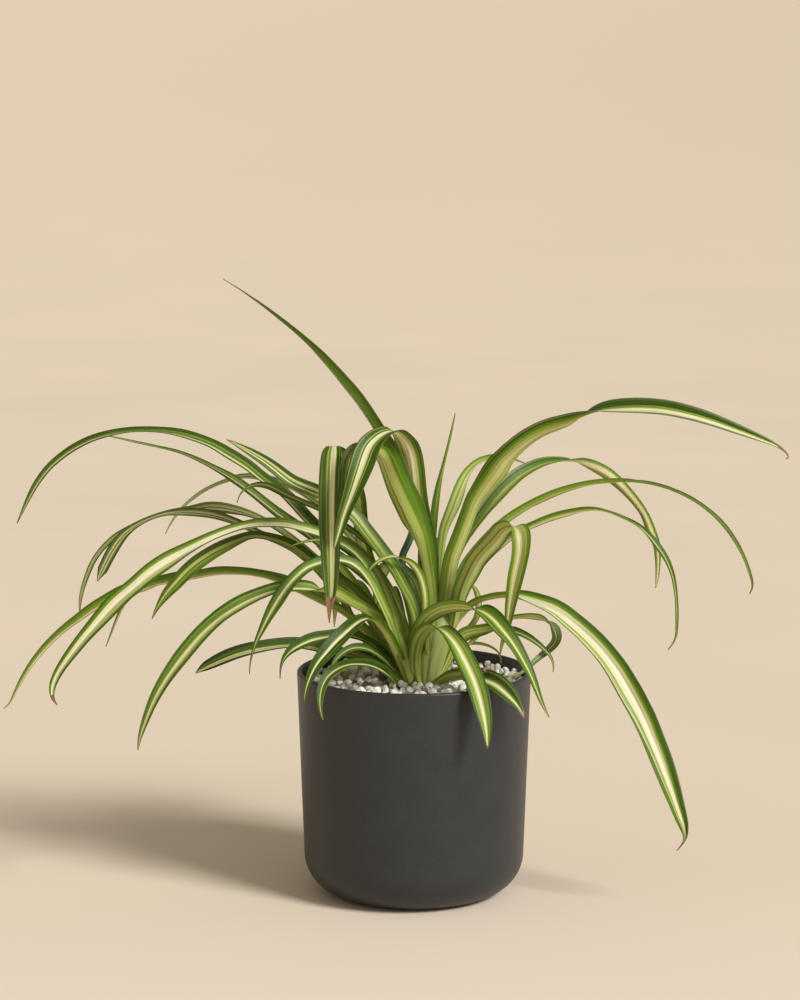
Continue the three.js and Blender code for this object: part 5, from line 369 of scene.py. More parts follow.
        '10.26 -2 143.04 0.85 -0.5 -0.167 6.48 46; 10.18 -2.76 144.93 0.86 -0.47 -0.198 6.75 46; 10.07 -3.94 146.83 0.876 -0.425 -0.228 7.02 46; 9.94 -5.3 148.74 0.878 -0.419 -0.23 7.29 46; 9.81 -6.59 150.66 0.868 -0.449 -0.21 7.56 46; 9.69 -7.58 152.58 0.847 -0.513 -0.144 7.83 46; 9.61 -8 154.52 0.831 -0.555 -0.04 8.1 46; 9.57 -8.04 156.52 0.825 -0.565 0.006 8.14 45.2; 9.36 -8.29 162.52 0.804 -0.595 -0.003 8.35 42.8; 9.14 -8.68 166.55 0.783 -0.621 -0.033 8.6 41.2; 8.86 -9.38 170.63 0.763 -0.642 -0.082 8.91 39.6; 8.71 -9.86 172.69 0.753 -0.649 -0.108 9.1 38.8; 8.55 -10.44 174.76 0.738 -0.666 -0.106 9.29 38; 7.8 -12.17 182.88 0.682 -0.728 -0.067 10.16 35.4; 7.08 -13.18 188.85 0.651 -0.759 -0.021 10.85 34.1; 6.22 -13.9 194.71 0.621 -0.784 0.014 11.52 32.9; 4.88 -14.61 202.39 0.605 -0.795 0.047 12.28 31.2; 3.72 -15.13 208.07 0.626 -0.777 0.06 12.69 29.9; 2.89 -15.49 211.82 0.66 -0.747 0.079 12.86 29.1; 1.92 -15.91 215.52 0.709 -0.694 0.126 12.95 28.3; 0.69 -16.41 219.14 0.769 -0.608 0.195 12.99 27.4; -0.77 -17.08 222.67 0.832 -0.494 0.252 13 26.6; -2.29 -17.93 226.16 0.881 -0.387 0.271 13 25.9; -3.74 -18.97 229.67 0.908 -0.323 0.266 13 25.7; -5.17 -20.18 233.15 0.913 -0.304 0.27 13 25.4; -6.65 -21.57 236.56 0.912 -0.307 0.273 13 25.2; -8.15 -23.14 239.89 0.916 -0.315 0.25 13 24.9; -10.27 -25.73 244.85 0.918 -0.352 0.185 13 24.5; -12.23 -28.52 249.78 0.907 -0.408 0.106 12.98 24.1; -14.01 -31.52 254.64 0.893 -0.449 0.019 12.9 23.7; -15.08 -33.68 257.82 0.891 -0.454 -0.033 12.79 23.5; -16.06 -36 260.92 0.897 -0.437 -0.065 12.63 23.2; -17.01 -38.49 263.9 0.912 -0.407 -0.056 12.43 23; -17.5 -39.79 265.34 0.922 -0.385 -0.031 12.31 22.8; -18.01 -41.12 266.75 0.934 -0.358 0.011 12.18 22.7; -18.57 -42.49 268.11 0.943 -0.324 0.072 12.04 22.6; -19.17 -43.91 269.41 0.945 -0.287 0.157 11.9 22.5; -19.86 -45.39 270.61 0.93 -0.256 0.265 11.75 22.3; -20.65 -46.93 271.68 0.891 -0.244 0.383 11.59 22.2; -21.57 -48.52 272.6 0.834 -0.261 0.486 11.44 22.1; -22.63 -50.09 273.37 0.776 -0.319 0.544 11.29 21.9; -23.81 -51.61 273.99 0.745 -0.413 0.524 11.16 21.8; -25.1 -53.13 274.49 0.744 -0.534 0.402 11.06 21.7; -26.48 -54.66 274.88 0.742 -0.647 0.176 10.98 21.6; -27.93 -56.2 275.14 0.71 -0.695 -0.11 10.93 21.4; -29.43 -57.73 275.25 0.656 -0.657 -0.372 10.9 21.3; -30.95 -59.25 275.19 0.622 -0.563 -0.545 10.88 21.2; -32.45 -60.73 274.91 0.645 -0.456 -0.613 10.86 21.1; -33.84 -62.17 274.33 0.724 -0.361 -0.588 10.84 20.9; -35.05 -63.54 273.43 0.826 -0.282 -0.488 10.83 20.8; -36 -64.83 272.22 0.91 -0.225 -0.349 10.81 20.7; -36.68 -66 270.76 0.959 -0.192 -0.21 10.79 20.5; -37.13 -67.14 269.13 0.978 -0.18 -0.106 10.77 20.4; -37.44 -68.14 267.39 0.982 -0.182 -0.047 10.74 20.3; -37.65 -68.99 265.58 0.982 -0.188 -0.024 10.68 20.2; -37.83 -69.71 263.72 0.981 -0.195 -0.024 10.59 20; -38.2 -70.83 259.92 0.976 -0.212 -0.054 10.25 19.5; -38.98 -72.11 254.13 0.96 -0.264 -0.099 9.31 18.6; -40.07 -73.32 248.38 0.943 -0.302 -0.141 8.17 17.8; -41.87 -75.06 240.81 0.946 -0.284 -0.158 6.69 16.6; -43.18 -76.31 235.13 0.958 -0.236 -0.166 5.45 15.7; -43.99 -76.95 231.31 0.962 -0.22 -0.163 4.4 15.2; -44.73 -77.41 227.46 0.962 -0.229 -0.152 3.18 14.6; -45.4 -77.69 223.58 0.959 -0.244 -0.147 0.7 14'),
    'leaf_spike_centre': ('spike_centre',
        '11.4 -2 150 0.962 0.236 -0.134 4.9 46; 11.58 -1.6 152.01 0.961 0.223 -0.164 5.08 46; 11.87 -0.97 154.11 0.958 0.201 -0.205 5.25 46; 12.55 0.54 158.44 0.958 0.197 -0.209 5.6 46; 12.85 1.23 160.61 0.961 0.215 -0.175 5.78 46; 13.06 1.75 162.72 0.964 0.242 -0.108 5.95 46; 13.12 2 164.75 0.966 0.259 -0.03 6.13 46; 13.04 2.23 170.7 0.959 0.282 0.002 5.86 42; 12.95 2.51 178.64 0.925 0.381 -0.001 5.62 36.7; 12.87 2.64 186.61 0.842 0.539 0.008 6.01 33.6; 12.61 2.67 194.59 0.756 0.654 0.037 6.63 30.9; 12.25 2.74 200.55 0.72 0.694 0.028 6.9 28.8; 11.93 3.02 206.5 0.71 0.704 -0.027 6.99 26.7; 11.94 3.59 212.41 0.707 0.698 -0.11 7 25.6; 12.41 4.7 220.24 0.703 0.695 -0.152 7 24.7; 13 5.85 228.06 0.683 0.712 -0.164 6.94 23.9; 13.89 6.92 235.87 0.648 0.739 -0.186 6.7 23; 14.78 7.75 241.7 0.607 0.762 -0.224 6.35 22.4; 15.92 8.73 247.45 0.536 0.801 -0.268 5.88 21.8; 17.67 10.28 255.04 0.43 0.858 -0.281 5.09 20.9; 18.97 11.43 260.74 0.42 0.871 -0.255 4.39 20.3; 20.64 12.63 268.4 0.503 0.836 -0.222 3.31 18.8; 22.24 13.75 276.1 0.633 0.732 -0.25 2.13 16.9; 23.43 14.78 281.84 0.704 0.655 -0.275 1.37 15.4; 24.61 16 287.54 0.723 0.627 -0.292 0.7 14'),
    'leaf_mid_right': ('mid_right',
        '11.4 -2 150 0.968 0.225 -0.113 6.21 46; 11.56 -1.74 151.91 0.966 0.222 -0.131 6.33 46; 12.07 -0.97 155.92 0.96 0.209 -0.185 6.57 46; 13.08 0.59 162.19 0.956 0.197 -0.216 6.93 46; 14.15 2.27 168.5 0.958 0.201 -0.202 7.29 46; 14.73 3.26 172.59 0.963 0.213 -0.165 7.52 46; 15.1 4 176.46 0.968 0.226 -0.104 7.76 46; 15.48 4.91 182.37 0.935 0.333 -0.123 7.34 42.2; 15.99 5.92 188.25 0.857 0.485 -0.173 7.32 38.3; 16.82 7.48 196.03 0.724 0.655 -0.217 8.17 34.5; 17.62 9.14 203.81 0.635 0.739 -0.224 9.18 31.9; 18.2 10.45 209.62 0.603 0.761 -0.242 9.7 29.8; 18.65 11.39 213.47 0.596 0.754 -0.277 9.89 28.5; 19.32 12.42 217.24 0.595 0.723 -0.352 9.97 27.2; 20.44 13.54 220.87 0.599 0.668 -0.441 10 25.9; 21.91 14.71 224.37 0.627 0.61 -0.484 10 25.5; 24.12 16.6 229.59 0.697 0.525 -0.488 10 24.9; 25.51 18.03 233.03 0.719 0.478 -0.505 9.99 24.5; 26.89 19.64 236.41 0.715 0.465 -0.522 9.96 24.1; 28.25 21.34 239.75 0.681 0.493 -0.542 9.87 23.7; 29.65 23.13 243.03 0.602 0.543 -0.585 9.7 23.3; 31.2 25.05 246.16 0.475 0.593 -0.65 9.45 22.9; 32.06 26.06 247.64 0.399 0.612 -0.683 9.29 22.7; 32.99 27.1 249.05 0.318 0.625 -0.713 9.12 22.5; 34 28.19 250.37 0.234 0.631 -0.74 8.92 22.3; 35.09 29.31 251.59 0.149 0.629 -0.763 8.71 22.1; 36.26 30.47 252.69 0.062 0.621 -0.781 8.49 21.8; 37.49 31.67 253.66 -0.024 0.607 -0.794 8.24 21.6; 38.79 32.92 254.49 -0.108 0.593 -0.798 7.98 21.4; 40.13 34.2 255.18 -0.188 0.581 -0.792 7.71 21.2; 41.52 35.5 255.74 -0.259 0.576 -0.775 7.42 21; 44.38 38.15 256.55 -0.375 0.582 -0.721 6.8 20.6; 47.33 40.77 256.98 -0.465 0.598 -0.652 6.12 20.2; 50.39 43.31 257 -0.533 0.616 -0.58 5.39 19.5; 53.51 45.75 256.6 -0.575 0.635 -0.516 4.61 18.6; 56.66 48.04 255.83 -0.596 0.646 -0.477 3.78 17.7; 59.84 50.2 254.75 -0.597 0.65 -0.471 2.91 16.8; 64.68 53.17 252.9 -0.574 0.65 -0.498 1.69 15.4; 69.51 56 250.84 -0.599 0.625 -0.5 0.7 14'),
    'leaf_arch_right': ('arch_right',
        '11.4 -2 150 0.91 0.291 -0.296 9.33 46; 12.05 -2.19 151.8 0.88 0.31 -0.359 9.66 46; 13.03 -2.46 153.61 0.83 0.345 -0.439 9.99 46; 14.21 -2.79 155.42 0.808 0.362 -0.465 10.33 46; 15.43 -3.15 157.25 0.817 0.358 -0.452 10.66 46; 16.54 -3.49 159.07 0.855 0.334 -0.396 10.99 46; 17.38 -3.78 160.9 0.916 0.295 -0.273 11.33 46; 17.8 -4 162.74 0.957 0.265 -0.119 11.66 46; 17.96 -4.18 164.72 0.964 0.258 -0.058 11.7 45.4; 18.71 -4.95 172.66 0.963 0.259 -0.074 11.9 43.2; 19.39 -5.72 178.64 0.963 0.258 -0.073 12.02 41.6; 20.35 -7.03 186.64 0.963 0.257 -0.079 12.11 39.3; 21.06 -7.86 192.6 0.966 0.243 -0.085 12.14 37.7; 21.86 -8.51 198.48 0.966 0.22 -0.139 12.12 36; 22.64 -8.93 202.32 0.954 0.218 -0.206 12.07 35.4; 23.71 -9.44 206.05 0.935 0.227 -0.272 11.99 34.8; 25.65 -10.34 211.56 0.929 0.23 -0.29 11.86 34; 28.32 -11.75 218.89 0.926 0.235 -0.297 11.71 32.8; 30.36 -12.92 224.4 0.926 0.251 -0.283 11.71 31.9; 32.32 -14.27 229.9 0.929 0.279 -0.245 11.92 31.1; 33.57 -15.28 233.56 0.929 0.275 -0.247 12.19 30.5; 34.21 -15.81 235.38 0.927 0.261 -0.269 12.37 30.2; 35.67 -16.87 238.93 0.911 0.214 -0.352 12.85 29.6; 36.51 -17.4 240.66 0.899 0.183 -0.399 13.16 29.3; 38.35 -18.47 244.04 0.879 0.112 -0.464 13.32 28.8; 41.25 -20.2 249 0.866 0.032 -0.498 14.39 27.9; 44.19 -22.16 253.85 0.844 0 -0.537 15.43 27; 46.24 -23.49 257.01 0.836 -0.013 -0.549 15.87 26.4; 47.27 -24.13 258.6 0.838 -0.018 -0.546 16.03 26.1; 48.3 -24.74 260.2 0.838 -0.015 -0.546 15.82 26; 49.34 -25.33 261.8 0.83 -0.003 -0.557 15.42 25.9; 50.42 -25.91 263.37 0.814 0.022 -0.58 14.58 25.8; 51.57 -26.49 264.89 0.792 0.056 -0.608 13.68 25.7; 52.79 -27.09 266.35 0.77 0.096 -0.631 13.25 25.6; 55.38 -28.35 269.12 0.742 0.175 -0.647 13.15 25.4; 58.08 -29.67 271.76 0.728 0.235 -0.644 12.71 25.2; 62.26 -31.62 275.59 0.695 0.302 -0.652 12.52 25; 66.74 -33.46 279.12 0.63 0.377 -0.679 12.5 24.7; 71.55 -35.27 282.19 0.559 0.449 -0.697 12.5 24.4; 74.93 -36.5 283.94 0.509 0.483 -0.712 12.5 24.3; 78.42 -37.75 285.43 0.463 0.513 -0.723 12.49 24.1; 81.99 -38.97 286.73 0.433 0.551 -0.713 12.47 23.9; 85.6 -40.15 287.98 0.43 0.605 -0.67 12.43 23.7; 89.2 -41.25 289.34 0.437 0.686 -0.582 12.36 23.6; 90.98 -41.77 290.08 0.433 0.737 -0.519 12.31 23.5; 94.52 -42.74 291.67 0.391 0.85 -0.354 12.21 23.3; 98.04 -43.63 293.34 0.298 0.94 -0.163 12.08 23.1; 101.63 -44.43 294.89 0.193 0.981 0.028 11.93 22.9; 105.34 -45.16 296.17 0.115 0.968 0.223 11.77 22.8; 107.23 -45.51 296.7 0.089 0.944 0.318 11.68 22.7; 111.07 -46.2 297.56 0.06 0.871 0.488 11.48 22.5; 114.95 -46.89 298.23 0.045 0.787 0.615 11.28 22.3; 118.85 -47.59 298.77 0.04 0.706 0.707 11.05 22.1; 124.73 -48.63 299.33 0.051 0.594 0.803 10.7 21.9; 130.63 -49.68 299.57 0.076 0.488 0.87 10.4 21.6; 136.54 -50.72 299.46 0.116 0.416 0.902 10.24 21.3; 142.42 -51.8 299.03 0.169 0.391 0.905 10.06 21.1; 148.25 -52.94 298.2 0.236 0.377 0.896 9.82 20.8; 155.93 -54.5 296.59 0.276 0.368 0.888 9.44 20.4; 163.57 -55.9 294.69 0.303 0.364 0.881 8.93 20.1; 169.25 -56.76 292.98 0.331 0.359 0.872 8.39 19.6; 176.76 -57.74 290.41 0.357 0.357 0.863 7.53 18.8; 184.21 -58.73 287.66 0.367 0.371 0.853 6.54 18; 191.64 -59.87 284.92 0.378 0.404 0.833 5.39 17.2; 199.02 -61.1 282.08 0.397 0.424 0.814 4.18 16.4; 204.48 -61.98 279.76 0.428 0.504 0.75 3.09 15.8; 207.97 -62.53 277.94 0.486 0.591 0.644 2.27 15.4; 209.61 -62.8 276.87 0.526 0.625 0.577 1.89 15.2; 211.12 -63.09 275.68 0.578 0.642 0.504 1.55 15; 212.41 -63.39 274.41 0.658 0.632 0.409 1.28 14.8; 213.29 -63.73 273.18 0.793 0.571 0.214 1.06 14.6; 213.54 -64.12 272.17 0.894 0.344 -0.288 0.89 14.4; 212.18 -65 271.31 0.357 -0.197 -0.913 0.7 14'),
    'leaf_loop_right': ('loop_right',
        '11.4 -2 150 -0.91 0.359 0.208 7.19 46; 11.97 -1.69 151.96 -0.891 0.378 0.251 7.41 46; 12.84 -1.24 153.95 -0.856 0.414 0.309 7.64 46; 13.89 -0.7 155.95 -0.837 0.436 0.331 7.86 46; 15.02 -0.1 157.96 -0.835 0.44 0.329 8.09 46; 16.11 0.51 159.98 -0.85 0.428 0.306 8.31 46; 17.06 1.09 161.99 -0.881 0.4 0.254 8.53 46; 17.76 1.6 163.99 -0.92 0.358 0.157 8.76 46; 18.1 2 165.97 -0.944 0.326 0.045 8.98 46; 18.2 2.32 167.93 -0.948 0.318 -0.001 9.01 45.3; 18.77 3.69 175.77 -0.946 0.323 0.029 9.05 42.7; 19.43 4.88 181.59 -0.943 0.328 0.054 8.96 40.7; 20.39 6.21 187.33 -0.932 0.344 0.117 8.75 38.7; 21.33 7.12 191.09 -0.916 0.362 0.174 8.57 37.3; 23.18 8.41 196.62 -0.884 0.4 0.244 8.31 35.7; 25.39 9.62 202.04 -0.857 0.438 0.271 8.29 34.6; 26.99 10.45 205.59 -0.837 0.466 0.286 8.47 33.9; 28.8 11.4 209 -0.798 0.512 0.317 8.73 33.2; 30.91 12.48 212.19 -0.755 0.566 0.332 9 32.5; 34.37 14.25 216.73 -0.715 0.625 0.313 9.37 31.5; 37.93 16.07 221.17 -0.706 0.645 0.292 9.66 30.4; 40.25 17.37 224.14 -0.732 0.622 0.276 9.81 29.7; 42.5 18.8 227.1 -0.764 0.576 0.291 9.92 29; 45.91 21.11 231.44 -0.793 0.477 0.379 10.05 28; 49.42 23.58 235.6 -0.799 0.383 0.464 10.24 27; 51.86 25.31 238.22 -0.773 0.367 0.518 10.35 26.3; 54.48 27.07 240.65 -0.736 0.39 0.554 10.32 25.9; 58.63 29.69 244.06 -0.707 0.453 0.543 10.12 25.5; 61.5 31.47 246.17 -0.675 0.514 0.53 10.03 25.3; 64.5 33.3 248.02 -0.633 0.577 0.516 10.01 25.1; 67.64 35.19 249.57 -0.6 0.633 0.49 10 24.9; 72.51 38.06 251.51 -0.557 0.709 0.432 10 24.6; 75.86 39.93 252.57 -0.521 0.759 0.391 10 24.4; 79.31 41.75 253.37 -0.479 0.806 0.347 9.99 24.2; 82.83 43.52 253.85 -0.446 0.849 0.284 9.97 23.9; 86.41 45.25 254.06 -0.423 0.884 0.197 9.93 23.7; 91.86 47.71 254.03 -0.389 0.919 0.057 9.82 23.4; 93.69 48.47 253.91 -0.381 0.924 0.003 9.77 23.3; 95.52 49.22 253.71 -0.381 0.922 -0.068 9.71 23.2; 97.35 49.95 253.42 -0.391 0.907 -0.158 9.65 23.1; 100.96 51.39 252.58 -0.432 0.825 -0.365 9.5 22.9; 102.73 52.09 252.03 -0.451 0.766 -0.458 9.42 22.8; 106.25 53.46 250.76 -0.479 0.64 -0.601 9.25 22.6; 109.72 54.7 249.25 -0.5 0.513 -0.698 9.06 22.3; 113.15 55.77 247.54 -0.514 0.389 -0.765 8.88 22.1; 114.85 56.25 246.63 -0.529 0.332 -0.781 8.8 22; 116.52 56.69 245.65 -0.556 0.281 -0.783 8.72 21.9; 118.15 57.11 244.6 -0.592 0.24 -0.769 8.64 21.8; 119.72 57.52 243.45 -0.628 0.215 -0.748 8.55 21.7; 122.72 58.28 240.95 -0.676 0.214 -0.705 8.29 21.5; 125.6 59.02 238.3 -0.708 0.257 -0.657 7.94 21.3; 129.64 60.1 234.03 -0.738 0.35 -0.578 7.38 21; 133.52 61.11 229.6 -0.736 0.412 -0.538 6.87 20.6; 137.22 62 224.99 -0.759 0.423 -0.495 6.36 20.3; 139.5 62.52 221.77 -0.784 0.421 -0.457 6.08 20.1; 141.56 63 218.4 -0.826 0.399 -0.397 5.99 19.8; 143.26 63.45 214.84 -0.882 0.339 -0.328 6.16 19.3; 144.68 63.91 211.16 -0.91 0.271 -0.314 6.4 18.8; 146.15 64.39 207.49 -0.901 0.257 -0.35 6.33 18.3; 147.72 64.88 203.87 -0.896 0.298 -0.329 5.87 17.8; 149.06 65.32 200.16 -0.912 0.336 -0.234 5.28 17.4; 149.56 65.51 198.25 -0.924 0.342 -0.173 4.99 17.1; 149.91 65.66 196.31 -0.934 0.34 -0.114 4.73 16.9; 150.25 65.86 192.37 -0.945 0.325 -0.036 4.23 16.4; 150.41 65.98 186.39 -0.95 0.311 -0.001 3.46 15.7; 150.17 66 180.43 -0.948 0.308 0.079 2.66 15; 149.32 66 172.5 -0.945 0.308 0.107 0.7 14'),
    'leaf_dark_arc_high': ('dark_arc_high',
        '11.4 -2 150 0.923 0.26 -0.285 4.92 46; 11.96 -2 151.81 0.904 0.263 -0.337 5.04 46; 12.76 -2 153.63 0.867 0.268 -0.42 5.16 46; 13.73 -2.01 155.47 0.839 0.273 -0.471 5.28 46; 15.98 -2.01 159.18 0.817 0.277 -0.505 5.53 46; 18.2 -2.01 162.89 0.844 0.271 -0.463 5.78 46; 19.15 -2.01 164.73 0.874 0.266 -0.406 5.9 46; 19.91 -2.01 166.57 0.912 0.261 -0.317 6.02 46; 20.42 -2 168.38 0.941 0.259 -0.217 6.14 46; 20.78 -2 170.35 0.949 0.259 -0.181 6.09 45.4; 22.02 -1.95 176.2 0.938 0.26 -0.229 5.84 43.4; 23.57 -1.76 181.96 0.918 0.271 -0.289 5.56 41.5; 25.41 -1.39 187.59 0.885 0.327 -0.331 5.38 39.6; 27.57 -1.26 193.16 0.827 0.433 -0.359 5.45 37.7; 29.28 -1.29 196.77 0.768 0.503 -0.397 5.61 36.4; 31.32 -1.38 200.21 0.698 0.555 -0.452 5.81 35.5; 33.69 -1.44 203.44 0.64 0.587 -0.496 6.02 34.9; 37.52 -1.38 208.07 0.595 0.602 -0.533 6.34 33.9; 41.53 -1.12 212.53 0.56 0.593 -0.578 6.65 32.9; 47.24 -0.67 218.1 0.536 0.56 -0.632 7.02 31.5; 51.74 -0.27 222.03 0.497 0.547 -0.673 7.24 30.5; 56.48 0.29 225.65 0.424 0.56 -0.712 7.39 29.5; 61.46 1.05 228.89 0.347 0.594 -0.726 7.47 28.5; 68.29 2.24 232.86 0.277 0.639 -0.717 7.5 27.2; 73.57 3.16 235.55 0.229 0.658 -0.718 7.5 26.2; 78.98 4.09 237.96 0.187 0.662 -0.725 7.5 25.7; 84.5 5.03 240.08 0.14 0.677 -0.723 7.5 25.4; 92.02 6.3 242.47 0.077 0.717 -0.693 7.5 25; 97.74 7.28 243.96 0.029 0.744 -0.668 7.5 24.7; 103.53 8.26 245.15 -0.023 0.781 -0.624 7.5 24.4; 109.38 9.26 245.93 -0.088 0.826 -0.557 7.49 24.1; 117.25 10.55 246.45 -0.113 0.887 -0.448 7.44 23.7; 123.17 11.44 246.73 -0.127 0.924 -0.362 7.36 23.4; 127.12 11.99 246.68 -0.14 0.95 -0.28 7.27 23.2; 133.05 12.76 246.23 -0.133 0.986 -0.098 7.12 22.9; 136.97 13.23 245.69 -0.115 0.993 -0.006 7 22.7; 140.88 13.67 244.97 -0.102 0.995 0.022 6.87 22.5; 146.66 14.25 243.53 -0.088 0.996 0.022 6.64 22.2; 152.32 14.76 241.64 -0.065 0.996 0.057 6.39 21.8; 157.86 15.22 239.39 -0.019 0.99 0.138 6.11 21.5; 163.23 15.66 236.78 0.044 0.972 0.23 5.81 21.2; 168.38 16.08 233.76 0.11 0.949 0.295 5.48 20.9; 173.3 16.5 230.36 0.177 0.92 0.351 5.12 20.6; 178.01 16.93 226.69 0.254 0.878 0.405 4.75 20.3; 182.4 17.38 222.64 0.359 0.821 0.443 4.35 20; 186.47 17.75 218.26 0.489 0.737 0.467 3.92 19.3; 188.98 17.9 215.16 0.584 0.663 0.468 3.63 18.8; 192.42 17.99 210.26 0.7 0.55 0.455 3.18 18.2; 195.48 18 205.12 0.781 0.453 0.43 2.77 17.5; 198.19 18 199.77 0.84 0.38 0.387 2.45 16.8; 200.48 18 194.24 0.9 0.279 0.336 2.21 16.1; 202.43 18 188.58 0.953 0.067 0.294 1.93 15.4; 202.99 18 186.67 0.969 -0.028 0.245 1.78 15.2; 203.4 18 184.76 0.981 -0.128 0.148 1.59 14.9; 203.56 18 182.86 0.975 -0.223 -0.012 1.37 14.7; 203.35 18 181.03 0.928 -0.308 -0.21 1.15 14.5; 201.88 18 177.63 0.801 -0.427 -0.419 0.7 14'),
    'leaf_dark_arc_low': ('dark_arc_low',
        '11.37 -2 149.87 0.856 0.301 -0.421 4.93 46; 12.29 -2.18 151.6 0.806 0.325 -0.495 5.05 46; 13.59 -2.41 153.21 0.711 0.377 -0.594 5.17 46; 15.19 -2.69 154.74 0.645 0.417 -0.64 5.3 46; 16.96 -3.01 156.21 0.611 0.442 -0.657 5.42 46; 20.63 -3.7 159.13 0.63 0.439 -0.64 5.66 46; 22.31 -4.05 160.63 0.685 0.411 -0.602 5.79 46; 23.75 -4.4 162.2 0.77 0.366 -0.523 5.91 46; 24.83 -4.72 163.87 0.874 0.31 -0.375 6.03 46; 25.45 -5 165.66 0.943 0.268 -0.196 6.16 46; 25.76 -5.27 167.61 0.958 0.258 -0.128 6.11 45.3; 26.52 -5.82 171.48 0.947 0.265 -0.18 5.99 43.8; 27.54 -6.38 175.29 0.931 0.274 -0.242 5.86 42.3; 29.54 -7.27 180.85 0.902 0.289 -0.32 5.67 40.2; 32.73 -8.47 188.06 0.873 0.327 -0.362 5.61 37.2; 34.54 -9.11 191.55 0.835 0.372 -0.405 5.74 35.9; 36.63 -9.8 194.87 0.787 0.43 -0.443 5.95 35.1; 40.15 -10.97 199.55 0.73 0.52 -0.443 6.31 34; 43.88 -12.32 204.04 0.706 0.577 -0.412 6.66 32.8; 46.42 -13.36 206.93 0.704 0.581 -0.408 6.87 32.1; 50.34 -15.24 211.03 0.71 0.567 -0.418 7.15 30.9; 54.36 -17.43 214.88 0.703 0.571 -0.423 7.35 29.8; 58.54 -19.66 218.53 0.665 0.596 -0.451 7.46 28.6; 61.52 -21.08 220.76 0.613 0.615 -0.495 7.49 27.9; 64.71 -22.43 222.72 0.557 0.634 -0.536 7.5 27.1; 71.37 -24.93 226.3 0.531 0.638 -0.558 7.5 25.9; 76.46 -26.76 228.86 0.494 0.636 -0.593 7.5 25.5; 81.72 -28.62 231.01 0.461 0.632 -0.623 7.5 25.2; 87.07 -30.54 232.89 0.435 0.654 -0.619 7.5 24.8; 92.49 -32.44 234.53 0.404 0.703 -0.585 7.5 24.5; 98.02 -34.24 235.94 0.354 0.777 -0.52 7.49 24.1; 101.78 -35.35 236.65 0.303 0.843 -0.444 7.47 23.9; 105.59 -36.41 236.97 0.25 0.904 -0.347 7.43 23.6; 107.5 -36.92 236.93 0.228 0.926 -0.3 7.4 23.5; 109.4 -37.43 236.72 0.212 0.942 -0.259 7.36 23.4; 111.28 -37.92 236.36 0.199 0.954 -0.225 7.32 23.3; 114.98 -38.88 235.27 0.183 0.969 -0.169 7.22 23.1; 120.43 -40.13 233.15 0.17 0.982 -0.086 7.03 22.7; 124.03 -40.84 231.59 0.173 0.984 -0.029 6.88 22.5; 127.51 -41.49 229.78 0.2 0.979 0.027 6.71 22.2; 129.17 -41.8 228.74 0.227 0.972 0.057 6.62 22.1; 130.76 -42.12 227.6 0.265 0.96 0.09 6.53 22; 133.72 -42.75 225.03 0.362 0.917 0.167 6.33 21.8; 136.44 -43.35 222.18 0.464 0.85 0.249 6.11 21.5; 138.98 -43.9 219.16 0.547 0.778 0.308 5.89 21.3; 141.39 -44.37 216.02 0.587 0.735 0.338 5.64 21.1; 143.73 -44.79 212.82 0.601 0.73 0.324 5.38 20.8; 145.8 -45.17 209.47 0.62 0.741 0.258 5.11 20.6; 147.5 -45.51 205.89 0.628 0.751 0.203 4.83 20.4; 148.91 -45.76 202.17 0.636 0.752 0.173 4.53 20.1; 150.01 -45.91 198.36 0.65 0.747 0.139 4.22 19.8; 150.82 -45.98 194.46 0.653 0.75 0.108 3.89 19.3; 151.67 -46 188.53 0.654 0.753 0.078 3.38 18.5; 152.28 -46 182.58 0.753 0.655 0.062 2.85 17.7; 152.62 -46 176.61 0.921 0.389 0.03 2.34 16.9; 152.72 -46 170.63 1 0.009 0.002 1.89 16.1; 152.62 -46 166.66 0.963 -0.258 -0.084 1.57 15.6; 152.37 -46 164.72 0.908 -0.38 -0.176 1.39 15.3; 151.88 -46 162.85 0.827 -0.486 -0.284 1.21 15.1; 151.12 -46 161.08 0.731 -0.571 -0.373 1.05 14.8; 150.13 -46 159.4 0.648 -0.635 -0.421 0.91 14.5; 147.78 -46 156.2 0.563 -0.708 -0.427 0.7 14'),
    'leaf_fold_right': ('fold_right',
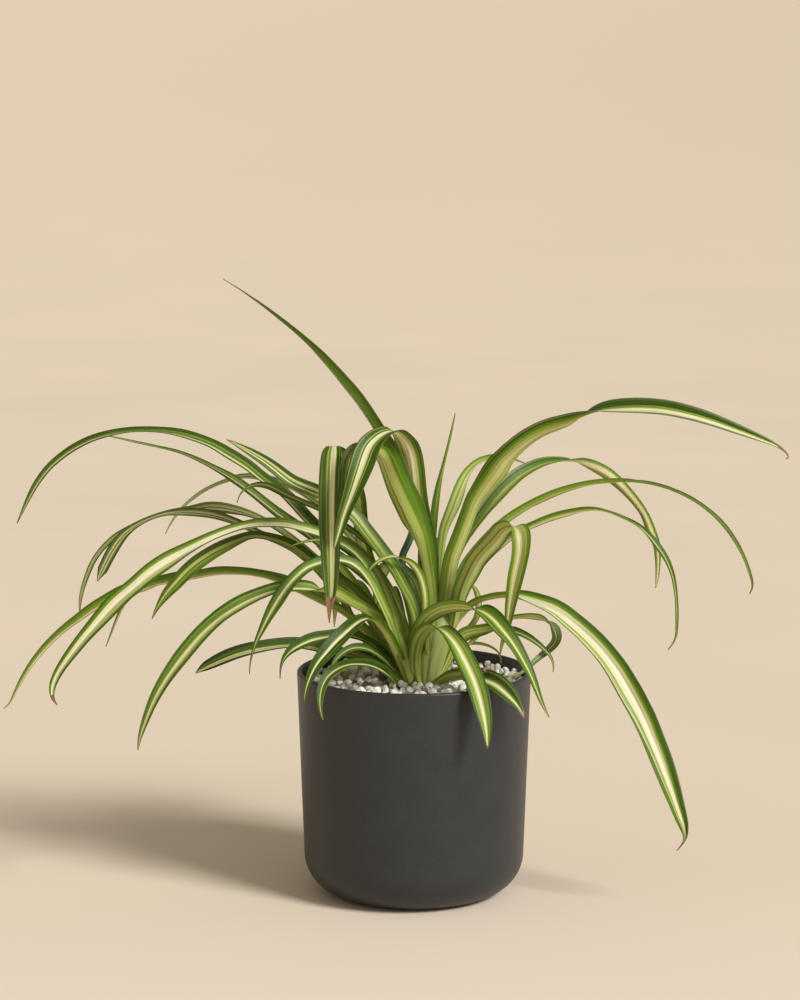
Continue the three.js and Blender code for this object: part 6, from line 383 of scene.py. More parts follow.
        '11.03 -2 148.17 0.865 0.376 -0.332 7.34 46; 11.87 -2.44 149.86 0.825 0.414 -0.384 7.53 46; 13.08 -3.05 151.43 0.751 0.488 -0.444 7.71 46; 14.54 -3.78 152.91 0.703 0.54 -0.463 7.89 46; 16.18 -4.6 154.32 0.679 0.569 -0.465 8.08 46; 17.88 -5.47 155.71 0.677 0.574 -0.461 8.26 46; 19.55 -6.34 157.11 0.696 0.557 -0.454 8.44 46; 21.09 -7.17 158.54 0.737 0.517 -0.436 8.63 46; 22.4 -7.92 160.06 0.802 0.453 -0.39 8.81 46; 23.38 -8.54 161.68 0.884 0.372 -0.284 8.99 46; 23.94 -9 163.44 0.937 0.317 -0.149 9.18 46; 24.25 -9.36 165.39 0.95 0.295 -0.099 9.36 45; 25.31 -10.57 171.22 0.959 0.25 -0.133 10.27 41.9; 26.54 -12.15 177.03 0.967 0.206 -0.152 11.41 38.8; 27.42 -13.38 180.89 0.968 0.184 -0.17 12.15 36.7; 27.89 -14 182.81 0.966 0.172 -0.195 12.51 35.8; 28.93 -14.99 186.52 0.955 0.131 -0.265 13.2 34.8; 30.18 -15.94 190.12 0.939 0.074 -0.336 13.42 33.7; 30.88 -16.43 191.88 0.931 0.048 -0.362 13.84 33.2; 32.33 -17.45 195.36 0.924 0.009 -0.383 14.11 32.1; 33.76 -18.57 198.83 0.922 -0.014 -0.387 14.2 31; 34.48 -19.18 200.55 0.913 -0.018 -0.407 14.15 30.5; 35.25 -19.84 202.24 0.895 -0.016 -0.446 14.07 29.9; 37.06 -21.27 205.44 0.842 -0.008 -0.539 13.95 28.9; 39.13 -22.86 208.44 0.803 -0.013 -0.596 13.89 27.8; 41.31 -24.58 211.3 0.781 -0.016 -0.624 13.82 26.7; 43.56 -26.39 214.07 0.772 -0.001 -0.636 13.84 25.9; 44.69 -27.32 215.44 0.779 0.011 -0.627 13.87 25.7; 45.79 -28.26 216.81 0.798 0.023 -0.602 13.79 25.6; 46.84 -29.22 218.21 0.825 0.037 -0.563 13.58 25.4; 47.82 -30.2 219.65 0.851 0.056 -0.523 13.25 25.2; 48.74 -31.19 221.11 0.863 0.087 -0.498 13.25 25.1; 49.68 -32.22 222.53 0.854 0.135 -0.503 13.07 24.9; 50.69 -33.27 223.86 0.821 0.199 -0.535 12.86 24.7; 51.83 -34.37 225.03 0.769 0.279 -0.575 12.7 24.6; 53.1 -35.5 226 0.71 0.375 -0.596 12.6 24.4; 54.48 -36.65 226.75 0.658 0.494 -0.568 12.54 24.2; 55.93 -37.84 227.24 0.62 0.63 -0.468 12.51 24.1; 57.38 -39.03 227.39 0.614 0.738 -0.28 12.49 23.9; 58.76 -40.23 227.14 0.667 0.744 -0.042 12.48 23.8; 59.97 -41.41 226.44 0.776 0.611 0.154 12.46 23.6; 60.93 -42.54 225.35 0.887 0.393 0.242 12.43 23.4; 61.63 -43.62 223.96 0.955 0.175 0.24 12.38 23.3; 62.06 -44.62 222.37 0.981 0.002 0.196 12.28 23.1; 62.29 -45.54 220.65 0.982 -0.119 0.144 12.15 22.9; 62.37 -46.35 218.85 0.975 -0.202 0.093 11.99 22.8; 62.32 -47.08 217 0.965 -0.26 0.044 11.8 22.6; 62.17 -47.73 215.12 0.954 -0.3 -0.002 11.6 22.4; 61.59 -48.88 211.35 0.936 -0.341 -0.087 11.25 22.1; 60.73 -49.83 207.57 0.928 -0.34 -0.151 11.01 21.8; 59.78 -50.56 203.76 0.932 -0.315 -0.176 10.77 21.4; 58.91 -50.97 199.87 0.937 -0.301 -0.175 10.33 21.1; 58.14 -51.09 195.9 0.935 -0.306 -0.177 9.65 20.8; 57.06 -50.79 189.86 0.931 -0.314 -0.186 8.4 20.3; 55.71 -50.05 181.71 0.935 -0.319 -0.158 6.65 19.2; 55.19 -49.88 177.65 0.935 -0.334 -0.119 5.78 18.4; 54.61 -50.03 173.67 0.921 -0.364 -0.14 4.91 17.7; 54.2 -50.25 171.73 0.909 -0.382 -0.167 4.48 17.3; 53.11 -50.92 167.96 0.891 -0.409 -0.199 3.64 16.6; 51.31 -52.23 162.44 0.889 -0.429 -0.164 2.46 15.5; 50.36 -53.03 158.7 0.894 -0.436 -0.101 1.79 14.7; 49.75 -53.6 154.87 0.895 -0.441 -0.069 0.7 14'),
    'leaf_front_right': ('front_right',
        '8.19 -2 123 0.898 0.167 0.408 8.5 46; 7.5 -2.49 124.72 0.863 0.129 0.489 8.74 46; 6.45 -3.17 126.37 0.801 0.054 0.597 8.98 46; 5.17 -3.99 127.97 0.764 0.002 0.645 9.21 46; 3.78 -4.91 129.55 0.755 -0.025 0.655 9.45 46; 2.38 -5.86 131.11 0.77 -0.025 0.638 9.68 46; 1.11 -6.8 132.7 0.809 0.005 0.588 9.92 46; 0.07 -7.67 134.32 0.87 0.067 0.488 10.16 46; -0.61 -8.42 135.99 0.939 0.158 0.306 10.39 46; -0.83 -9 137.75 0.967 0.231 0.11 10.63 46; -0.78 -9.49 139.69 0.968 0.249 0.037 10.6 44.9; -0.51 -11.05 145.46 0.97 0.242 -0.001 10.49 41.6; -0.12 -12.26 149.24 0.971 0.231 -0.056 10.45 39.4; 0.55 -13.6 152.93 0.966 0.222 -0.131 10.45 37.2; 1.49 -15.06 156.52 0.957 0.217 -0.194 10.47 35.5; 2.65 -16.61 160.01 0.945 0.215 -0.245 10.54 34.4; 4.02 -18.26 163.38 0.925 0.215 -0.314 10.71 33.2; 4.81 -19.13 164.98 0.907 0.212 -0.365 10.86 32.6; 5.7 -20.04 166.52 0.881 0.209 -0.424 11.03 32.1; 6.68 -20.97 167.97 0.848 0.206 -0.488 11.22 31.5; 7.77 -21.93 169.32 0.811 0.204 -0.549 11.4 30.9; 8.95 -22.91 170.59 0.771 0.206 -0.603 11.56 30.3; 10.21 -23.9 171.78 0.732 0.214 -0.647 11.7 29.8; 11.54 -24.9 172.87 0.692 0.231 -0.683 11.81 29.2; 12.95 -25.9 173.87 0.651 0.26 -0.713 11.88 28.6; 14.42 -26.89 174.76 0.608 0.3 -0.735 11.94 28.1; 15.95 -27.88 175.55 0.565 0.347 -0.749 11.97 27.5; 17.55 -28.87 176.21 0.525 0.396 -0.753 11.99 26.9; 20.88 -30.81 177.25 0.467 0.48 -0.742 12 25.9; 24.3 -32.77 177.98 0.436 0.532 -0.726 12 25.6; 27.75 -34.83 178.45 0.426 0.572 -0.701 12 25.2; 29.46 -35.92 178.6 0.442 0.603 -0.664 12 25.1; 31.17 -37.06 178.71 0.479 0.649 -0.591 12 24.9; 32.86 -38.25 178.79 0.532 0.706 -0.467 12 24.7; 34.53 -39.5 178.84 0.584 0.758 -0.291 12 24.5; 36.18 -40.8 178.81 0.624 0.777 -0.082 11.99 24.4; 37.8 -42.15 178.65 0.652 0.749 0.12 11.98 24.2; 39.4 -43.53 178.33 0.674 0.684 0.281 11.97 24; 40.95 -44.93 177.85 0.693 0.606 0.39 11.96 23.8; 42.46 -46.33 177.23 0.713 0.532 0.456 11.95 23.6; 43.91 -47.71 176.49 0.735 0.467 0.492 11.96 23.5; 45.28 -49.07 175.61 0.76 0.408 0.506 11.96 23.3; 46.59 -50.37 174.6 0.783 0.36 0.508 11.96 23.1; 47.82 -51.58 173.48 0.801 0.328 0.5 11.92 22.9; 49.01 -52.7 172.26 0.811 0.32 0.489 11.81 22.8; 50.17 -53.7 170.97 0.812 0.337 0.476 11.62 22.6; 51.33 -54.58 169.63 0.805 0.377 0.459 11.35 22.4; 53.64 -56 166.82 0.776 0.479 0.41 10.71 22.1; 54.78 -56.58 165.35 0.761 0.523 0.383 10.39 21.9; 56.98 -57.59 162.3 0.746 0.573 0.338 9.79 21.5; 60.08 -59.02 157.53 0.768 0.567 0.298 8.9 21; 62.97 -60.51 152.58 0.786 0.552 0.278 7.93 20.5; 65.71 -62.01 147.5 0.792 0.561 0.242 6.85 19.9; 68.17 -63.42 142.23 0.8 0.564 0.206 5.67 18.7; 70.37 -64.56 136.78 0.814 0.538 0.221 4.41 17.6; 72.55 -65.38 131.26 0.817 0.502 0.284 3.17 16.4; 74.18 -65.73 127.63 0.79 0.508 0.343 2.4 15.6; 77.83 -66 120.53 0.735 0.567 0.371 0.7 14'),
    'leaf_front_centre': ('front_centre',
        '8.19 -2 123 0.846 -0.361 0.392 8.7 46; 7.15 -3.07 124.26 0.796 -0.443 0.412 9.24 46; 5.64 -4.62 125.1 0.758 -0.511 0.406 9.79 46; 4.17 -6.12 125.98 0.81 -0.416 0.414 10.33 46; 3.27 -7 127.34 0.913 -0.262 0.313 10.87 46; 2.7 -7.41 129.21 0.95 -0.208 0.231 10.96 44.8; 2.18 -7.83 131.09 0.966 -0.166 0.199 11.05 43.6; 1.77 -8.27 133 0.983 -0.107 0.152 11.14 42.4; 1.49 -8.72 134.93 0.994 -0.035 0.103 11.22 41.2; 1.33 -9.23 136.88 0.997 0.04 0.064 11.28 40; 1.28 -9.8 138.85 0.993 0.109 0.042 11.32 38.8; 1.3 -10.46 140.83 0.986 0.164 0.036 11.35 37.5; 1.37 -11.23 142.81 0.978 0.204 0.037 11.37 36.3; 1.5 -12.15 144.78 0.972 0.23 0.039 11.41 35.5; 1.69 -13.22 146.75 0.967 0.255 0.028 11.48 34.9; 2.27 -15.32 150.52 0.954 0.3 -0.011 11.76 33.7; 3.15 -17.54 154.07 0.937 0.345 -0.064 12.22 32.4; 3.72 -18.64 155.73 0.924 0.369 -0.102 12.47 31.8; 4.37 -19.7 157.31 0.907 0.394 -0.147 12.72 31.1; 5.12 -20.73 158.78 0.887 0.417 -0.197 12.93 30.5; 5.96 -21.74 160.14 0.863 0.439 -0.25 13.11 29.9; 6.89 -22.75 161.36 0.835 0.46 -0.301 13.25 29.2; 7.9 -23.76 162.44 0.805 0.483 -0.346 13.35 28.6; 8.99 -24.81 163.36 0.773 0.514 -0.373 13.42 28; 10.13 -25.9 164.11 0.745 0.555 -0.371 13.46 27.4; 11.32 -27.07 164.67 0.726 0.601 -0.333 13.48 26.7; 12.54 -28.3 165.03 0.723 0.64 -0.261 13.49 26.1; 13.75 -29.6 165.18 0.734 0.657 -0.173 13.5 25.8; 14.95 -30.97 165.13 0.755 0.649 -0.095 13.5 25.6; 16.11 -32.39 164.87 0.779 0.626 -0.047 13.5 25.4; 17.23 -33.86 164.43 0.799 0.601 -0.029 13.5 25.3; 18.29 -35.34 163.85 0.812 0.582 -0.029 13.5 25.1; 20.31 -38.33 162.35 0.825 0.564 -0.032 13.5 24.7; 22.25 -41.28 160.54 0.837 0.547 -0.003 13.47 24.3; 24.1 -44.17 158.52 0.86 0.508 0.042 13.41 23.9; 26.65 -48.45 155.15 0.903 0.415 0.114 13.18 23.3; 28.97 -52.65 151.49 0.923 0.334 0.193 12.96 22.7; 30.5 -55.38 148.93 0.926 0.303 0.227 12.92 22.4; 32 -58.01 146.25 0.93 0.283 0.233 12.93 22; 34.1 -61.74 141.99 0.942 0.258 0.214 12.91 21.4; 35.95 -65.19 137.44 0.955 0.235 0.183 12.76 20.8; 37.03 -67.29 134.24 0.96 0.224 0.167 12.52 20.4; 38.02 -69.18 130.9 0.963 0.218 0.157 12.04 20; 38.95 -70.87 127.43 0.967 0.211 0.144 11.23 19.2; 40.14 -73.21 122.07 0.975 0.195 0.107 9.51 17.9; 40.77 -74.71 118.42 0.979 0.188 0.074 8.08 17; 41.25 -76.1 114.71 0.979 0.2 0.036 6.37 16.2; 41.72 -77.9 109.02 0.964 0.265 -0.017 3.45 14.9; 41.93 -79 105.18 0.95 0.308 -0.038 0.7 14'),
    'leaf_low_right': ('low_right',
        '8.19 -2 123 0.702 0.086 -0.707 6.5 46; 9.44 -3.05 124.12 0.608 0.185 -0.772 7.04 46; 11.13 -4.5 124.72 0.579 0.252 -0.776 7.58 46; 12.45 -6 125.41 0.697 0.127 -0.706 8.12 46; 13.37 -7.47 126.39 0.761 0.04 -0.648 8.18 44.1; 16.14 -11.89 129.28 0.759 0.082 -0.646 8.58 38.6; 18.08 -14.9 131.04 0.741 0.132 -0.658 9.13 35.4; 20.13 -17.96 132.54 0.713 0.184 -0.676 9.86 33.5; 23.38 -22.65 134.42 0.686 0.221 -0.693 10.86 30.6; 26.7 -27.51 136.08 0.662 0.22 -0.717 11.37 27.7; 28.94 -30.87 137.06 0.624 0.216 -0.751 11.47 25.9; 30.08 -32.6 137.48 0.605 0.218 -0.766 11.49 25.6; 31.24 -34.36 137.88 0.599 0.23 -0.767 11.49 25.3; 32.41 -36.15 138.24 0.619 0.263 -0.74 11.49 25; 33.61 -37.96 138.58 0.673 0.326 -0.664 11.48 24.7; 34.82 -39.78 138.9 0.751 0.418 -0.511 11.47 24.4; 36.05 -41.61 139.18 0.814 0.514 -0.271 11.44 24.1; 37.3 -43.43 139.42 0.819 0.573 0.024 11.41 23.9; 38.57 -45.24 139.6 0.761 0.574 0.304 11.38 23.6; 39.87 -47 139.72 0.674 0.53 0.514 11.38 23.3; 41.19 -48.71 139.76 0.599 0.476 0.644 11.4 23; 42.52 -50.35 139.72 0.556 0.429 0.712 11.47 22.7; 43.87 -51.89 139.58 0.545 0.393 0.741 11.55 22.4; 45.22 -53.33 139.32 0.555 0.364 0.748 11.64 22.1; 46.57 -54.66 138.92 0.58 0.337 0.741 11.7 21.8; 47.91 -55.87 138.37 0.613 0.31 0.726 11.7 21.5; 49.23 -56.98 137.67 0.648 0.285 0.706 11.61 21.2; 50.52 -58 136.83 0.681 0.264 0.683 11.41 20.9; 51.79 -58.93 135.87 0.708 0.25 0.66 11.1 20.6; 53.04 -59.8 134.81 0.731 0.244 0.637 10.65 20.3; 54.27 -60.63 133.67 0.751 0.248 0.612 10.06 20; 55.48 -61.44 132.47 0.769 0.264 0.583 9.32 19.3; 57.84 -62.99 129.91 0.803 0.332 0.495 7.44 18; 60.01 -64.47 127.07 0.833 0.425 0.353 5.26 16.7; 60.97 -65.16 125.51 0.838 0.472 0.273 4.18 16; 61.82 -65.83 123.88 0.834 0.515 0.2 3.19 15.3; 63.28 -67.1 120.43 0.807 0.579 0.116 0.7 14'),
    'leaf_wide_right': ('wide_right',
        '8.72 -2 130.19 0.747 0.601 -0.284 7.22 46; 9.41 -2.04 131.92 0.711 0.614 -0.343 7.44 46; 10.44 -2.07 133.64 0.646 0.639 -0.418 7.67 46; 11.68 -2.09 135.35 0.608 0.658 -0.445 7.89 46; 13.02 -2.14 137.05 0.6 0.667 -0.442 8.12 46; 14.34 -2.23 138.75 0.622 0.666 -0.411 8.35 46; 15.54 -2.4 140.45 0.674 0.653 -0.346 8.57 46; 16.49 -2.64 142.16 0.749 0.624 -0.226 8.8 46; 17.07 -3 143.87 0.807 0.586 -0.076 9.02 46; 17.43 -3.47 145.78 0.826 0.564 -0.023 9.05 45.4; 18.26 -4.39 149.58 0.825 0.56 -0.074 9.14 44.1; 19.34 -5.26 153.3 0.811 0.566 -0.15 9.29 42.8; 20 -5.64 155.12 0.795 0.572 -0.202 9.39 42.1; 20.75 -5.95 156.89 0.769 0.581 -0.267 9.51 41.5; 21.61 -6.16 158.6 0.73 0.591 -0.343 9.64 40.8; 22.57 -6.25 160.24 0.68 0.598 -0.424 9.78 40.2; 23.62 -6.19 161.79 0.635 0.607 -0.479 9.94 39.5; 25.96 -5.99 164.75 0.55 0.634 -0.544 10.28 38.2; 27.21 -5.81 166.14 0.51 0.656 -0.556 10.46 37.6; 28.5 -5.64 167.49 0.48 0.69 -0.543 10.65 37; 29.8 -5.5 168.82 0.463 0.733 -0.499 10.85 36.3; 31.09 -5.46 170.16 0.456 0.781 -0.427 11.05 35.8; 32.36 -5.53 171.51 0.453 0.826 -0.336 11.25 35.5; 33.64 -5.75 172.87 0.45 0.86 -0.242 11.46 35.2; 34.97 -6.14 174.19 0.454 0.877 -0.158 11.67 34.8; 36.39 -6.72 175.41 0.472 0.876 -0.095 11.88 34.5; 37.92 -7.48 176.51 0.501 0.863 -0.058 12.09 34.1; 39.55 -8.41 177.48 0.533 0.845 -0.044 12.3 33.8; 41.26 -9.49 178.32 0.56 0.827 -0.044 12.5 33.5; 43.01 -10.67 179.07 0.578 0.814 -0.051 12.7 33.1; 46.61 -13.19 180.34 0.586 0.807 -0.078 13.09 32.5; 50.26 -15.65 181.36 0.551 0.827 -0.114 13.44 31.8; 52.11 -16.78 181.75 0.516 0.848 -0.123 13.6 31.4; 53.98 -17.81 182.04 0.473 0.874 -0.114 13.75 31.1; 55.87 -18.75 182.19 0.426 0.901 -0.082 13.89 30.8; 57.76 -19.59 182.2 0.386 0.922 -0.025 14.02 30.4; 59.66 -20.34 182.07 0.359 0.932 0.048 14.13 30.1; 61.55 -21.03 181.82 0.348 0.929 0.123 14.22 29.8; 63.43 -21.67 181.47 0.349 0.918 0.189 14.3 29.4; 67.16 -22.91 180.6 0.363 0.888 0.284 14.42 28.7; 72.7 -24.66 179.09 0.361 0.851 0.38 14.49 27.7; 76.41 -25.71 178.01 0.359 0.824 0.439 14.5 27.1; 80.07 -26.66 176.73 0.395 0.78 0.485 14.5 26.4; 83.58 -27.55 175.07 0.461 0.724 0.513 14.5 25.9; 86.9 -28.41 173.05 0.532 0.664 0.526 14.5 25.7; 90.05 -29.25 170.74 0.576 0.614 0.54 14.5 25.5; 96.29 -30.86 165.99 0.597 0.54 0.593 14.5 25.1; 100.82 -32 162.24 0.647 0.472 0.599 14.5 24.8; 105.15 -33.1 158.23 0.687 0.414 0.597 14.5 24.5; 107.9 -33.8 155.42 0.72 0.391 0.574 14.52 24.3; 111.75 -34.8 150.93 0.76 0.375 0.532 14.62 23.9; 115.38 -35.77 146.25 0.778 0.359 0.516 14.93 23.6; 118.88 -36.74 141.47 0.811 0.303 0.501 15.37 23.3; 122.11 -37.73 136.52 0.847 0.22 0.485 15.37 23; 125.19 -38.73 131.46 0.862 0.175 0.476 15.69 22.7; 128.12 -39.71 126.32 0.877 0.166 0.45 15.67 22.4; 130.91 -40.65 121.09 0.885 0.186 0.427 15.37 22.1; 134.4 -41.88 114 0.895 0.251 0.37 15.37 21.7; 136.79 -42.82 108.57 0.901 0.271 0.338 15.13 21.4; 139.86 -44.08 101.29 0.903 0.273 0.331 14.73 21; 142.88 -45.36 93.98 0.909 0.27 0.318 14.43 20.5; 145.71 -46.66 86.62 0.919 0.266 0.292 13.91 20.1; 148.4 -47.81 79.17 0.917 0.266 0.296 12.88 19.3; 151.09 -48.61 71.67 0.917 0.266 0.298 11.38 18.4; 153.71 -49.25 64.14 0.92 0.248 0.304 9.63 17.5; 155.74 -49.75 58.51 0.932 0.157 0.326 8.27 16.8; 157.1 -50.11 54.77 0.944 0.011 0.33 7.14 16.3; 157.75 -50.3 52.89 0.944 -0.098 0.314 6.44 16.1; 158.32 -50.47 50.99 0.934 -0.231 0.273 5.64 15.9; 158.78 -50.62 49.07 0.904 -0.381 0.196 4.76 15.6; 159.04 -50.75 47.16 0.843 -0.532 0.076 3.87 15.4; 158.98 -50.85 45.27 0.743 -0.666 -0.07 3.02 15.2; 158.54 -50.92 43.47 0.611 -0.767 -0.196 2.29 14.9; 157.72 -50.96 41.77 0.485 -0.834 -0.264 1.72 14.7; 156.63 -50.98 40.17 0.396 -0.873 -0.285 1.32 14.5; 154.08 -51 37.12 0.325 -0.905 -0.276 0.7 14'),
    'leaf_loop_low': ('loop_low',
        '8.65 -2 129.46 0.783 0.477 -0.398 3.29 46; 9.52 -2.06 131.1 0.762 0.475 -0.44 3.34 46; 10.58 -2.13 132.67 0.716 0.473 -0.513 3.39 46; 11.82 -2.2 134.18 0.671 0.475 -0.569 3.43 46; 14.71 -2.37 137.03 0.595 0.482 -0.643 3.53 46; 18.03 -2.56 139.71 0.542 0.491 -0.682 3.63 46; 25.26 -3.04 144.73 0.51 0.499 -0.7 3.82 46; 28.83 -3.33 147.18 0.531 0.497 -0.686 3.92 46; 32.13 -3.65 149.65 0.579 0.49 -0.652 4.01 46; 33.63 -3.82 150.91 0.614 0.484 -0.624 4.06 46; 35 -4 152.2 0.656 0.477 -0.585 4.11 46; 37.76 -4.4 155.1 0.643 0.503 -0.578 4.27 42.7; 40.72 -4.82 157.79 0.58 0.554 -0.598 4.54 39.5; 43.88 -5.32 160.22 0.525 0.621 -0.582 4.91 36.2; 47.17 -5.96 162.44 0.49 0.694 -0.527 5.34 34.4; 50.54 -6.79 164.48 0.461 0.759 -0.46 5.76 32.7; 52.26 -7.26 165.4 0.434 0.785 -0.442 5.94 31.8; 54.02 -7.75 166.19 0.394 0.806 -0.442 6.1 31; 55.84 -8.24 166.82 0.348 0.818 -0.458 6.23 30.1; 57.72 -8.72 167.27 0.303 0.819 -0.486 6.33 29.3; 61.59 -9.63 167.84 0.247 0.785 -0.569 6.45 27.6; 67.45 -10.93 168.42 0.19 0.674 -0.714 6.52 25.7; 69.41 -11.37 168.48 0.148 0.64 -0.754 6.57 25.4; 71.35 -11.82 168.43 0.094 0.624 -0.776 6.65 25.2; 73.28 -12.28 168.22 0.039 0.647 -0.761 6.78 24.9; 75.15 -12.76 167.82 0 0.726 -0.688 6.89 24.7; 76.95 -13.25 167.2 0.012 0.847 -0.532 6.89 24.4; 78.63 -13.75 166.33 0.117 0.947 -0.298 7.31 24.1; 80.18 -14.26 165.24 0.307 0.951 -0.041 7.39 23.9; 81.57 -14.8 163.97 0.523 0.837 0.159 7.34 23.6; 82.76 -15.36 162.55 0.715 0.654 0.247 7.17 23.3; 83.66 -15.96 160.99 0.865 0.455 0.209 6.89 23.1; 84.19 -16.6 159.33 0.963 0.262 0.065 6.61 22.8; 84.25 -17.28 157.65 0.988 0.075 -0.137 6.3 22.6; 83.83 -17.98 156.02 0.938 -0.098 -0.332 6.02 22.3; 82.99 -18.68 154.5 0.85 -0.24 -0.469 5.77 22; 81.83 -19.39 153.12 0.767 -0.343 -0.542 5.52 21.8; 80.47 -20.12 151.85 0.712 -0.412 -0.569 5.28 21.5; 79.01 -20.91 150.68 0.683 -0.452 -0.574 5.04 21.3; 77.48 -21.77 149.59 0.673 -0.471 -0.569 4.79 21; 75.93 -22.73 148.55 0.677 -0.476 -0.562 4.54 20.7; 72.8 -24.99 146.53 0.721 -0.455 -0.523 4.02 20.2; 69.85 -27.69 144.39 0.783 -0.425 -0.454 3.43 19.3; 66.98 -30.74 142.21 0.765 -0.446 -0.465 2.77 18.1; 65.41 -32.33 141.3 0.714 -0.477 -0.512 2.44 17.5; 63.7 -33.93 140.61 0.65 -0.514 -0.559 2.11 16.9; 61.88 -35.51 140.12 0.591 -0.552 -0.588 1.8 16.4; 59.98 -37.03 139.78 0.546 -0.589 -0.595 1.52 15.8; 58.04 -38.45 139.51 0.512 -0.626 -0.588 1.28 15.2; 54.14 -40.81 138.99 0.464 -0.684 -0.563 0.7 14'),
    'leaf_pale_low_right': ('pale_low_right',
        '8.19 -2 123 0.784 0.303 -0.542 5.22 46; 9.56 -2.3 124.81 0.717 0.324 -0.617 5.65 46; 11.48 -2.72 126.45 0.689 0.332 -0.644 6.09 46; 13.03 -3 128.17 0.784 0.299 -0.544 6.52 46; 14.02 -3.1 129.89 0.841 0.279 -0.464 6.7 44.4; 16.94 -3.54 135.04 0.868 0.212 -0.448 7.63 39.6; 18.72 -3.96 138.54 0.903 0.146 -0.405 8.18 36.4; 20.28 -4.4 142.15 0.924 0.091 -0.373 8.74 34.5; 21.8 -4.82 145.78 0.915 0.057 -0.4 9.28 32.9; 23.53 -5.26 149.31 0.88 0.035 -0.473 9.79 31.2; 24.5 -5.52 151.01 0.856 0.024 -0.516 9.94 30.3; 25.55 -5.81 152.65 0.824 0.012 -0.567 9.85 29.5; 26.71 -6.13 154.2 0.775 0.001 -0.633 9.77 28.7; 27.98 -6.5 155.62 0.701 -0.006 -0.714 9.69 27.8; 29.41 -6.9 156.86 0.597 -0.005 -0.802 9.61 27; 30.99 -7.33 157.86 0.473 0.005 -0.881 9.54 26.2; 32.7 -7.79 158.62 0.355 0.021 -0.935 9.5 25.8; 34.5 -8.27 159.18 0.275 0.037 -0.961 9.31 25.5; 36.34 -8.78 159.63 0.25 0.056 -0.967 8.91 25.3; 38.18 -9.33 160.07 0.269 0.082 -0.96 8.44 25; 40 -9.93 160.55 0.305 0.129 -0.944 8 24.8; 41.79 -10.58 161.06 0.329 0.213 -0.92 7.95 24.5; 43.57 -11.27 161.52 0.332 0.344 -0.878 7.86 24.3; 45.36 -11.99 161.86 0.326 0.516 -0.792 7.66 24; 47.18 -12.73 162.06 0.329 0.698 -0.636 7.5 23.7; 49 -13.46 162.13 0.348 0.845 -0.406 7.37 23.5; 50.84 -14.2 162.12 0.369 0.919 -0.14 7.25 23.2; 52.67 -14.95 162.05 0.381 0.918 0.108 7.12 23; 54.5 -15.7 161.93 0.384 0.875 0.295 6.98 22.7; 56.33 -16.46 161.77 0.388 0.824 0.412 6.82 22.5; 58.15 -17.22 161.54 0.402 0.783 0.475 6.63 22.2; 59.95 -17.98 161.21 0.426 0.754 0.5 6.43 21.9; 61.73 -18.74 160.78 0.456 0.734 0.504 6.21 21.7; 65.2 -20.24 159.56 0.51 0.71 0.486 5.71 21.2; 68.55 -21.68 157.95 0.547 0.699 0.46 5.14 20.7; 71.75 -22.98 155.99 0.57 0.692 0.444 4.51 20.2; 74.81 -24.12 153.73 0.591 0.674 0.443 3.81 19.2; 77.67 -25.06 151.19 0.633 0.644 0.43 3.06 18; 78.96 -25.43 149.77 0.667 0.627 0.402 2.68 17.5; 80.1 -25.74 148.22 0.712 0.61 0.349 2.29 16.9; 81.02 -25.99 146.55 0.761 0.592 0.267 1.91 16.3; 81.66 -26.18 144.76 0.803 0.575 0.156 1.57 15.7; 81.98 -26.34 142.89 0.828 0.56 0.034 1.26 15.2; 81.85 -26.59 139.05 0.832 0.546 -0.102 0.7 14'),
    'leaf_hook_small': ('hook_small',
        '8.31 -2 124.9 0.798 0.473 -0.374 3 46; 9.06 -1.87 126.67 0.769 0.468 -0.436 2.97 46; 10.1 -1.69 128.41 0.711 0.461 -0.531 2.95 46; 11.37 -1.47 130.11 0.667 0.457 -0.589 2.92 46; 14.25 -0.96 133.46 0.631 0.455 -0.629 2.87 46; 17.1 -0.44 136.77 0.667 0.455 -0.59 2.81 46; 18.31 -0.21 138.44 0.713 0.459 -0.53 2.79 46; 19.29 0 140.11 0.76 0.466 -0.453 2.76 46; 21.01 0.4 143.72 0.745 0.51 -0.43 2.94 39.8; 22.9 0.8 147.22 0.689 0.551 -0.471 3.25 34.8; 25.07 1.19 150.57 0.638 0.566 -0.522 3.6 31.6; 27.49 1.6 153.74 0.609 0.545 -0.576 3.85 28.3; 30.13 2.07 156.71 0.588 0.483 -0.649 3.96 25.7; 32.95 2.6 159.49 0.609 0.393 -0.689 4.01 24.7; 34.32 2.88 160.9 0.664 0.348 -0.662 4.03 24.2; 35.57 3.16 162.41 0.743 0.307 -0.595 4.06 23.8; 36.62 3.42 164.05 0.826 0.267 -0.497 4.1 23.3; 37.45 3.67 165.81 0.893 0.228 -0.387 4.14 22.8; 38.06 3.92 167.67 0.941 0.188 -0.28 4.18 22.3; 38.47 4.18 169.59 0.972 0.148 -0.181 4.21 21.8; 38.7 4.45 171.54 0.991 0.107 -0.086 4.21 21.3; 38.75 4.75 173.5 0.998 0.066 0.007 4.18 20.8; 38.63 5.08 175.46 0.995 0.026 0.098 4.1 20.3; 38.34 5.46 177.39 0.981 -0.009 0.191 3.95 19.6; 37.89 5.9 179.26 0.954 -0.035 0.296 3.7 18.4; 37.24 6.38 181.04 0.906 -0.046 0.42 3.35 17.3; 36.36 6.91 182.69 0.835 -0.044 0.548 2.91 16.2; 33.97 7.99 185.58 0.73 -0.05 0.682 0.7 14'),
    'leaf_brown_thread': ('brown_thread',
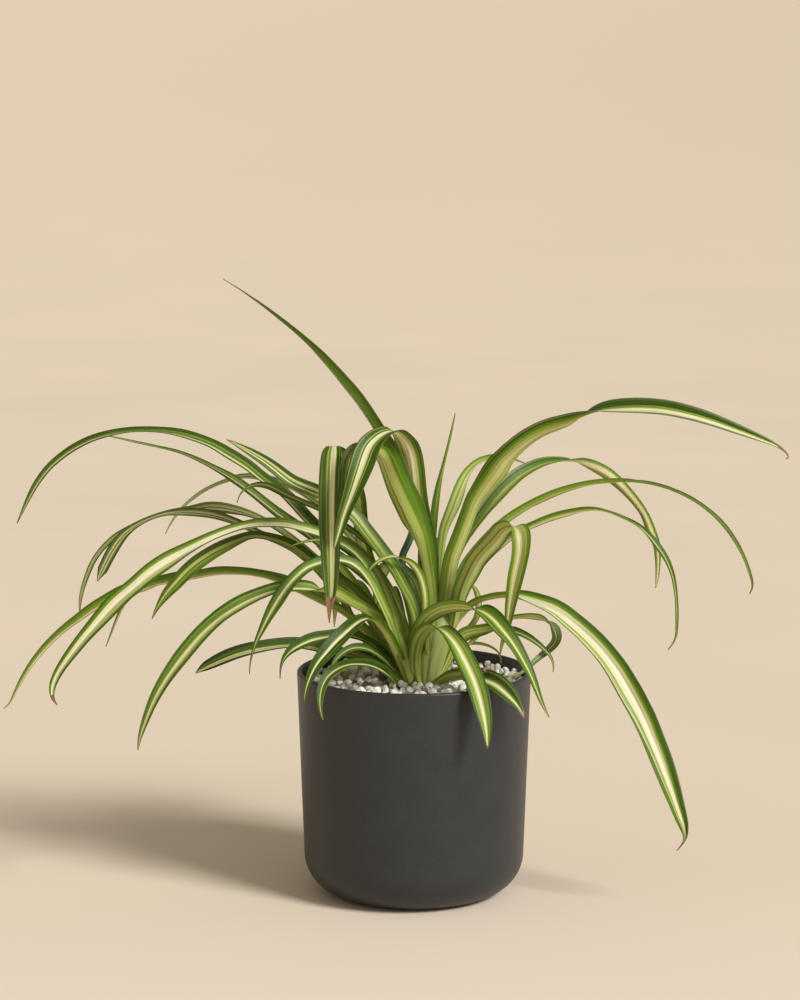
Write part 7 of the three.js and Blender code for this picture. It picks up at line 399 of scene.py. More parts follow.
        '8.31 -2 124.99 0.756 0.526 -0.391 3 46; 9.05 -1.69 126.83 0.729 0.514 -0.451 2.93 46; 10.03 -1.22 128.65 0.68 0.491 -0.545 2.86 46; 11.2 -0.64 130.45 0.64 0.472 -0.606 2.79 46; 13.93 0.62 133.96 0.593 0.459 -0.661 2.66 46; 15.4 1.19 135.65 0.587 0.465 -0.663 2.59 46; 16.87 1.64 137.28 0.595 0.477 -0.647 2.52 46; 18.3 1.93 138.86 0.62 0.491 -0.612 2.45 46; 19.64 2 140.37 0.668 0.498 -0.553 2.38 46; 22.14 1.91 143.52 0.646 0.531 -0.548 2.63 38.4; 23.52 1.82 144.98 0.598 0.554 -0.579 2.79 35.3; 25.02 1.7 146.29 0.541 0.579 -0.61 2.97 33.3; 26.64 1.53 147.45 0.482 0.604 -0.635 3.13 31.3; 28.35 1.3 148.44 0.422 0.626 -0.656 3.26 29.4; 30.16 1.01 149.23 0.364 0.645 -0.673 3.36 27.4; 32.03 0.67 149.83 0.31 0.658 -0.687 3.42 25.8; 33.95 0.28 150.24 0.261 0.665 -0.7 3.44 25.2; 35.89 -0.16 150.48 0.213 0.667 -0.714 3.42 24.6; 37.84 -0.63 150.55 0.162 0.666 -0.728 3.37 24; 39.78 -1.13 150.45 0.104 0.665 -0.74 3.28 23.4; 41.7 -1.64 150.19 0.038 0.664 -0.746 3.14 22.8; 43.59 -2.13 149.75 -0.037 0.666 -0.745 2.96 22.2; 45.43 -2.61 149.14 -0.121 0.672 -0.731 2.73 21.6; 47.17 -3.04 148.32 -0.219 0.683 -0.697 2.46 21; 48.76 -3.44 147.28 -0.331 0.7 -0.633 2.16 20.4; 50.09 -3.79 145.97 -0.446 0.723 -0.528 1.85 19.5; 51.06 -4.11 144.41 -0.537 0.747 -0.392 1.55 18.1; 51.66 -4.41 142.63 -0.585 0.768 -0.26 1.27 16.7; 51.99 -4.99 138.78 -0.603 0.785 -0.138 0.7 14'),
    'leaf_left_low_dark': ('left_low_dark',
        '-15.15 12.6 123 -0.338 -0.819 -0.463 4.95 46; -14.26 11.35 124.55 -0.34 -0.763 -0.55 5.2 46; -12.79 9.48 125.87 -0.378 -0.681 -0.628 5.44 46; -11.38 7.47 127.03 -0.416 -0.639 -0.647 5.69 46; -10.67 5.81 128.13 -0.469 -0.599 -0.649 5.94 46; -11.29 5 129.24 -0.48 -0.541 -0.691 6.19 46; -16.01 4.29 132.87 -0.416 -0.601 -0.683 6.15 42.1; -20.91 3.58 136.28 -0.299 -0.713 -0.634 6.48 38.2; -24.32 3.06 138.27 -0.184 -0.779 -0.599 6.9 35.8; -27.92 2.45 139.88 -0.078 -0.825 -0.56 7.39 34.4; -31.65 1.81 141.18 -0.022 -0.853 -0.521 7.87 33.1; -37.35 0.94 142.82 -0.015 -0.87 -0.493 8.49 31; -43.12 0.23 144.34 -0.038 -0.855 -0.517 8.85 29; -48.87 -0.46 145.94 -0.075 -0.797 -0.6 8.98 27; -54.54 -1.28 147.75 -0.116 -0.708 -0.697 9 25.7; -58.29 -1.94 148.98 -0.106 -0.663 -0.741 9 25.2; -62.07 -2.7 150.05 -0.05 -0.647 -0.76 9 24.8; -65.9 -3.53 150.79 0.036 -0.659 -0.751 8.99 24.4; -69.77 -4.39 151.21 0.093 -0.686 -0.721 8.95 24; -73.67 -5.24 151.47 0.118 -0.709 -0.696 8.85 23.6; -77.59 -6.04 151.53 0.153 -0.707 -0.69 8.68 23.2; -81.51 -6.78 151.32 0.18 -0.683 -0.708 8.45 22.8; -87.39 -7.91 150.79 0.203 -0.601 -0.773 8.16 22.1; -93.21 -9.2 150.09 0.233 -0.498 -0.835 8.19 21.5; -98.96 -10.65 149.18 0.275 -0.44 -0.855 8.4 20.9; -104.63 -12.11 147.87 0.337 -0.412 -0.846 8.54 20.2; -110.21 -13.44 146.09 0.388 -0.379 -0.84 8.45 19.2; -113.87 -14.21 144.68 0.414 -0.353 -0.839 8.14 18.2; -119.3 -15.21 142.31 0.439 -0.311 -0.843 7.16 16.8; -122.87 -15.81 140.61 0.473 -0.272 -0.838 6.01 15.9; -124.61 -16.1 139.68 0.51 -0.252 -0.823 5.21 15.4; -126.3 -16.4 138.67 0.556 -0.234 -0.797 3.7 14.9; -129.49 -17 136.37 0.612 -0.223 -0.758 0.7 14'),
    'leaf_left_low_thin': ('left_low_thin',
        '-15.15 12.6 123 -0.594 -0.763 -0.257 4.19 46; -14.33 11.42 124.61 -0.561 -0.756 -0.336 4.34 46; -12.99 9.7 125.91 -0.553 -0.71 -0.436 4.49 46; -11.43 7.69 127.01 -0.572 -0.67 -0.473 4.64 46; -9.93 5.59 128.04 -0.601 -0.639 -0.481 4.79 46; -8.79 3.62 129.11 -0.643 -0.603 -0.472 4.94 46; -8.27 2.02 130.34 -0.703 -0.525 -0.48 5.09 46; -8.69 1 131.84 -0.711 -0.453 -0.538 5.24 46; -11.49 -0.9 136.72 -0.636 -0.5 -0.587 5.04 41.2; -14.62 -2.79 141.4 -0.506 -0.6 -0.62 5.09 36.4; -18.15 -4.71 145.77 -0.337 -0.696 -0.634 5.54 33.7; -20.74 -6.05 148.43 -0.228 -0.737 -0.637 5.91 32; -23.51 -7.46 150.87 -0.136 -0.757 -0.64 6.21 30.3; -26.45 -8.95 153.07 -0.06 -0.761 -0.645 6.39 28.7; -29.52 -10.51 155.01 0.005 -0.754 -0.657 6.47 27; -32.71 -12.13 156.68 0.059 -0.737 -0.674 6.49 25.8; -37.64 -14.71 158.75 0.104 -0.695 -0.712 6.51 25; -41.01 -16.47 159.8 0.147 -0.631 -0.762 6.55 24.5; -42.73 -17.34 160.12 0.188 -0.582 -0.791 6.6 24.3; -44.47 -18.21 160.26 0.235 -0.527 -0.816 6.68 24; -48 -19.94 160.1 0.284 -0.438 -0.853 6.89 23.5; -51.53 -21.69 159.81 0.259 -0.395 -0.882 6.94 23; -55.07 -23.44 159.56 0.261 -0.367 -0.893 7.48 22.5; -56.84 -24.31 159.38 0.286 -0.354 -0.89 7.79 22.2; -58.6 -25.17 159.12 0.323 -0.343 -0.882 7.83 21.9; -62.08 -26.82 158.29 0.409 -0.328 -0.851 7.79 21.4; -63.8 -27.62 157.72 0.45 -0.326 -0.832 7.65 21.2; -67.15 -29.18 156.33 0.522 -0.335 -0.785 7 20.7; -68.79 -29.95 155.53 0.563 -0.344 -0.752 6.66 20.4; -70.36 -30.7 154.63 0.612 -0.358 -0.705 6.16 20.2; -71.87 -31.44 153.61 0.666 -0.377 -0.643 5.59 19.8; -73.28 -32.14 152.45 0.718 -0.406 -0.565 4.95 19.2; -74.58 -32.8 151.15 0.761 -0.444 -0.472 4.28 18.6; -75.73 -33.4 149.69 0.792 -0.488 -0.368 3.6 18; -76.69 -33.93 148.1 0.806 -0.532 -0.258 2.95 17.5; -77.45 -34.4 146.38 0.805 -0.572 -0.156 2.36 16.9; -78 -34.8 144.56 0.794 -0.604 -0.071 1.86 16.3; -78.36 -35.16 142.67 0.779 -0.627 -0.007 1.44 15.7; -78.56 -35.46 140.74 0.766 -0.642 0.036 1.11 15.2; -78.7 -36 136.83 0.753 -0.654 0.071 0.7 14'),
    'leaf_front_left': ('front_left',
        '-5.05 0.55 123 0.983 0.026 -0.18 6.03 46; -4.68 -1.14 124.79 0.987 0.091 -0.131 6.53 46; -4.24 -3.45 126.32 0.998 0.003 -0.062 7.04 46; -4.46 -5 128.06 0.96 -0.264 0.095 7.54 46; -5.18 -5.59 129.83 0.9 -0.366 0.237 7.62 44.7; -6.6 -6.87 133.38 0.895 -0.4 0.197 7.89 42.1; -7.97 -8.42 136.95 0.894 -0.43 0.126 8.32 39.5; -8.64 -9.36 138.74 0.894 -0.44 0.083 8.58 38.2; -9.3 -10.43 140.54 0.894 -0.447 0.04 8.88 36.9; -9.95 -11.66 142.36 0.892 -0.451 -0.002 9.19 35.8; -10.61 -13.03 144.19 0.889 -0.456 -0.038 9.52 35.1; -11.26 -14.53 146.02 0.875 -0.482 -0.052 9.85 34.4; -12.6 -17.09 149.53 0.838 -0.542 -0.06 10.5 33.1; -13.96 -19.41 152.9 0.801 -0.596 -0.052 11.07 31.7; -15.35 -21.34 156.09 0.761 -0.648 -0.018 11.52 30.3; -16.8 -22.94 159.09 0.726 -0.687 0.017 11.8 29; -18.3 -24.37 161.92 0.704 -0.71 0.019 11.94 27.6; -19.86 -25.89 164.6 0.701 -0.713 -0.021 11.99 26.3; -21.49 -27.69 167.15 0.717 -0.694 -0.073 12 25.7; -22.33 -28.73 168.35 0.726 -0.681 -0.092 12 25.5; -23.23 -29.86 169.46 0.734 -0.672 -0.101 12 25.2; -24.2 -31.08 170.44 0.738 -0.667 -0.102 12 25; -25.26 -32.39 171.23 0.74 -0.666 -0.099 12 24.8; -26.43 -33.75 171.77 0.739 -0.666 -0.095 11.99 24.6; -27.66 -35.17 172.06 0.738 -0.668 -0.094 11.98 24.4; -28.95 -36.59 172.09 0.737 -0.669 -0.098 11.96 24.2; -30.27 -38.01 171.88 0.736 -0.668 -0.109 11.93 24; -31.59 -39.39 171.47 0.734 -0.667 -0.129 11.88 23.8; -32.92 -40.73 170.89 0.73 -0.664 -0.158 11.8 23.6; -34.25 -42.01 170.17 0.727 -0.657 -0.196 11.7 23.4; -35.59 -43.23 169.36 0.727 -0.643 -0.241 11.57 23.2; -38.28 -45.51 167.48 0.73 -0.592 -0.34 11.26 22.8; -42.37 -48.66 164.44 0.724 -0.487 -0.489 10.82 22.1; -45.11 -50.67 162.34 0.738 -0.4 -0.543 10.62 21.7; -46.44 -51.65 161.21 0.756 -0.358 -0.548 10.51 21.5; -47.72 -52.61 160.01 0.773 -0.326 -0.544 10.38 21.3; -48.96 -53.53 158.75 0.785 -0.309 -0.537 10.18 21.1; -51.41 -55.26 156.11 0.786 -0.314 -0.533 9.6 20.7; -53.9 -56.85 153.42 0.786 -0.332 -0.521 8.81 20.2; -56.26 -58.31 150.56 0.83 -0.326 -0.452 7.89 19.6; -57.31 -58.99 149.01 0.857 -0.318 -0.405 7.4 19.2; -59.13 -60.28 145.71 0.891 -0.311 -0.331 6.33 18.2; -60.73 -61.49 142.25 0.908 -0.316 -0.276 5.18 17.3; -62.05 -62.6 138.66 0.923 -0.334 -0.189 3.93 16.3; -62.99 -63.61 134.92 0.922 -0.376 -0.088 2.67 15.4; -63.81 -64.98 129.14 0.895 -0.445 -0.001 0.7 14'),
    'leaf_front_left_low': ('front_left_low',
        '-5.05 0.55 123 -0.45 -0.521 -0.725 5.57 46; -5.64 -0.72 124.28 -0.391 -0.4 -0.829 5.92 46; -6.45 -2.53 125.15 -0.32 -0.242 -0.916 6.27 46; -7.39 -4.43 125.87 -0.312 -0.248 -0.917 6.62 46; -8.33 -6 126.73 -0.356 -0.344 -0.869 6.97 46; -9.32 -7.36 127.82 -0.365 -0.409 -0.837 6.89 44.2; -13.26 -12.82 132.21 -0.206 -0.519 -0.83 6.92 37.1; -16.26 -16.91 135.46 -0.033 -0.595 -0.803 7.62 33.8; -18.36 -19.64 137.52 0.09 -0.632 -0.77 8.18 32; -20.59 -22.38 139.44 0.209 -0.661 -0.72 8.61 30.1; -22.96 -25.1 141.18 0.321 -0.683 -0.656 8.86 28.3; -25.5 -27.82 142.67 0.419 -0.695 -0.584 8.97 26.4; -28.22 -30.52 143.84 0.492 -0.704 -0.512 8.99 25.6; -31.07 -33.19 144.71 0.538 -0.711 -0.453 8.99 25; -34.01 -35.86 145.33 0.57 -0.711 -0.412 8.97 24.4; -36.99 -38.52 145.68 0.6 -0.7 -0.387 8.88 23.9; -39.98 -41.17 145.63 0.632 -0.674 -0.382 8.68 23.3; -42.96 -43.78 145.09 0.66 -0.637 -0.398 8.36 22.7; -45.87 -46.31 144.08 0.693 -0.581 -0.427 7.91 22.2; -47.28 -47.53 143.38 0.719 -0.539 -0.438 7.66 21.9; -48.63 -48.73 142.54 0.753 -0.488 -0.441 7.39 21.6; -49.89 -49.91 141.55 0.796 -0.426 -0.43 7.11 21.3; -51.03 -51.05 140.41 0.842 -0.359 -0.404 6.81 21; -52.02 -52.18 139.12 0.886 -0.29 -0.363 6.5 20.7; -52.86 -53.27 137.69 0.923 -0.222 -0.315 6.15 20.5; -53.55 -54.32 136.16 0.952 -0.155 -0.265 5.78 20.2; -54.08 -55.32 134.53 0.972 -0.088 -0.219 5.36 19.7; -54.48 -56.26 132.82 0.984 -0.018 -0.176 4.9 19.1; -54.74 -57.13 131.04 0.989 0.058 -0.137 4.42 18.5; -54.88 -57.92 129.22 0.985 0.14 -0.097 3.9 17.8; -54.89 -58.61 127.35 0.973 0.226 -0.05 3.37 17.2; -54.77 -59.22 125.46 0.95 0.311 0.002 2.84 16.6; -54.51 -59.74 123.56 0.919 0.39 0.057 2.31 15.9; -54.12 -60.2 121.66 0.884 0.456 0.107 1.83 15.3; -53.03 -61 117.89 0.832 0.535 0.146 0.7 14'),
    'leaf_left_inner_arc': ('left_inner_arc',
        '-15.15 12.6 123 -0.45 -0.765 -0.46 4.23 46; -14.49 11.33 124.46 -0.441 -0.716 -0.541 4.34 46; -13.43 9.6 125.58 -0.467 -0.617 -0.633 4.46 46; -12.13 7.53 126.43 -0.502 -0.55 -0.668 4.58 46; -9.45 2.95 127.74 -0.545 -0.474 -0.692 4.81 46; -8.4 0.73 128.38 -0.552 -0.452 -0.7 4.93 46; -7.76 -1.26 129.13 -0.546 -0.443 -0.711 5.05 46; -7.69 -2.89 130.09 -0.529 -0.46 -0.713 5.17 46; -8.36 -4 131.35 -0.53 -0.486 -0.695 5.28 46; -11.7 -6.48 135.74 -0.497 -0.538 -0.681 5.3 38.2; -14.99 -9.05 140.13 -0.39 -0.623 -0.678 5.73 33.1; -17.28 -10.81 142.94 -0.276 -0.673 -0.687 6.1 30.3; -19.79 -12.6 145.52 -0.151 -0.709 -0.688 6.36 27.6; -22.52 -14.46 147.83 -0.033 -0.73 -0.683 6.46 25.7; -25.4 -16.41 149.83 0.086 -0.731 -0.677 6.46 24.8; -26.9 -17.44 150.68 0.148 -0.724 -0.674 6.43 24.4; -28.44 -18.5 151.41 0.209 -0.713 -0.67 6.37 24; -30.02 -19.58 151.99 0.268 -0.7 -0.662 6.28 23.6; -31.63 -20.69 152.44 0.322 -0.686 -0.652 6.15 23.2; -33.25 -21.82 152.75 0.377 -0.667 -0.643 5.97 22.8; -34.88 -22.96 152.89 0.435 -0.639 -0.634 5.75 22.3; -36.5 -24.12 152.83 0.498 -0.601 -0.625 5.5 21.9; -38.08 -25.29 152.57 0.561 -0.557 -0.613 5.22 21.5; -39.61 -26.47 152.12 0.62 -0.51 -0.596 4.92 21.1; -41.08 -27.66 151.48 0.674 -0.465 -0.574 4.61 20.7; -42.48 -28.86 150.69 0.724 -0.426 -0.543 4.28 20.2; -43.78 -30.05 149.75 0.771 -0.393 -0.501 3.91 19.6; -44.99 -31.23 148.68 0.815 -0.368 -0.448 3.51 18.7; -46.09 -32.4 147.49 0.854 -0.35 -0.385 3.07 17.8; -47.07 -33.56 146.19 0.886 -0.339 -0.317 2.6 16.8; -47.93 -34.7 144.79 0.909 -0.332 -0.251 2.12 15.9; -49.4 -37 141.84 0.923 -0.343 -0.172 0.7 14'),
    'leaf_pale_curl': ('pale_curl',
        '9.54 -2 138.28 0.971 -0.239 -0.022 4.29 46; 9.33 -3.03 140.12 0.973 -0.231 -0.024 4.45 46; 9.01 -4.6 141.84 0.975 -0.221 -0.024 4.6 46; 8.24 -8.38 145.12 0.975 -0.221 -0.021 4.91 46; 7.88 -10.1 146.8 0.973 -0.231 -0.019 5.06 46; 7.6 -11.39 148.58 0.969 -0.247 -0.009 5.21 46; 7.43 -12 150.52 0.966 -0.257 0.007 5.37 46; 7.08 -12.76 158.43 0.959 -0.283 0.024 5.37 38.6; 6.5 -13.72 166.38 0.929 -0.369 0.022 5.43 33.5; 6.24 -14.31 170.39 0.918 -0.395 -0.014 5.61 31.6; 6.17 -14.78 174.4 0.924 -0.381 -0.044 5.83 29.6; 6.15 -15.42 180.4 0.95 -0.311 0.005 6.08 26.7; 5.83 -15.85 184.35 0.955 -0.283 0.085 6.16 25.6; 5.19 -16.28 188.22 0.944 -0.284 0.167 6.14 25; 4.21 -16.7 192 0.915 -0.308 0.259 6.06 24.4; 3.56 -16.92 193.83 0.893 -0.328 0.308 6.01 24.1; 2.79 -17.16 195.61 0.866 -0.352 0.354 5.95 23.9; 1.91 -17.43 197.34 0.835 -0.38 0.397 5.87 23.6; 0.91 -17.75 198.99 0.797 -0.414 0.439 5.78 23.3; -0.21 -18.12 200.55 0.748 -0.458 0.481 5.67 23; -1.49 -18.56 201.96 0.683 -0.519 0.514 5.54 22.7; -2.93 -19.06 203.21 0.608 -0.601 0.519 5.38 22.4; -4.51 -19.6 204.28 0.529 -0.705 0.472 5.21 22.1; -6.2 -20.19 205.18 0.453 -0.817 0.357 5.01 21.8; -7.98 -20.81 205.93 0.376 -0.91 0.176 4.79 21.5; -9.81 -21.43 206.52 0.305 -0.952 -0.04 4.56 21.2; -11.68 -22.03 206.89 0.261 -0.933 -0.249 4.3 20.9; -13.57 -22.61 207.01 0.261 -0.873 -0.411 4.03 20.6; -15.45 -23.13 206.83 0.298 -0.805 -0.514 3.74 20.3; -17.29 -23.58 206.37 0.351 -0.746 -0.565 3.45 20; -19.07 -23.95 205.66 0.405 -0.703 -0.585 3.14 19.3; -20.77 -24.22 204.73 0.455 -0.669 -0.587 2.83 18.7; -22.38 -24.41 203.62 0.505 -0.642 -0.577 2.53 18; -23.87 -24.52 202.35 0.557 -0.62 -0.552 2.23 17.3; -25.24 -24.58 200.93 0.612 -0.603 -0.511 1.95 16.7; -26.46 -24.63 199.38 0.666 -0.591 -0.454 1.67 16; -27.52 -24.69 197.72 0.711 -0.584 -0.39 1.41 15.3; -29.31 -24.94 194.19 0.748 -0.586 -0.31 0.7 14'),
    'leaf_grey_up': ('grey_up',
        '-5.34 0.84 128.87 0.909 -0.327 -0.257 4.3 46; -4.8 0.94 130.66 0.89 -0.334 -0.309 4.43 46; -3.99 1.1 132.48 0.855 -0.349 -0.384 4.57 46; -3.01 1.29 134.32 0.833 -0.359 -0.422 4.7 46; -0.9 1.68 138.03 0.836 -0.356 -0.417 4.97 46; 0.05 1.84 139.88 0.862 -0.344 -0.373 5.1 46; 0.8 1.96 141.72 0.899 -0.329 -0.289 5.24 46; 1.27 2 143.52 0.925 -0.322 -0.202 5.37 46; 2.27 2 149.39 0.937 -0.324 -0.129 5.36 40.7; 2.82 2 155.32 0.937 -0.346 -0.04 5.34 35.7; 2.78 2 161.27 0.907 -0.417 0.049 5.48 32.9; 2.23 2.05 167.2 0.854 -0.506 0.12 5.77 30.1; 1.61 2.17 171.11 0.823 -0.536 0.187 5.91 28.3; 0.67 2.41 174.95 0.796 -0.535 0.281 5.98 26.4; -0.65 2.76 178.67 0.773 -0.515 0.37 6 25.6; -2.29 3.17 182.25 0.756 -0.491 0.433 6 25; -4.09 3.59 185.76 0.762 -0.478 0.438 5.98 24.4; -5.71 4.02 189.35 0.799 -0.476 0.367 5.92 23.9; -6.37 4.25 191.2 0.821 -0.475 0.318 5.87 23.6; -6.9 4.48 193.09 0.84 -0.472 0.266 5.79 23.3; -7.3 4.72 195 0.857 -0.469 0.212 5.69 23; -7.57 4.99 196.94 0.872 -0.467 0.15 5.57 22.7; -7.68 5.27 198.88 0.882 -0.466 0.074 5.44 22.4; -7.59 5.56 200.81 0.885 -0.464 -0.022 5.29 22.2; -7.28 5.85 202.7 0.878 -0.459 -0.138 5.14 21.9; -6.71 6.13 204.54 0.859 -0.442 -0.259 5.01 21.6; -5.92 6.37 206.3 0.84 -0.406 -0.361 4.9 21.3; -4.99 6.58 208.02 0.837 -0.347 -0.422 4.82 21; -4.04 6.74 209.73 0.861 -0.269 -0.432 4.76 20.7; -3.17 6.85 211.49 0.9 -0.18 -0.398 4.7 20.5; -2.42 6.92 213.31 0.934 -0.091 -0.347 4.62 20.2; -1.19 6.98 217.05 0.947 0.065 -0.314 4.28 19.1; 0.15 7 220.78 0.917 0.188 -0.352 3.67 17.8; 2.2 7 226.36 0.896 0.341 -0.284 2.46 15.9; 3.78 7 232.1 0.869 0.441 -0.224 0.7 14'),
    'leaf_dark_bud': ('dark_bud',
        '-7.53 1 146.24 0.964 -0.261 -0.051 3 46; -7.74 -0.08 147.79 0.981 -0.193 -0.028 2.96 46; -7.97 -1.65 149.13 0.993 -0.108 0.044 2.92 46; -8.23 -3.56 150.33 0.991 -0.084 0.099 2.88 46; -8.91 -7.73 152.53 0.983 -0.122 0.135 2.8 46; -9.35 -9.67 153.65 0.975 -0.179 0.128 2.76 46; -9.87 -11.3 154.85 0.953 -0.276 0.125 2.72 46; -10.49 -12.47 156.19 0.895 -0.41 0.177 2.67 46; -11.22 -13 157.74 0.826 -0.486 0.287 2.63 46; -14.58 -13.7 164.79 0.727 -0.624 0.286 2.89 31.6; -17.96 -14.45 171.79 0.689 -0.68 0.25 3.08 24.7; -19.62 -14.9 175.31 0.721 -0.652 0.234 2.92 23.3; -21.1 -15.43 178.92 0.788 -0.585 0.19 2.57 21.8; -21.68 -15.68 180.79 0.825 -0.544 0.151 2.34 21; -22.12 -15.92 182.69 0.856 -0.505 0.107 2.08 20.3; -22.63 -16.3 186.6 0.893 -0.449 0.044 1.53 17.3; -22.89 -16.56 190.54 0.905 -0.424 0.028 0.7 14'),
    'leaf_left_high': ('left_high',
        '-5.51 1 132.09 -0.883 -0.469 0.014 5.75 46; -5.17 0.4 133.88 -0.871 -0.491 0.015 5.96 46; -4.6 -0.51 135.68 -0.855 -0.519 0.007 6.17 46; -3.26 -2.74 139.29 -0.861 -0.507 -0.022 6.58 46; -2.74 -3.77 141.1 -0.88 -0.472 -0.047 6.78 46; -2.47 -4.57 142.91 -0.902 -0.419 -0.104 6.99 46; -2.58 -5 144.71 -0.905 -0.385 -0.182 7.19 46; -3.29 -5.49 148.6 -0.9 -0.379 -0.213 7.27 45; -4.08 -5.79 152.44 -0.903 -0.376 -0.206 7.36 44; -4.5 -5.77 154.32 -0.908 -0.371 -0.194 7.41 43.5; -4.95 -5.6 156.17 -0.915 -0.361 -0.178 7.46 43; -5.42 -5.24 157.97 -0.925 -0.344 -0.161 7.52 42.5; -5.92 -4.67 159.74 -0.935 -0.32 -0.15 7.57 42; -6.44 -3.9 161.45 -0.944 -0.295 -0.148 7.62 41.5; -6.99 -2.95 163.13 -0.935 -0.31 -0.173 7.67 41; -7.56 -2.41 164.88 -0.918 -0.335 -0.213 7.72 40.5; -8.81 -1.55 168.4 -0.898 -0.349 -0.267 7.8 39.6; -10.18 -1.12 171.97 -0.871 -0.364 -0.33 7.85 38.6; -11.7 -1.09 175.56 -0.841 -0.379 -0.385 7.87 37.6; -14.27 -1.37 180.89 -0.799 -0.406 -0.443 7.88 36.1; -17.24 -1.61 186.02 -0.75 -0.437 -0.497 7.97 35.3; -19.48 -1.8 189.3 -0.698 -0.463 -0.546 8.11 34.7; -21.93 -2.2 192.48 -0.629 -0.493 -0.601 8.31 34.2; -24.59 -2.92 195.57 -0.549 -0.522 -0.652 8.52 33.7; -27.44 -3.96 198.54 -0.469 -0.55 -0.691 8.74 33.2; -32.02 -5.77 202.74 -0.376 -0.604 -0.702 9.04 32.4; -35.21 -6.84 205.36 -0.346 -0.646 -0.68 9.23 31.9; -38.47 -7.64 207.83 -0.341 -0.686 -0.643 9.41 31.4; -41.77 -8.1 210.19 -0.356 -0.718 -0.598 9.56 30.9; -45.09 -8.23 212.49 -0.383 -0.738 -0.555 9.7 30.3; -50.05 -7.97 215.88 -0.419 -0.751 -0.51 9.86 29.6; -54.91 -7.4 219.33 -0.451 -0.761 -0.466 9.95 28.8; -59.56 -6.7 223.03 -0.487 -0.768 -0.416 9.99 28; -63.86 -5.88 227.07 -0.538 -0.76 -0.365 10 27.2; -67.86 -4.89 231.39 -0.571 -0.751 -0.331 10 26.5; -71.85 -3.72 235.68 -0.568 -0.756 -0.326 10 25.9; -76.06 -2.37 239.72 -0.544 -0.774 -0.323 10 25.7; -79.02 -1.36 242.19 -0.524 -0.79 -0.318 10 25.5; -82.14 -0.25 244.43 -0.503 -0.803 -0.32 10 25.3; -87.03 1.55 247.38 -0.496 -0.807 -0.32 10 25.1; -90.23 2.82 249.4 -0.532 -0.791 -0.302 10 25; -93.26 4.11 251.66 -0.568 -0.77 -0.289 10 24.8; -97.71 6.09 255.16 -0.568 -0.754 -0.329 10 24.6; -100.83 7.4 257.29 -0.541 -0.752 -0.375 10 24.4; -105.76 9.27 260.15 -0.505 -0.753 -0.422 10 24.2; -112.47 11.65 263.82 -0.497 -0.772 -0.397 9.97 23.8; -117.49 13.54 266.52 -0.49 -0.797 -0.354 9.9 23.6; -120.91 14.9 268.08 -0.468 -0.814 -0.343 9.84 23.4; -126.2 17 269.97 -0.433 -0.832 -0.346 9.72 23.2; -133.45 19.68 272.06 -0.392 -0.849 -0.355 9.52 22.9; -138.99 21.67 273.27 -0.379 -0.859 -0.344 9.33 22.7; -144.55 23.79 274.06 -0.376 -0.871 -0.316 9.12 22.4; -150.12 25.98 274.5 -0.355 -0.884 -0.303 8.89 22.2; -157.65 28.71 274.67 -0.308 -0.902 -0.302 8.54 21.9; -165.25 31.22 274.49 -0.279 -0.908 -0.312 8.16 21.5; -170.95 33.07 274.02 -0.253 -0.901 -0.353 7.84 21.3; -176.6 34.91 273.2 -0.208 -0.877 -0.434 7.51 21.1; -182.2 36.73 272.04 -0.149 -0.839 -0.523 7.16 20.8; -187.74 38.53 270.56 -0.086 -0.806 -0.585 6.79 20.6; -193.18 40.29 268.72 0.001 -0.763 -0.647 6.4 20.3; -198.49 41.94 266.47 0.12 -0.702 -0.702 5.99 20.1; -203.68 43.39 263.82 0.251 -0.613 -0.749 5.57 19.7; -208.72 44.65 260.81 0.387 -0.5 -0.775 5.18 19.2; -213.51 45.78 257.38 0.496 -0.41 -0.766 4.9 18.6; -218.05 46.86 253.61 0.573 -0.36 -0.736 4.73 18.1; -220.9 47.55 250.89 0.629 -0.347 -0.696 4.63 17.8; -223.56 48.18 247.97 0.682 -0.337 -0.648 4.53 17.4; -227.24 48.95 243.29 0.745 -0.318 -0.586 4.35 16.9; -229.49 49.36 240.01 0.782 -0.313 -0.539 4.17 16.5; -232.53 49.9 234.86 0.816 -0.317 -0.482 3.76 16; -235.29 50.46 229.55 0.827 -0.349 -0.44 3.07 15.4; -238.71 51.24 222.36 0.78 -0.456 -0.429 1.93 14.7; -242.1 52 215.14 0.748 -0.536 -0.391 0.7 14'),
    'leaf_left_mid_brown': ('left_mid_brown',
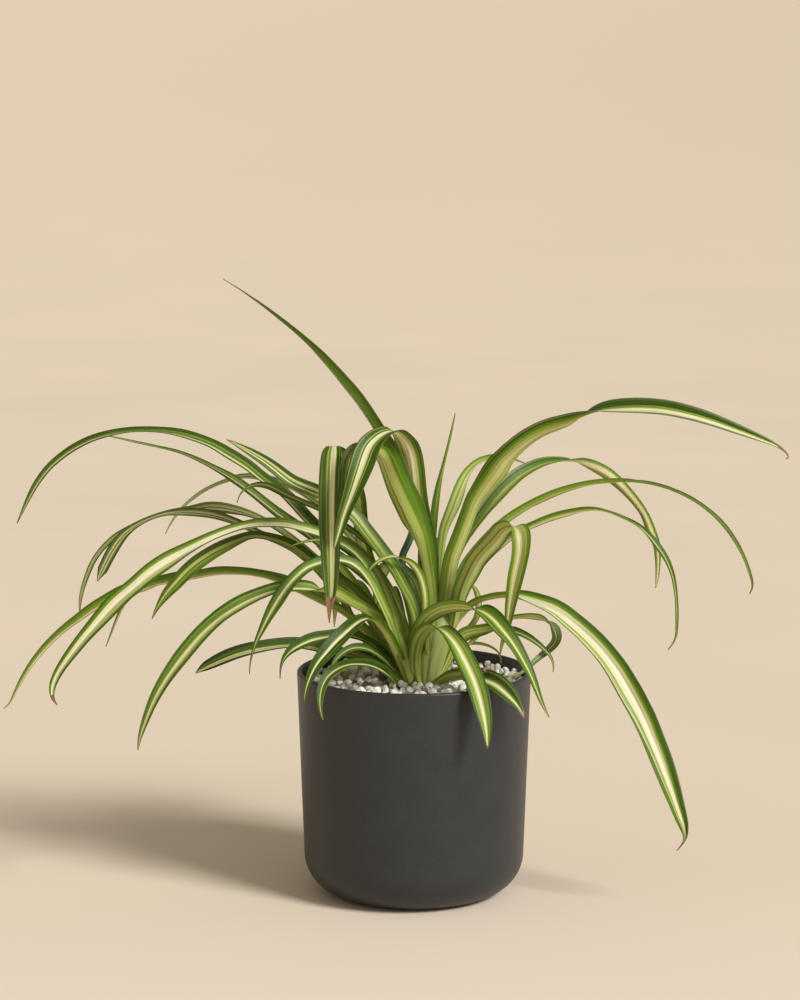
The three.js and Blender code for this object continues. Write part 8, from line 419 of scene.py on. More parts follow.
        '-6.07 1 135.83 -0.919 -0.345 0.192 7.24 46; -5.44 0.34 137.66 -0.897 -0.382 0.222 7.44 46; -4.5 -0.62 139.41 -0.859 -0.447 0.248 7.64 46; -3.34 -1.79 141.1 -0.838 -0.484 0.25 7.84 46; -0.82 -4.38 144.41 -0.84 -0.485 0.241 8.25 46; 0.35 -5.62 146.09 -0.862 -0.451 0.23 8.45 46; 1.31 -6.7 147.82 -0.899 -0.39 0.199 8.65 46; 1.96 -7.52 149.63 -0.943 -0.311 0.116 8.85 46; 2.19 -8 151.54 -0.964 -0.265 0.01 9.05 46; 2.2 -8.27 153.52 -0.966 -0.257 -0.033 9.13 45.1; 2.14 -9.08 159.46 -0.962 -0.265 -0.067 9.39 42.3; 1.92 -9.6 163.4 -0.95 -0.289 -0.119 9.49 40.4; 1.42 -10.07 167.3 -0.92 -0.337 -0.2 9.54 38.5; 0.55 -10.48 171.12 -0.866 -0.407 -0.29 9.64 36.6; -0.68 -10.96 174.86 -0.797 -0.485 -0.359 9.9 35.4; -2.98 -11.78 180.31 -0.685 -0.591 -0.427 10.56 33.9; -4.81 -12.4 183.82 -0.614 -0.642 -0.46 11.04 32.9; -6.77 -13.07 187.27 -0.575 -0.68 -0.455 11.49 31.9; -9.55 -14.02 192.49 -0.557 -0.724 -0.407 12.03 30.5; -11.39 -14.54 195.96 -0.538 -0.741 -0.402 12.27 29.5; -13.46 -14.89 199.29 -0.515 -0.752 -0.41 12.41 28.5; -16.93 -15.19 204.05 -0.494 -0.764 -0.415 12.49 27.1; -19.27 -15.42 207.25 -0.492 -0.761 -0.423 12.5 26.1; -21.55 -15.85 210.53 -0.477 -0.753 -0.453 12.5 25.7; -25.06 -16.88 215.46 -0.431 -0.753 -0.498 12.5 25.3; -27.49 -17.66 218.71 -0.426 -0.759 -0.492 12.5 25; -31.02 -18.62 223.66 -0.466 -0.771 -0.434 12.5 24.5; -33.34 -19 226.96 -0.47 -0.776 -0.421 12.48 24.2; -35.91 -19.16 230.02 -0.455 -0.777 -0.435 12.44 23.9; -38.75 -19.12 232.82 -0.437 -0.777 -0.453 12.35 23.6; -41.83 -18.93 235.32 -0.414 -0.773 -0.481 12.2 23.3; -45.11 -18.65 237.55 -0.395 -0.763 -0.511 11.98 23; -50.27 -18.06 240.55 -0.395 -0.737 -0.548 11.56 22.6; -55.58 -17.32 243.27 -0.384 -0.703 -0.599 11.02 22.1; -61.02 -16.62 245.69 -0.353 -0.661 -0.662 10.39 21.7; -66.54 -16.07 247.99 -0.366 -0.598 -0.713 9.68 21.2; -70.12 -15.75 249.71 -0.44 -0.538 -0.719 9.22 20.9; -73.49 -15.44 251.81 -0.535 -0.477 -0.697 8.83 20.6; -76.65 -15.1 254.21 -0.593 -0.433 -0.679 8.5 20.3; -81.3 -14.44 257.95 -0.601 -0.412 -0.684 7.91 19.7; -86.09 -13.68 261.47 -0.555 -0.418 -0.72 7.11 18.7; -91.09 -12.99 264.69 -0.512 -0.424 -0.747 6.23 17.7; -96.23 -12.47 267.75 -0.475 -0.436 -0.765 5.22 16.7; -101.46 -11.99 270.64 -0.453 -0.491 -0.744 3.83 15.7; -106.75 -11.43 273.42 -0.406 -0.605 -0.684 2.18 14.7; -110.34 -11 275.1 -0.377 -0.665 -0.645 0.7 14'),
    'leaf_left_curl': ('left_curl',
        '-5.92 1 134.82 -0.898 -0.408 0.165 3.51 46; -5.34 0.51 136.81 -0.875 -0.441 0.197 3.64 46; -4.41 -0.22 138.8 -0.84 -0.494 0.227 3.76 46; -2.2 -2.03 142.82 -0.842 -0.497 0.21 4.01 46; -1.25 -2.88 144.83 -0.877 -0.451 0.167 4.14 46; -0.63 -3.58 146.85 -0.923 -0.379 0.064 4.26 46; -0.51 -4 148.86 -0.941 -0.331 -0.067 4.39 46; -0.86 -4.5 152.84 -0.935 -0.33 -0.13 4.29 44; -1.79 -5.51 160.77 -0.9 -0.399 -0.179 4.1 40; -3.13 -6.5 168.66 -0.814 -0.534 -0.227 4.21 36; -4.94 -7.34 176.45 -0.701 -0.668 -0.251 4.64 33.9; -6.59 -7.85 182.19 -0.626 -0.738 -0.251 4.98 32.3; -8.5 -8.21 187.83 -0.569 -0.783 -0.251 5.25 30.7; -10.75 -8.47 193.31 -0.521 -0.804 -0.286 5.42 29.2; -12.53 -8.73 196.81 -0.473 -0.809 -0.348 5.47 28.1; -13.53 -8.93 198.49 -0.438 -0.81 -0.391 5.49 27.6; -14.61 -9.19 200.11 -0.395 -0.81 -0.435 5.49 27.1; -17.06 -9.92 203.15 -0.305 -0.808 -0.505 5.5 26; -19.76 -10.88 206 -0.244 -0.809 -0.535 5.5 25.7; -24.04 -12.41 210.14 -0.228 -0.817 -0.529 5.5 25.2; -26.99 -13.27 212.85 -0.251 -0.826 -0.505 5.5 24.9; -30.03 -13.85 215.5 -0.285 -0.833 -0.473 5.5 24.6; -33.12 -14.15 218.09 -0.316 -0.837 -0.446 5.49 24.2; -37.91 -14.16 221.76 -0.342 -0.838 -0.425 5.45 23.8; -44.46 -13.67 226.41 -0.373 -0.831 -0.413 5.3 23.1; -49.42 -13.12 229.8 -0.386 -0.812 -0.437 5.11 22.6; -54.53 -12.44 232.92 -0.384 -0.785 -0.486 4.86 22.2; -58.07 -11.88 234.71 -0.368 -0.762 -0.533 4.67 21.8; -63.59 -10.93 236.93 -0.357 -0.701 -0.617 4.39 21.3; -69.12 -9.96 239.13 -0.4 -0.595 -0.697 4.29 20.9; -76.37 -8.67 242.33 -0.45 -0.456 -0.768 4.6 20.2; -79.9 -8.01 244.13 -0.489 -0.398 -0.776 4.73 19.8; -83.41 -7.33 245.91 -0.432 -0.376 -0.82 4.68 19.1; -85.23 -6.99 246.63 -0.359 -0.383 -0.851 4.56 18.7; -87.11 -6.66 247.17 -0.269 -0.398 -0.877 4.37 18.3; -89.03 -6.33 247.5 -0.174 -0.419 -0.891 4.11 18; -90.99 -6.02 247.63 -0.078 -0.446 -0.892 3.78 17.6; -92.94 -5.73 247.54 0.024 -0.478 -0.878 3.4 17.3; -94.86 -5.47 247.22 0.134 -0.515 -0.847 2.99 16.9; -96.72 -5.22 246.64 0.244 -0.555 -0.795 2.57 16.5; -98.46 -5 245.79 0.347 -0.595 -0.725 2.16 16.2; -100.07 -4.8 244.69 0.435 -0.633 -0.641 1.79 15.8; -101.48 -4.62 243.36 0.511 -0.666 -0.544 1.45 15.4; -102.65 -4.45 241.83 0.573 -0.693 -0.438 1.17 15.1; -103.56 -4.3 240.12 0.616 -0.713 -0.334 0.95 14.7; -104.75 -4.01 236.38 0.643 -0.731 -0.23 0.7 14'),
    'leaf_left_thin': ('left_thin',
        '-5.25 0.75 127.02 -0.944 -0.268 0.193 4.96 46; -4.99 1.16 128.88 -0.941 -0.237 0.243 5.17 46; -4.53 1.81 130.83 -0.936 -0.192 0.295 5.38 46; -4.03 2.56 132.82 -0.94 -0.189 0.284 5.58 46; -3.62 3.27 134.81 -0.951 -0.226 0.214 5.79 46; -3.44 3.79 136.75 -0.955 -0.291 0.053 6 46; -3.63 4 138.58 -0.934 -0.328 -0.142 6.21 46; -4.09 4 140.54 -0.916 -0.339 -0.215 6.16 45.3; -6.08 3.99 148.31 -0.888 -0.385 -0.252 5.94 42.6; -7.82 3.96 154.07 -0.855 -0.435 -0.282 5.87 40.5; -9.78 3.83 159.78 -0.811 -0.496 -0.311 6.02 38.5; -11.99 3.57 165.43 -0.757 -0.548 -0.356 6.34 36.4; -14.55 3.08 170.95 -0.684 -0.597 -0.42 6.72 35.2; -16.52 2.61 174.52 -0.621 -0.632 -0.465 6.98 34.4; -18.73 2.05 177.96 -0.557 -0.665 -0.498 7.23 33.7; -22.41 1.18 182.86 -0.484 -0.711 -0.51 7.6 32.7; -25.05 0.75 185.94 -0.462 -0.736 -0.496 7.83 32; -27.84 0.58 188.84 -0.463 -0.75 -0.473 8.02 31.2; -30.77 0.76 191.54 -0.48 -0.754 -0.447 8.19 30.5; -33.82 1.29 194.05 -0.497 -0.757 -0.424 8.33 29.8; -38.58 2.52 197.55 -0.496 -0.767 -0.407 8.45 28.7; -45.13 4.22 201.96 -0.456 -0.783 -0.423 8.5 27.3; -50.05 5.1 205.33 -0.423 -0.79 -0.443 8.5 26.2; -56.56 6.03 209.92 -0.44 -0.788 -0.43 8.5 25.6; -61.35 6.96 213.45 -0.476 -0.779 -0.408 8.5 25.3; -66.1 8.07 216.97 -0.484 -0.766 -0.424 8.5 25; -71.02 9.21 220.23 -0.465 -0.755 -0.462 8.5 24.7; -77.63 10.91 224.43 -0.506 -0.74 -0.443 8.5 24.2; -82.46 12.39 227.7 -0.526 -0.745 -0.411 8.47 23.9; -88.69 14.44 232.32 -0.523 -0.78 -0.345 8.36 23.5; -94.88 16.52 236.97 -0.51 -0.796 -0.326 8.16 23; -101.13 18.65 241.52 -0.521 -0.769 -0.37 7.87 22.6; -105.95 20.29 244.73 -0.514 -0.762 -0.393 7.61 22.3; -109.21 21.44 246.75 -0.498 -0.788 -0.362 7.42 22; -114.22 23.28 249.52 -0.461 -0.844 -0.274 7.1 21.7; -121 25.9 252.91 -0.425 -0.891 -0.162 6.62 21.3; -126.15 27.87 255.32 -0.395 -0.91 -0.124 6.23 20.9; -133.17 30.37 258.28 -0.366 -0.923 -0.123 5.65 20.5; -138.56 32.23 260.19 -0.366 -0.923 -0.123 5.18 20.2; -144.02 34.25 261.7 -0.381 -0.917 -0.121 4.69 19.7; -151.34 37.16 263.19 -0.394 -0.907 -0.15 3.98 18.7; -158.67 40.13 264.51 -0.402 -0.882 -0.247 3.23 17.7; -166.01 43.1 265.81 -0.402 -0.81 -0.428 2.44 16.7; -173.36 46.05 267.11 -0.387 -0.707 -0.592 1.7 15.7; -180.74 48.92 268.37 -0.357 -0.678 -0.643 1.18 14.7; -186.32 51 269.19 -0.345 -0.679 -0.647 0.7 14'),
    'leaf_left_outer_a': ('left_outer_a',
        '-15.31 12.7 124.04 -0.82 -0.571 0.032 3.68 46; -14.99 12.36 125.97 -0.799 -0.6 0.043 3.83 46; -14.43 11.82 128.04 -0.775 -0.631 0.042 3.98 46; -13.81 11.19 130.16 -0.783 -0.621 0.02 4.14 46; -13.36 10.61 132.24 -0.818 -0.574 -0.032 4.29 46; -13.25 10.17 134.22 -0.855 -0.493 -0.16 4.44 46; -13.71 10 136.02 -0.833 -0.446 -0.327 4.6 46; -14.58 10 137.82 -0.809 -0.442 -0.388 4.65 45.4; -18.08 10.06 145.03 -0.808 -0.442 -0.39 4.88 43; -21.66 10.38 152.16 -0.812 -0.444 -0.379 4.9 40.5; -25.3 10.87 159.27 -0.789 -0.478 -0.386 4.82 38.1; -28.2 11.18 164.53 -0.736 -0.543 -0.403 4.91 36.3; -31.37 11.38 169.65 -0.673 -0.609 -0.42 5.13 35.2; -34.8 11.55 174.61 -0.624 -0.654 -0.427 5.39 34.2; -38.47 11.8 179.37 -0.583 -0.69 -0.43 5.65 33.3; -42.43 12.21 183.87 -0.536 -0.729 -0.425 5.9 32.3; -46.7 12.8 188.06 -0.497 -0.762 -0.415 6.11 31.4; -52.64 13.77 193.35 -0.475 -0.792 -0.384 6.33 30.1; -58.64 14.87 198.56 -0.468 -0.803 -0.369 6.46 28.8; -64.73 16.12 203.62 -0.463 -0.816 -0.346 6.5 27.6; -70.88 17.64 208.53 -0.466 -0.83 -0.308 6.5 26.3; -75.57 18.98 212.05 -0.463 -0.832 -0.305 6.5 25.8; -80.43 20.44 215.28 -0.448 -0.837 -0.315 6.5 25.5; -85.46 22 218.2 -0.446 -0.837 -0.317 6.5 25.2; -90.61 23.78 220.85 -0.457 -0.829 -0.322 6.5 24.9; -94.15 25.16 222.35 -0.47 -0.81 -0.35 6.5 24.7; -97.76 26.75 223.62 -0.487 -0.766 -0.419 6.51 24.5; -101.45 28.53 224.68 -0.484 -0.691 -0.537 6.54 24.3; -107.07 31.41 225.89 -0.405 -0.534 -0.742 6.8 24; -110.86 33.26 226.51 -0.319 -0.434 -0.842 6.96 23.9; -112.77 34.09 226.77 -0.273 -0.396 -0.876 7.27 23.8; -116.61 35.47 227.17 -0.184 -0.353 -0.917 7.37 23.6; -120.46 36.47 227.39 -0.099 -0.35 -0.932 7.24 23.4; -124.3 37.15 227.33 0.013 -0.385 -0.923 6.89 23.2; -126.2 37.42 227.11 0.076 -0.412 -0.908 6.89 23.1; -128.07 37.68 226.77 0.124 -0.44 -0.889 6.72 23; -131.77 38.25 225.86 0.132 -0.483 -0.866 6.39 22.8; -135.46 38.98 225.01 0.059 -0.521 -0.851 6.12 22.6; -141.07 40.38 224.01 -0.044 -0.634 -0.772 5.86 22.3; -146.7 42.01 222.99 -0.102 -0.776 -0.622 5.66 22; -150.41 43.14 222.11 -0.109 -0.836 -0.538 5.51 21.8; -154.07 44.24 221.01 -0.09 -0.861 -0.5 5.36 21.6; -159.43 45.77 219.01 -0.018 -0.853 -0.522 5.12 21.3; -164.69 47.11 216.68 0.104 -0.793 -0.6 4.86 21; -169.8 48.26 213.95 0.254 -0.661 -0.706 4.63 20.7; -174.93 49.31 211.17 0.323 -0.496 -0.806 4.48 20.4; -178.37 50.02 209.31 0.381 -0.437 -0.815 4.35 20.3; -181.66 50.73 207.2 0.461 -0.427 -0.778 4.15 20.1; -184.73 51.45 204.76 0.53 -0.434 -0.728 3.94 19.7; -187.6 52.12 202.07 0.586 -0.437 -0.682 3.77 19.3; -190.3 52.71 199.17 0.642 -0.428 -0.636 3.68 18.8; -192.8 53.19 196.09 0.706 -0.404 -0.582 3.66 18.4; -195.04 53.59 192.8 0.77 -0.371 -0.519 3.67 17.9; -196.99 53.94 189.33 0.828 -0.34 -0.446 3.66 17.5; -198.62 54.27 185.69 0.864 -0.321 -0.387 3.58 17.1; -201.49 54.89 178.23 0.889 -0.306 -0.34 3.19 16.2; -203.29 55.29 172.52 0.925 -0.275 -0.263 2.74 15.5; -204.18 55.52 168.62 0.951 -0.241 -0.193 2.35 15.1; -204.77 55.73 164.67 0.969 -0.215 -0.119 1.88 14.7; -205.17 56 158.69 0.977 -0.204 -0.053 0.7 14'),
    'leaf_left_outer_b': ('left_outer_b',
        '-15.15 12.6 123 -0.783 -0.622 0.017 3.98 46; -15.35 12.91 125.24 -0.794 -0.608 0.022 4.23 46; -15.62 13.38 127.66 -0.807 -0.59 -0.022 4.48 46; -16.14 13.81 129.98 -0.781 -0.596 -0.184 4.73 46; -17.1 14 131.94 -0.695 -0.607 -0.386 4.98 46; -18.28 14 133.55 -0.639 -0.609 -0.471 5 45.3; -23.01 13.95 140.02 -0.637 -0.609 -0.473 5.15 42.5; -27.71 13.7 146.57 -0.631 -0.609 -0.48 5.46 39.8; -31.14 13.54 151.55 -0.652 -0.623 -0.432 5.76 37.7; -34.41 13.74 156.6 -0.657 -0.658 -0.369 6.11 35.8; -37.6 14.33 161.64 -0.654 -0.698 -0.292 6.48 34.7; -39.52 14.87 165.08 -0.656 -0.722 -0.221 6.73 34; -42.03 15.69 170.46 -0.62 -0.763 -0.18 7.08 32.9; -43.82 16.17 173.98 -0.565 -0.795 -0.22 7.3 32.2; -45.99 16.58 177.28 -0.496 -0.824 -0.273 7.5 31.4; -48.54 16.95 180.32 -0.44 -0.846 -0.301 7.67 30.7; -52.66 17.45 184.64 -0.416 -0.864 -0.286 7.86 29.6; -57.96 18.22 190.57 -0.424 -0.867 -0.263 7.98 28.2; -62.18 18.94 194.77 -0.411 -0.869 -0.275 8 27.1; -66.62 19.74 198.73 -0.397 -0.871 -0.288 8 26; -71.33 20.56 202.33 -0.362 -0.877 -0.314 8 25.7; -74.69 21.11 204.43 -0.331 -0.882 -0.334 8 25.4; -78.21 21.67 206.23 -0.301 -0.887 -0.349 8 25.2; -85.5 22.81 209.3 -0.282 -0.891 -0.357 8 24.8; -92.83 23.94 212.26 -0.286 -0.896 -0.339 8 24.3; -99.88 25.02 215.75 -0.296 -0.906 -0.302 7.97 23.9; -105.15 25.86 218.23 -0.281 -0.906 -0.317 7.9 23.6; -110.54 26.7 220.34 -0.27 -0.885 -0.38 7.78 23.2; -116.04 27.57 222.14 -0.286 -0.837 -0.466 7.61 22.9; -119.78 28.36 223.09 -0.308 -0.792 -0.527 7.47 22.7; -123.56 29.41 223.77 -0.315 -0.747 -0.586 7.31 22.4; -127.37 30.66 224.19 -0.295 -0.716 -0.633 7.14 22.2; -131.22 32 224.38 -0.256 -0.709 -0.657 6.95 22; -137.04 33.9 224.29 -0.2 -0.737 -0.646 6.65 21.7; -142.88 35.6 223.94 -0.171 -0.792 -0.586 6.3 21.3; -146.76 36.66 223.5 -0.144 -0.835 -0.53 6.06 21.1; -150.58 37.69 222.74 -0.119 -0.866 -0.486 5.8 20.9; -154.34 38.74 221.66 -0.089 -0.875 -0.476 5.53 20.7; -158.02 39.79 220.29 -0.048 -0.862 -0.504 5.24 20.4; -163.39 41.41 217.87 0.056 -0.797 -0.602 4.84 20.1; -166.87 42.46 216.02 0.176 -0.715 -0.676 4.72 19.8; -170.22 43.42 213.94 0.327 -0.601 -0.729 4.9 19.2; -173.4 44.26 211.59 0.481 -0.476 -0.736 5.43 18.7; -174.89 44.65 210.29 0.554 -0.421 -0.718 5.78 18.5; -176.3 45.01 208.91 0.62 -0.374 -0.69 6.13 18.2; -177.62 45.36 207.45 0.675 -0.336 -0.657 6.45 18; -180.06 46.03 204.33 0.749 -0.285 -0.598 6.97 17.5; -182.27 46.67 201.05 0.792 -0.259 -0.554 7.28 17; -184.32 47.28 197.67 0.82 -0.247 -0.515 7.36 16.5; -186.23 47.81 194.19 0.847 -0.234 -0.477 7.25 16; -188.94 48.41 188.87 0.872 -0.162 -0.461 6.79 15.2; -189.85 48.56 187.1 0.879 -0.126 -0.461 6.56 15; -191.64 48.81 183.53 0.9 -0.058 -0.432 3.7 14.5; -193.28 49 179.89 0.915 -0.017 -0.404 0.7 14'),
    'leaf_left_wide': ('left_wide',
        '-5.18 0.68 125.64 -0.843 -0.471 -0.261 6.96 46; -5.52 0.12 127.73 -0.836 -0.45 -0.316 7.31 46; -6.02 -0.74 129.9 -0.826 -0.418 -0.379 7.66 46; -6.6 -1.69 132.09 -0.825 -0.421 -0.377 8.01 46; -7.11 -2.52 134.26 -0.835 -0.455 -0.31 8.35 46; -7.47 -3 136.36 -0.849 -0.488 -0.203 8.7 46; -7.68 -3.23 138.33 -0.854 -0.497 -0.151 8.72 45.5; -8.68 -4.19 146.22 -0.84 -0.508 -0.193 8.89 43.3; -9.67 -5.07 152.13 -0.811 -0.535 -0.239 9.13 41.7; -10.87 -6.1 158.03 -0.776 -0.572 -0.267 9.46 40.1; -12.33 -6.91 163.83 -0.741 -0.613 -0.276 9.85 38.5; -14.01 -7.46 169.51 -0.697 -0.661 -0.278 10.31 36.9; -15.96 -7.87 175.06 -0.64 -0.711 -0.29 10.79 35.6; -18.9 -8.29 182.32 -0.575 -0.77 -0.275 11.47 34.5; -21.19 -8.47 187.72 -0.527 -0.81 -0.257 11.97 33.6; -22.85 -8.61 191.26 -0.474 -0.831 -0.292 12.3 33.1; -23.79 -8.73 192.99 -0.438 -0.839 -0.324 12.45 32.8; -24.82 -8.9 194.68 -0.396 -0.845 -0.359 12.61 32.5; -27.14 -9.43 197.9 -0.306 -0.855 -0.419 12.9 32; -29.71 -10.21 200.97 -0.227 -0.86 -0.456 13.16 31.4; -32.44 -11.19 203.91 -0.163 -0.866 -0.473 13.4 30.8; -35.34 -12.22 206.65 -0.116 -0.876 -0.469 13.6 30.3; -38.44 -13.17 209.13 -0.089 -0.889 -0.45 13.76 29.7; -41.72 -13.94 211.34 -0.081 -0.902 -0.423 13.88 29.2; -46.8 -14.85 214.33 -0.065 -0.918 -0.392 13.97 28.3; -50.26 -15.42 216.14 -0.03 -0.923 -0.384 13.99 27.8; -53.78 -16.08 217.77 0.025 -0.924 -0.381 14 27.2; -59.19 -17.36 219.89 0.114 -0.921 -0.372 14 26.4; -64.69 -18.96 221.71 0.168 -0.919 -0.356 14 25.8; -72.06 -21.18 223.96 0.186 -0.933 -0.308 14 25.5; -75.82 -22.24 224.79 0.209 -0.936 -0.282 14 25.3; -79.64 -23.27 225.25 0.226 -0.939 -0.26 14 25.2; -85.43 -24.75 225.59 0.222 -0.945 -0.238 14 24.9; -89.31 -25.66 225.66 0.212 -0.952 -0.22 14 24.7; -93.21 -26.47 225.47 0.208 -0.96 -0.188 14 24.6; -97.09 -27.22 224.97 0.213 -0.965 -0.152 14 24.4; -100.95 -28 224.27 0.232 -0.964 -0.132 14 24.2; -104.74 -28.85 223.37 0.262 -0.956 -0.133 13.99 24; -110.32 -30.27 221.72 0.3 -0.941 -0.157 13.94 23.8; -115.8 -31.73 219.78 0.321 -0.927 -0.193 13.82 23.5; -121.18 -33.11 217.53 0.326 -0.915 -0.24 13.66 23.3; -126.51 -34.28 215.08 0.323 -0.899 -0.297 13.44 23; -131.8 -35.29 212.45 0.348 -0.863 -0.366 13.18 22.8; -135.33 -35.98 210.7 0.379 -0.818 -0.433 12.98 22.6; -140.63 -37.15 208.16 0.435 -0.703 -0.562 12.65 22.3; -144.13 -37.98 206.42 0.473 -0.614 -0.632 12.4 22.2; -147.56 -38.77 204.54 0.509 -0.542 -0.669 12.15 22; -150.91 -39.47 202.48 0.54 -0.487 -0.687 11.87 21.8; -154.16 -40.08 200.25 0.582 -0.439 -0.685 11.58 21.6; -157.27 -40.64 197.81 0.627 -0.408 -0.664 11.28 21.5; -160.26 -41.18 195.23 0.637 -0.405 -0.656 10.99 21.3; -164.83 -41.97 191.44 0.61 -0.419 -0.672 10.74 21; -167.93 -42.49 188.97 0.616 -0.396 -0.681 10.86 20.9; -172.46 -43.25 185.13 0.665 -0.32 -0.675 11.34 20.6; -175.34 -43.73 182.4 0.7 -0.291 -0.652 11.49 20.4; -178.08 -44.21 179.53 0.728 -0.292 -0.62 11.31 20.3; -182.02 -44.92 175.07 0.738 -0.316 -0.596 10.62 20; -187.3 -45.85 169.15 0.721 -0.357 -0.594 9.48 19.2; -192.57 -46.71 163.2 0.73 -0.362 -0.58 8.5 18.5; -197.62 -47.39 157.04 0.758 -0.325 -0.565 7.71 17.7; -202.45 -48.11 150.72 0.789 -0.304 -0.534 6.76 16.9; -205.81 -48.86 145.83 0.83 -0.277 -0.484 5.99 16.3; -207.84 -49.42 142.43 0.869 -0.217 -0.444 5.47 15.9; -209.58 -49.94 138.89 0.923 -0.093 -0.374 4.85 15.5; -210.27 -50.16 137.06 0.951 -0.002 -0.311 4.48 15.4; -210.8 -50.37 135.17 0.97 0.105 -0.221 4.06 15.2; -211.1 -50.54 133.25 0.969 0.221 -0.108 3.59 15; -211.16 -50.68 131.31 0.941 0.339 0.026 3.07 14.8; -210.91 -50.8 129.43 0.875 0.449 0.18 2.53 14.6; -210.31 -50.88 127.67 0.77 0.545 0.333 2 14.4; -208.17 -51 124.64 0.588 0.67 0.454 0.7 14'),
    'leaf_left_back_long': ('left_back_long',
        '-15.15 12.6 123 0.815 -0.315 -0.487 5.05 46; -14.07 12.47 124.9 0.749 -0.336 -0.571 5.37 46; -12.41 12.26 126.79 0.716 -0.344 -0.608 5.68 46; -11.04 12.08 128.68 0.876 -0.285 -0.388 6 46; -10.84 12 130.54 0.96 -0.26 0.103 6.31 46; -11.47 12 132.43 0.914 -0.259 0.312 6.31 45.5; -13.62 12.02 138 0.882 -0.256 0.395 6.34 43.8; -15.38 12.07 141.57 0.844 -0.246 0.476 6.37 42.7; -17.5 12.2 144.93 0.787 -0.225 0.574 6.42 41.6; -19.97 12.49 148.03 0.721 -0.205 0.662 6.48 40.5; -22.7 13.03 150.87 0.652 -0.207 0.73 6.52 39.4; -25.62 13.82 153.47 0.574 -0.244 0.782 6.55 38.3; -28.69 14.82 155.87 0.5 -0.305 0.811 6.63 37.2; -35.05 16.99 160.37 0.411 -0.44 0.798 6.98 35.5; -38.33 17.82 162.55 0.403 -0.503 0.765 7.2 34.9; -41.62 18.34 164.75 0.428 -0.558 0.711 7.42 34.4; -44.86 18.56 167.07 0.46 -0.598 0.656 7.64 33.8; -48.09 18.59 169.44 0.461 -0.617 0.638 7.86 33.2; -53.08 18.55 172.76 0.408 -0.618 0.672 8.16 32.4; -58.26 18.73 175.7 0.336 -0.613 0.715 8.43 31.5; -63.58 19.25 178.33 0.272 -0.611 0.744 8.66 30.6; -68.91 20.12 180.85 0.229 -0.625 0.746 8.83 29.8; -72.46 20.89 182.47 0.172 -0.636 0.752 8.91 29.2; -76.08 21.76 183.86 0.097 -0.643 0.76 8.96 28.6; -79.79 22.7 184.94 0.024 -0.648 0.762 8.99 28.1; -83.57 23.65 185.73 -0.023 -0.657 0.754 9 27.5; -91.23 25.43 187.02 -0.037 -0.688 0.725 9 26.3; -98.99 26.96 188 -0.063 -0.709 0.703 9 25.8; -104.85 28.09 188.39 -0.124 -0.713 0.69 9 25.5; -110.68 29.38 188.41 -0.178 -0.694 0.698 9 25.2; -116.49 30.81 188.18 -0.216 -0.676 0.704 9 25; -120.33 31.77 187.81 -0.264 -0.673 0.691 9 24.8; -124.12 32.71 187.1 -0.315 -0.67 0.673 9 24.6; -127.89 33.61 186.2 -0.308 -0.671 0.674 9 24.4; -131.7 34.49 185.48 -0.258 -0.672 0.694 9 24.3; -137.48 35.83 184.8 -0.243 -0.66 0.711 8.99 24; -141.32 36.76 184.26 -0.277 -0.658 0.701 8.97 23.8; -147.02 38.12 183.08 -0.314 -0.678 0.664 8.9 23.6; -150.79 38.95 182.1 -0.331 -0.678 0.656 8.83 23.4; -154.53 39.72 180.95 -0.353 -0.639 0.683 8.75 23.2; -160.06 40.77 178.95 -0.384 -0.519 0.764 8.6 22.9; -163.74 41.42 177.57 -0.361 -0.435 0.825 8.48 22.8; -165.6 41.73 176.96 -0.318 -0.402 0.859 8.42 22.7; -167.49 42.02 176.47 -0.256 -0.377 0.89 8.35 22.6; -169.42 42.31 176.11 -0.198 -0.358 0.913 8.29 22.5; -171.36 42.6 175.85 -0.175 -0.34 0.924 8.21 22.4; -173.29 42.88 175.59 -0.205 -0.322 0.925 8.14 22.3; -175.19 43.17 175.2 -0.28 -0.302 0.911 8.06 22.2; -177.04 43.45 174.63 -0.37 -0.283 0.885 7.98 22.2; -178.84 43.75 173.87 -0.444 -0.269 0.854 7.9 22.1; -182.3 44.33 172.01 -0.515 -0.257 0.818 7.72 21.9; -189.09 45.51 168 -0.525 -0.274 0.806 7.34 21.5; -194.15 46.37 164.93 -0.545 -0.314 0.777 7.03 21.3; -199.02 47.19 161.58 -0.6 -0.354 0.717 6.7 21; -205.26 48.25 156.74 -0.594 -0.406 0.694 6.22 20.7; -211.55 49.26 151.94 -0.602 -0.418 0.681 5.71 20.3; -216.14 49.88 148.16 -0.624 -0.393 0.675 5.31 20.1; -220.59 50.33 144.19 -0.659 -0.338 0.672 4.92 19.5; -224.82 50.68 139.98 -0.705 -0.299 0.644 4.57 18.9; -228.79 51.01 135.53 -0.741 -0.291 0.605 4.28 18.3; -232.54 51.36 130.88 -0.768 -0.303 0.564 4 17.8; -236.02 51.74 126.04 -0.795 -0.332 0.507 3.65 17.2; -239.2 52.16 120.99 -0.813 -0.364 0.454 3.23 16.6; -243.08 52.69 114.05 -0.816 -0.411 0.406 2.62 15.8; -245.74 52.92 108.71 -0.795 -0.487 0.36 2.02 15.2; -247.44 52.98 105.13 -0.729 -0.569 0.38 1.51 14.8; -248.41 52.99 103.44 -0.663 -0.61 0.435 1.26 14.6; -249.57 53 101.9 -0.579 -0.645 0.498 1.04 14.4; -252.42 53 99.25 -0.469 -0.693 0.547 0.7 14'),
    'leaf_left_back_short': ('left_back_short',
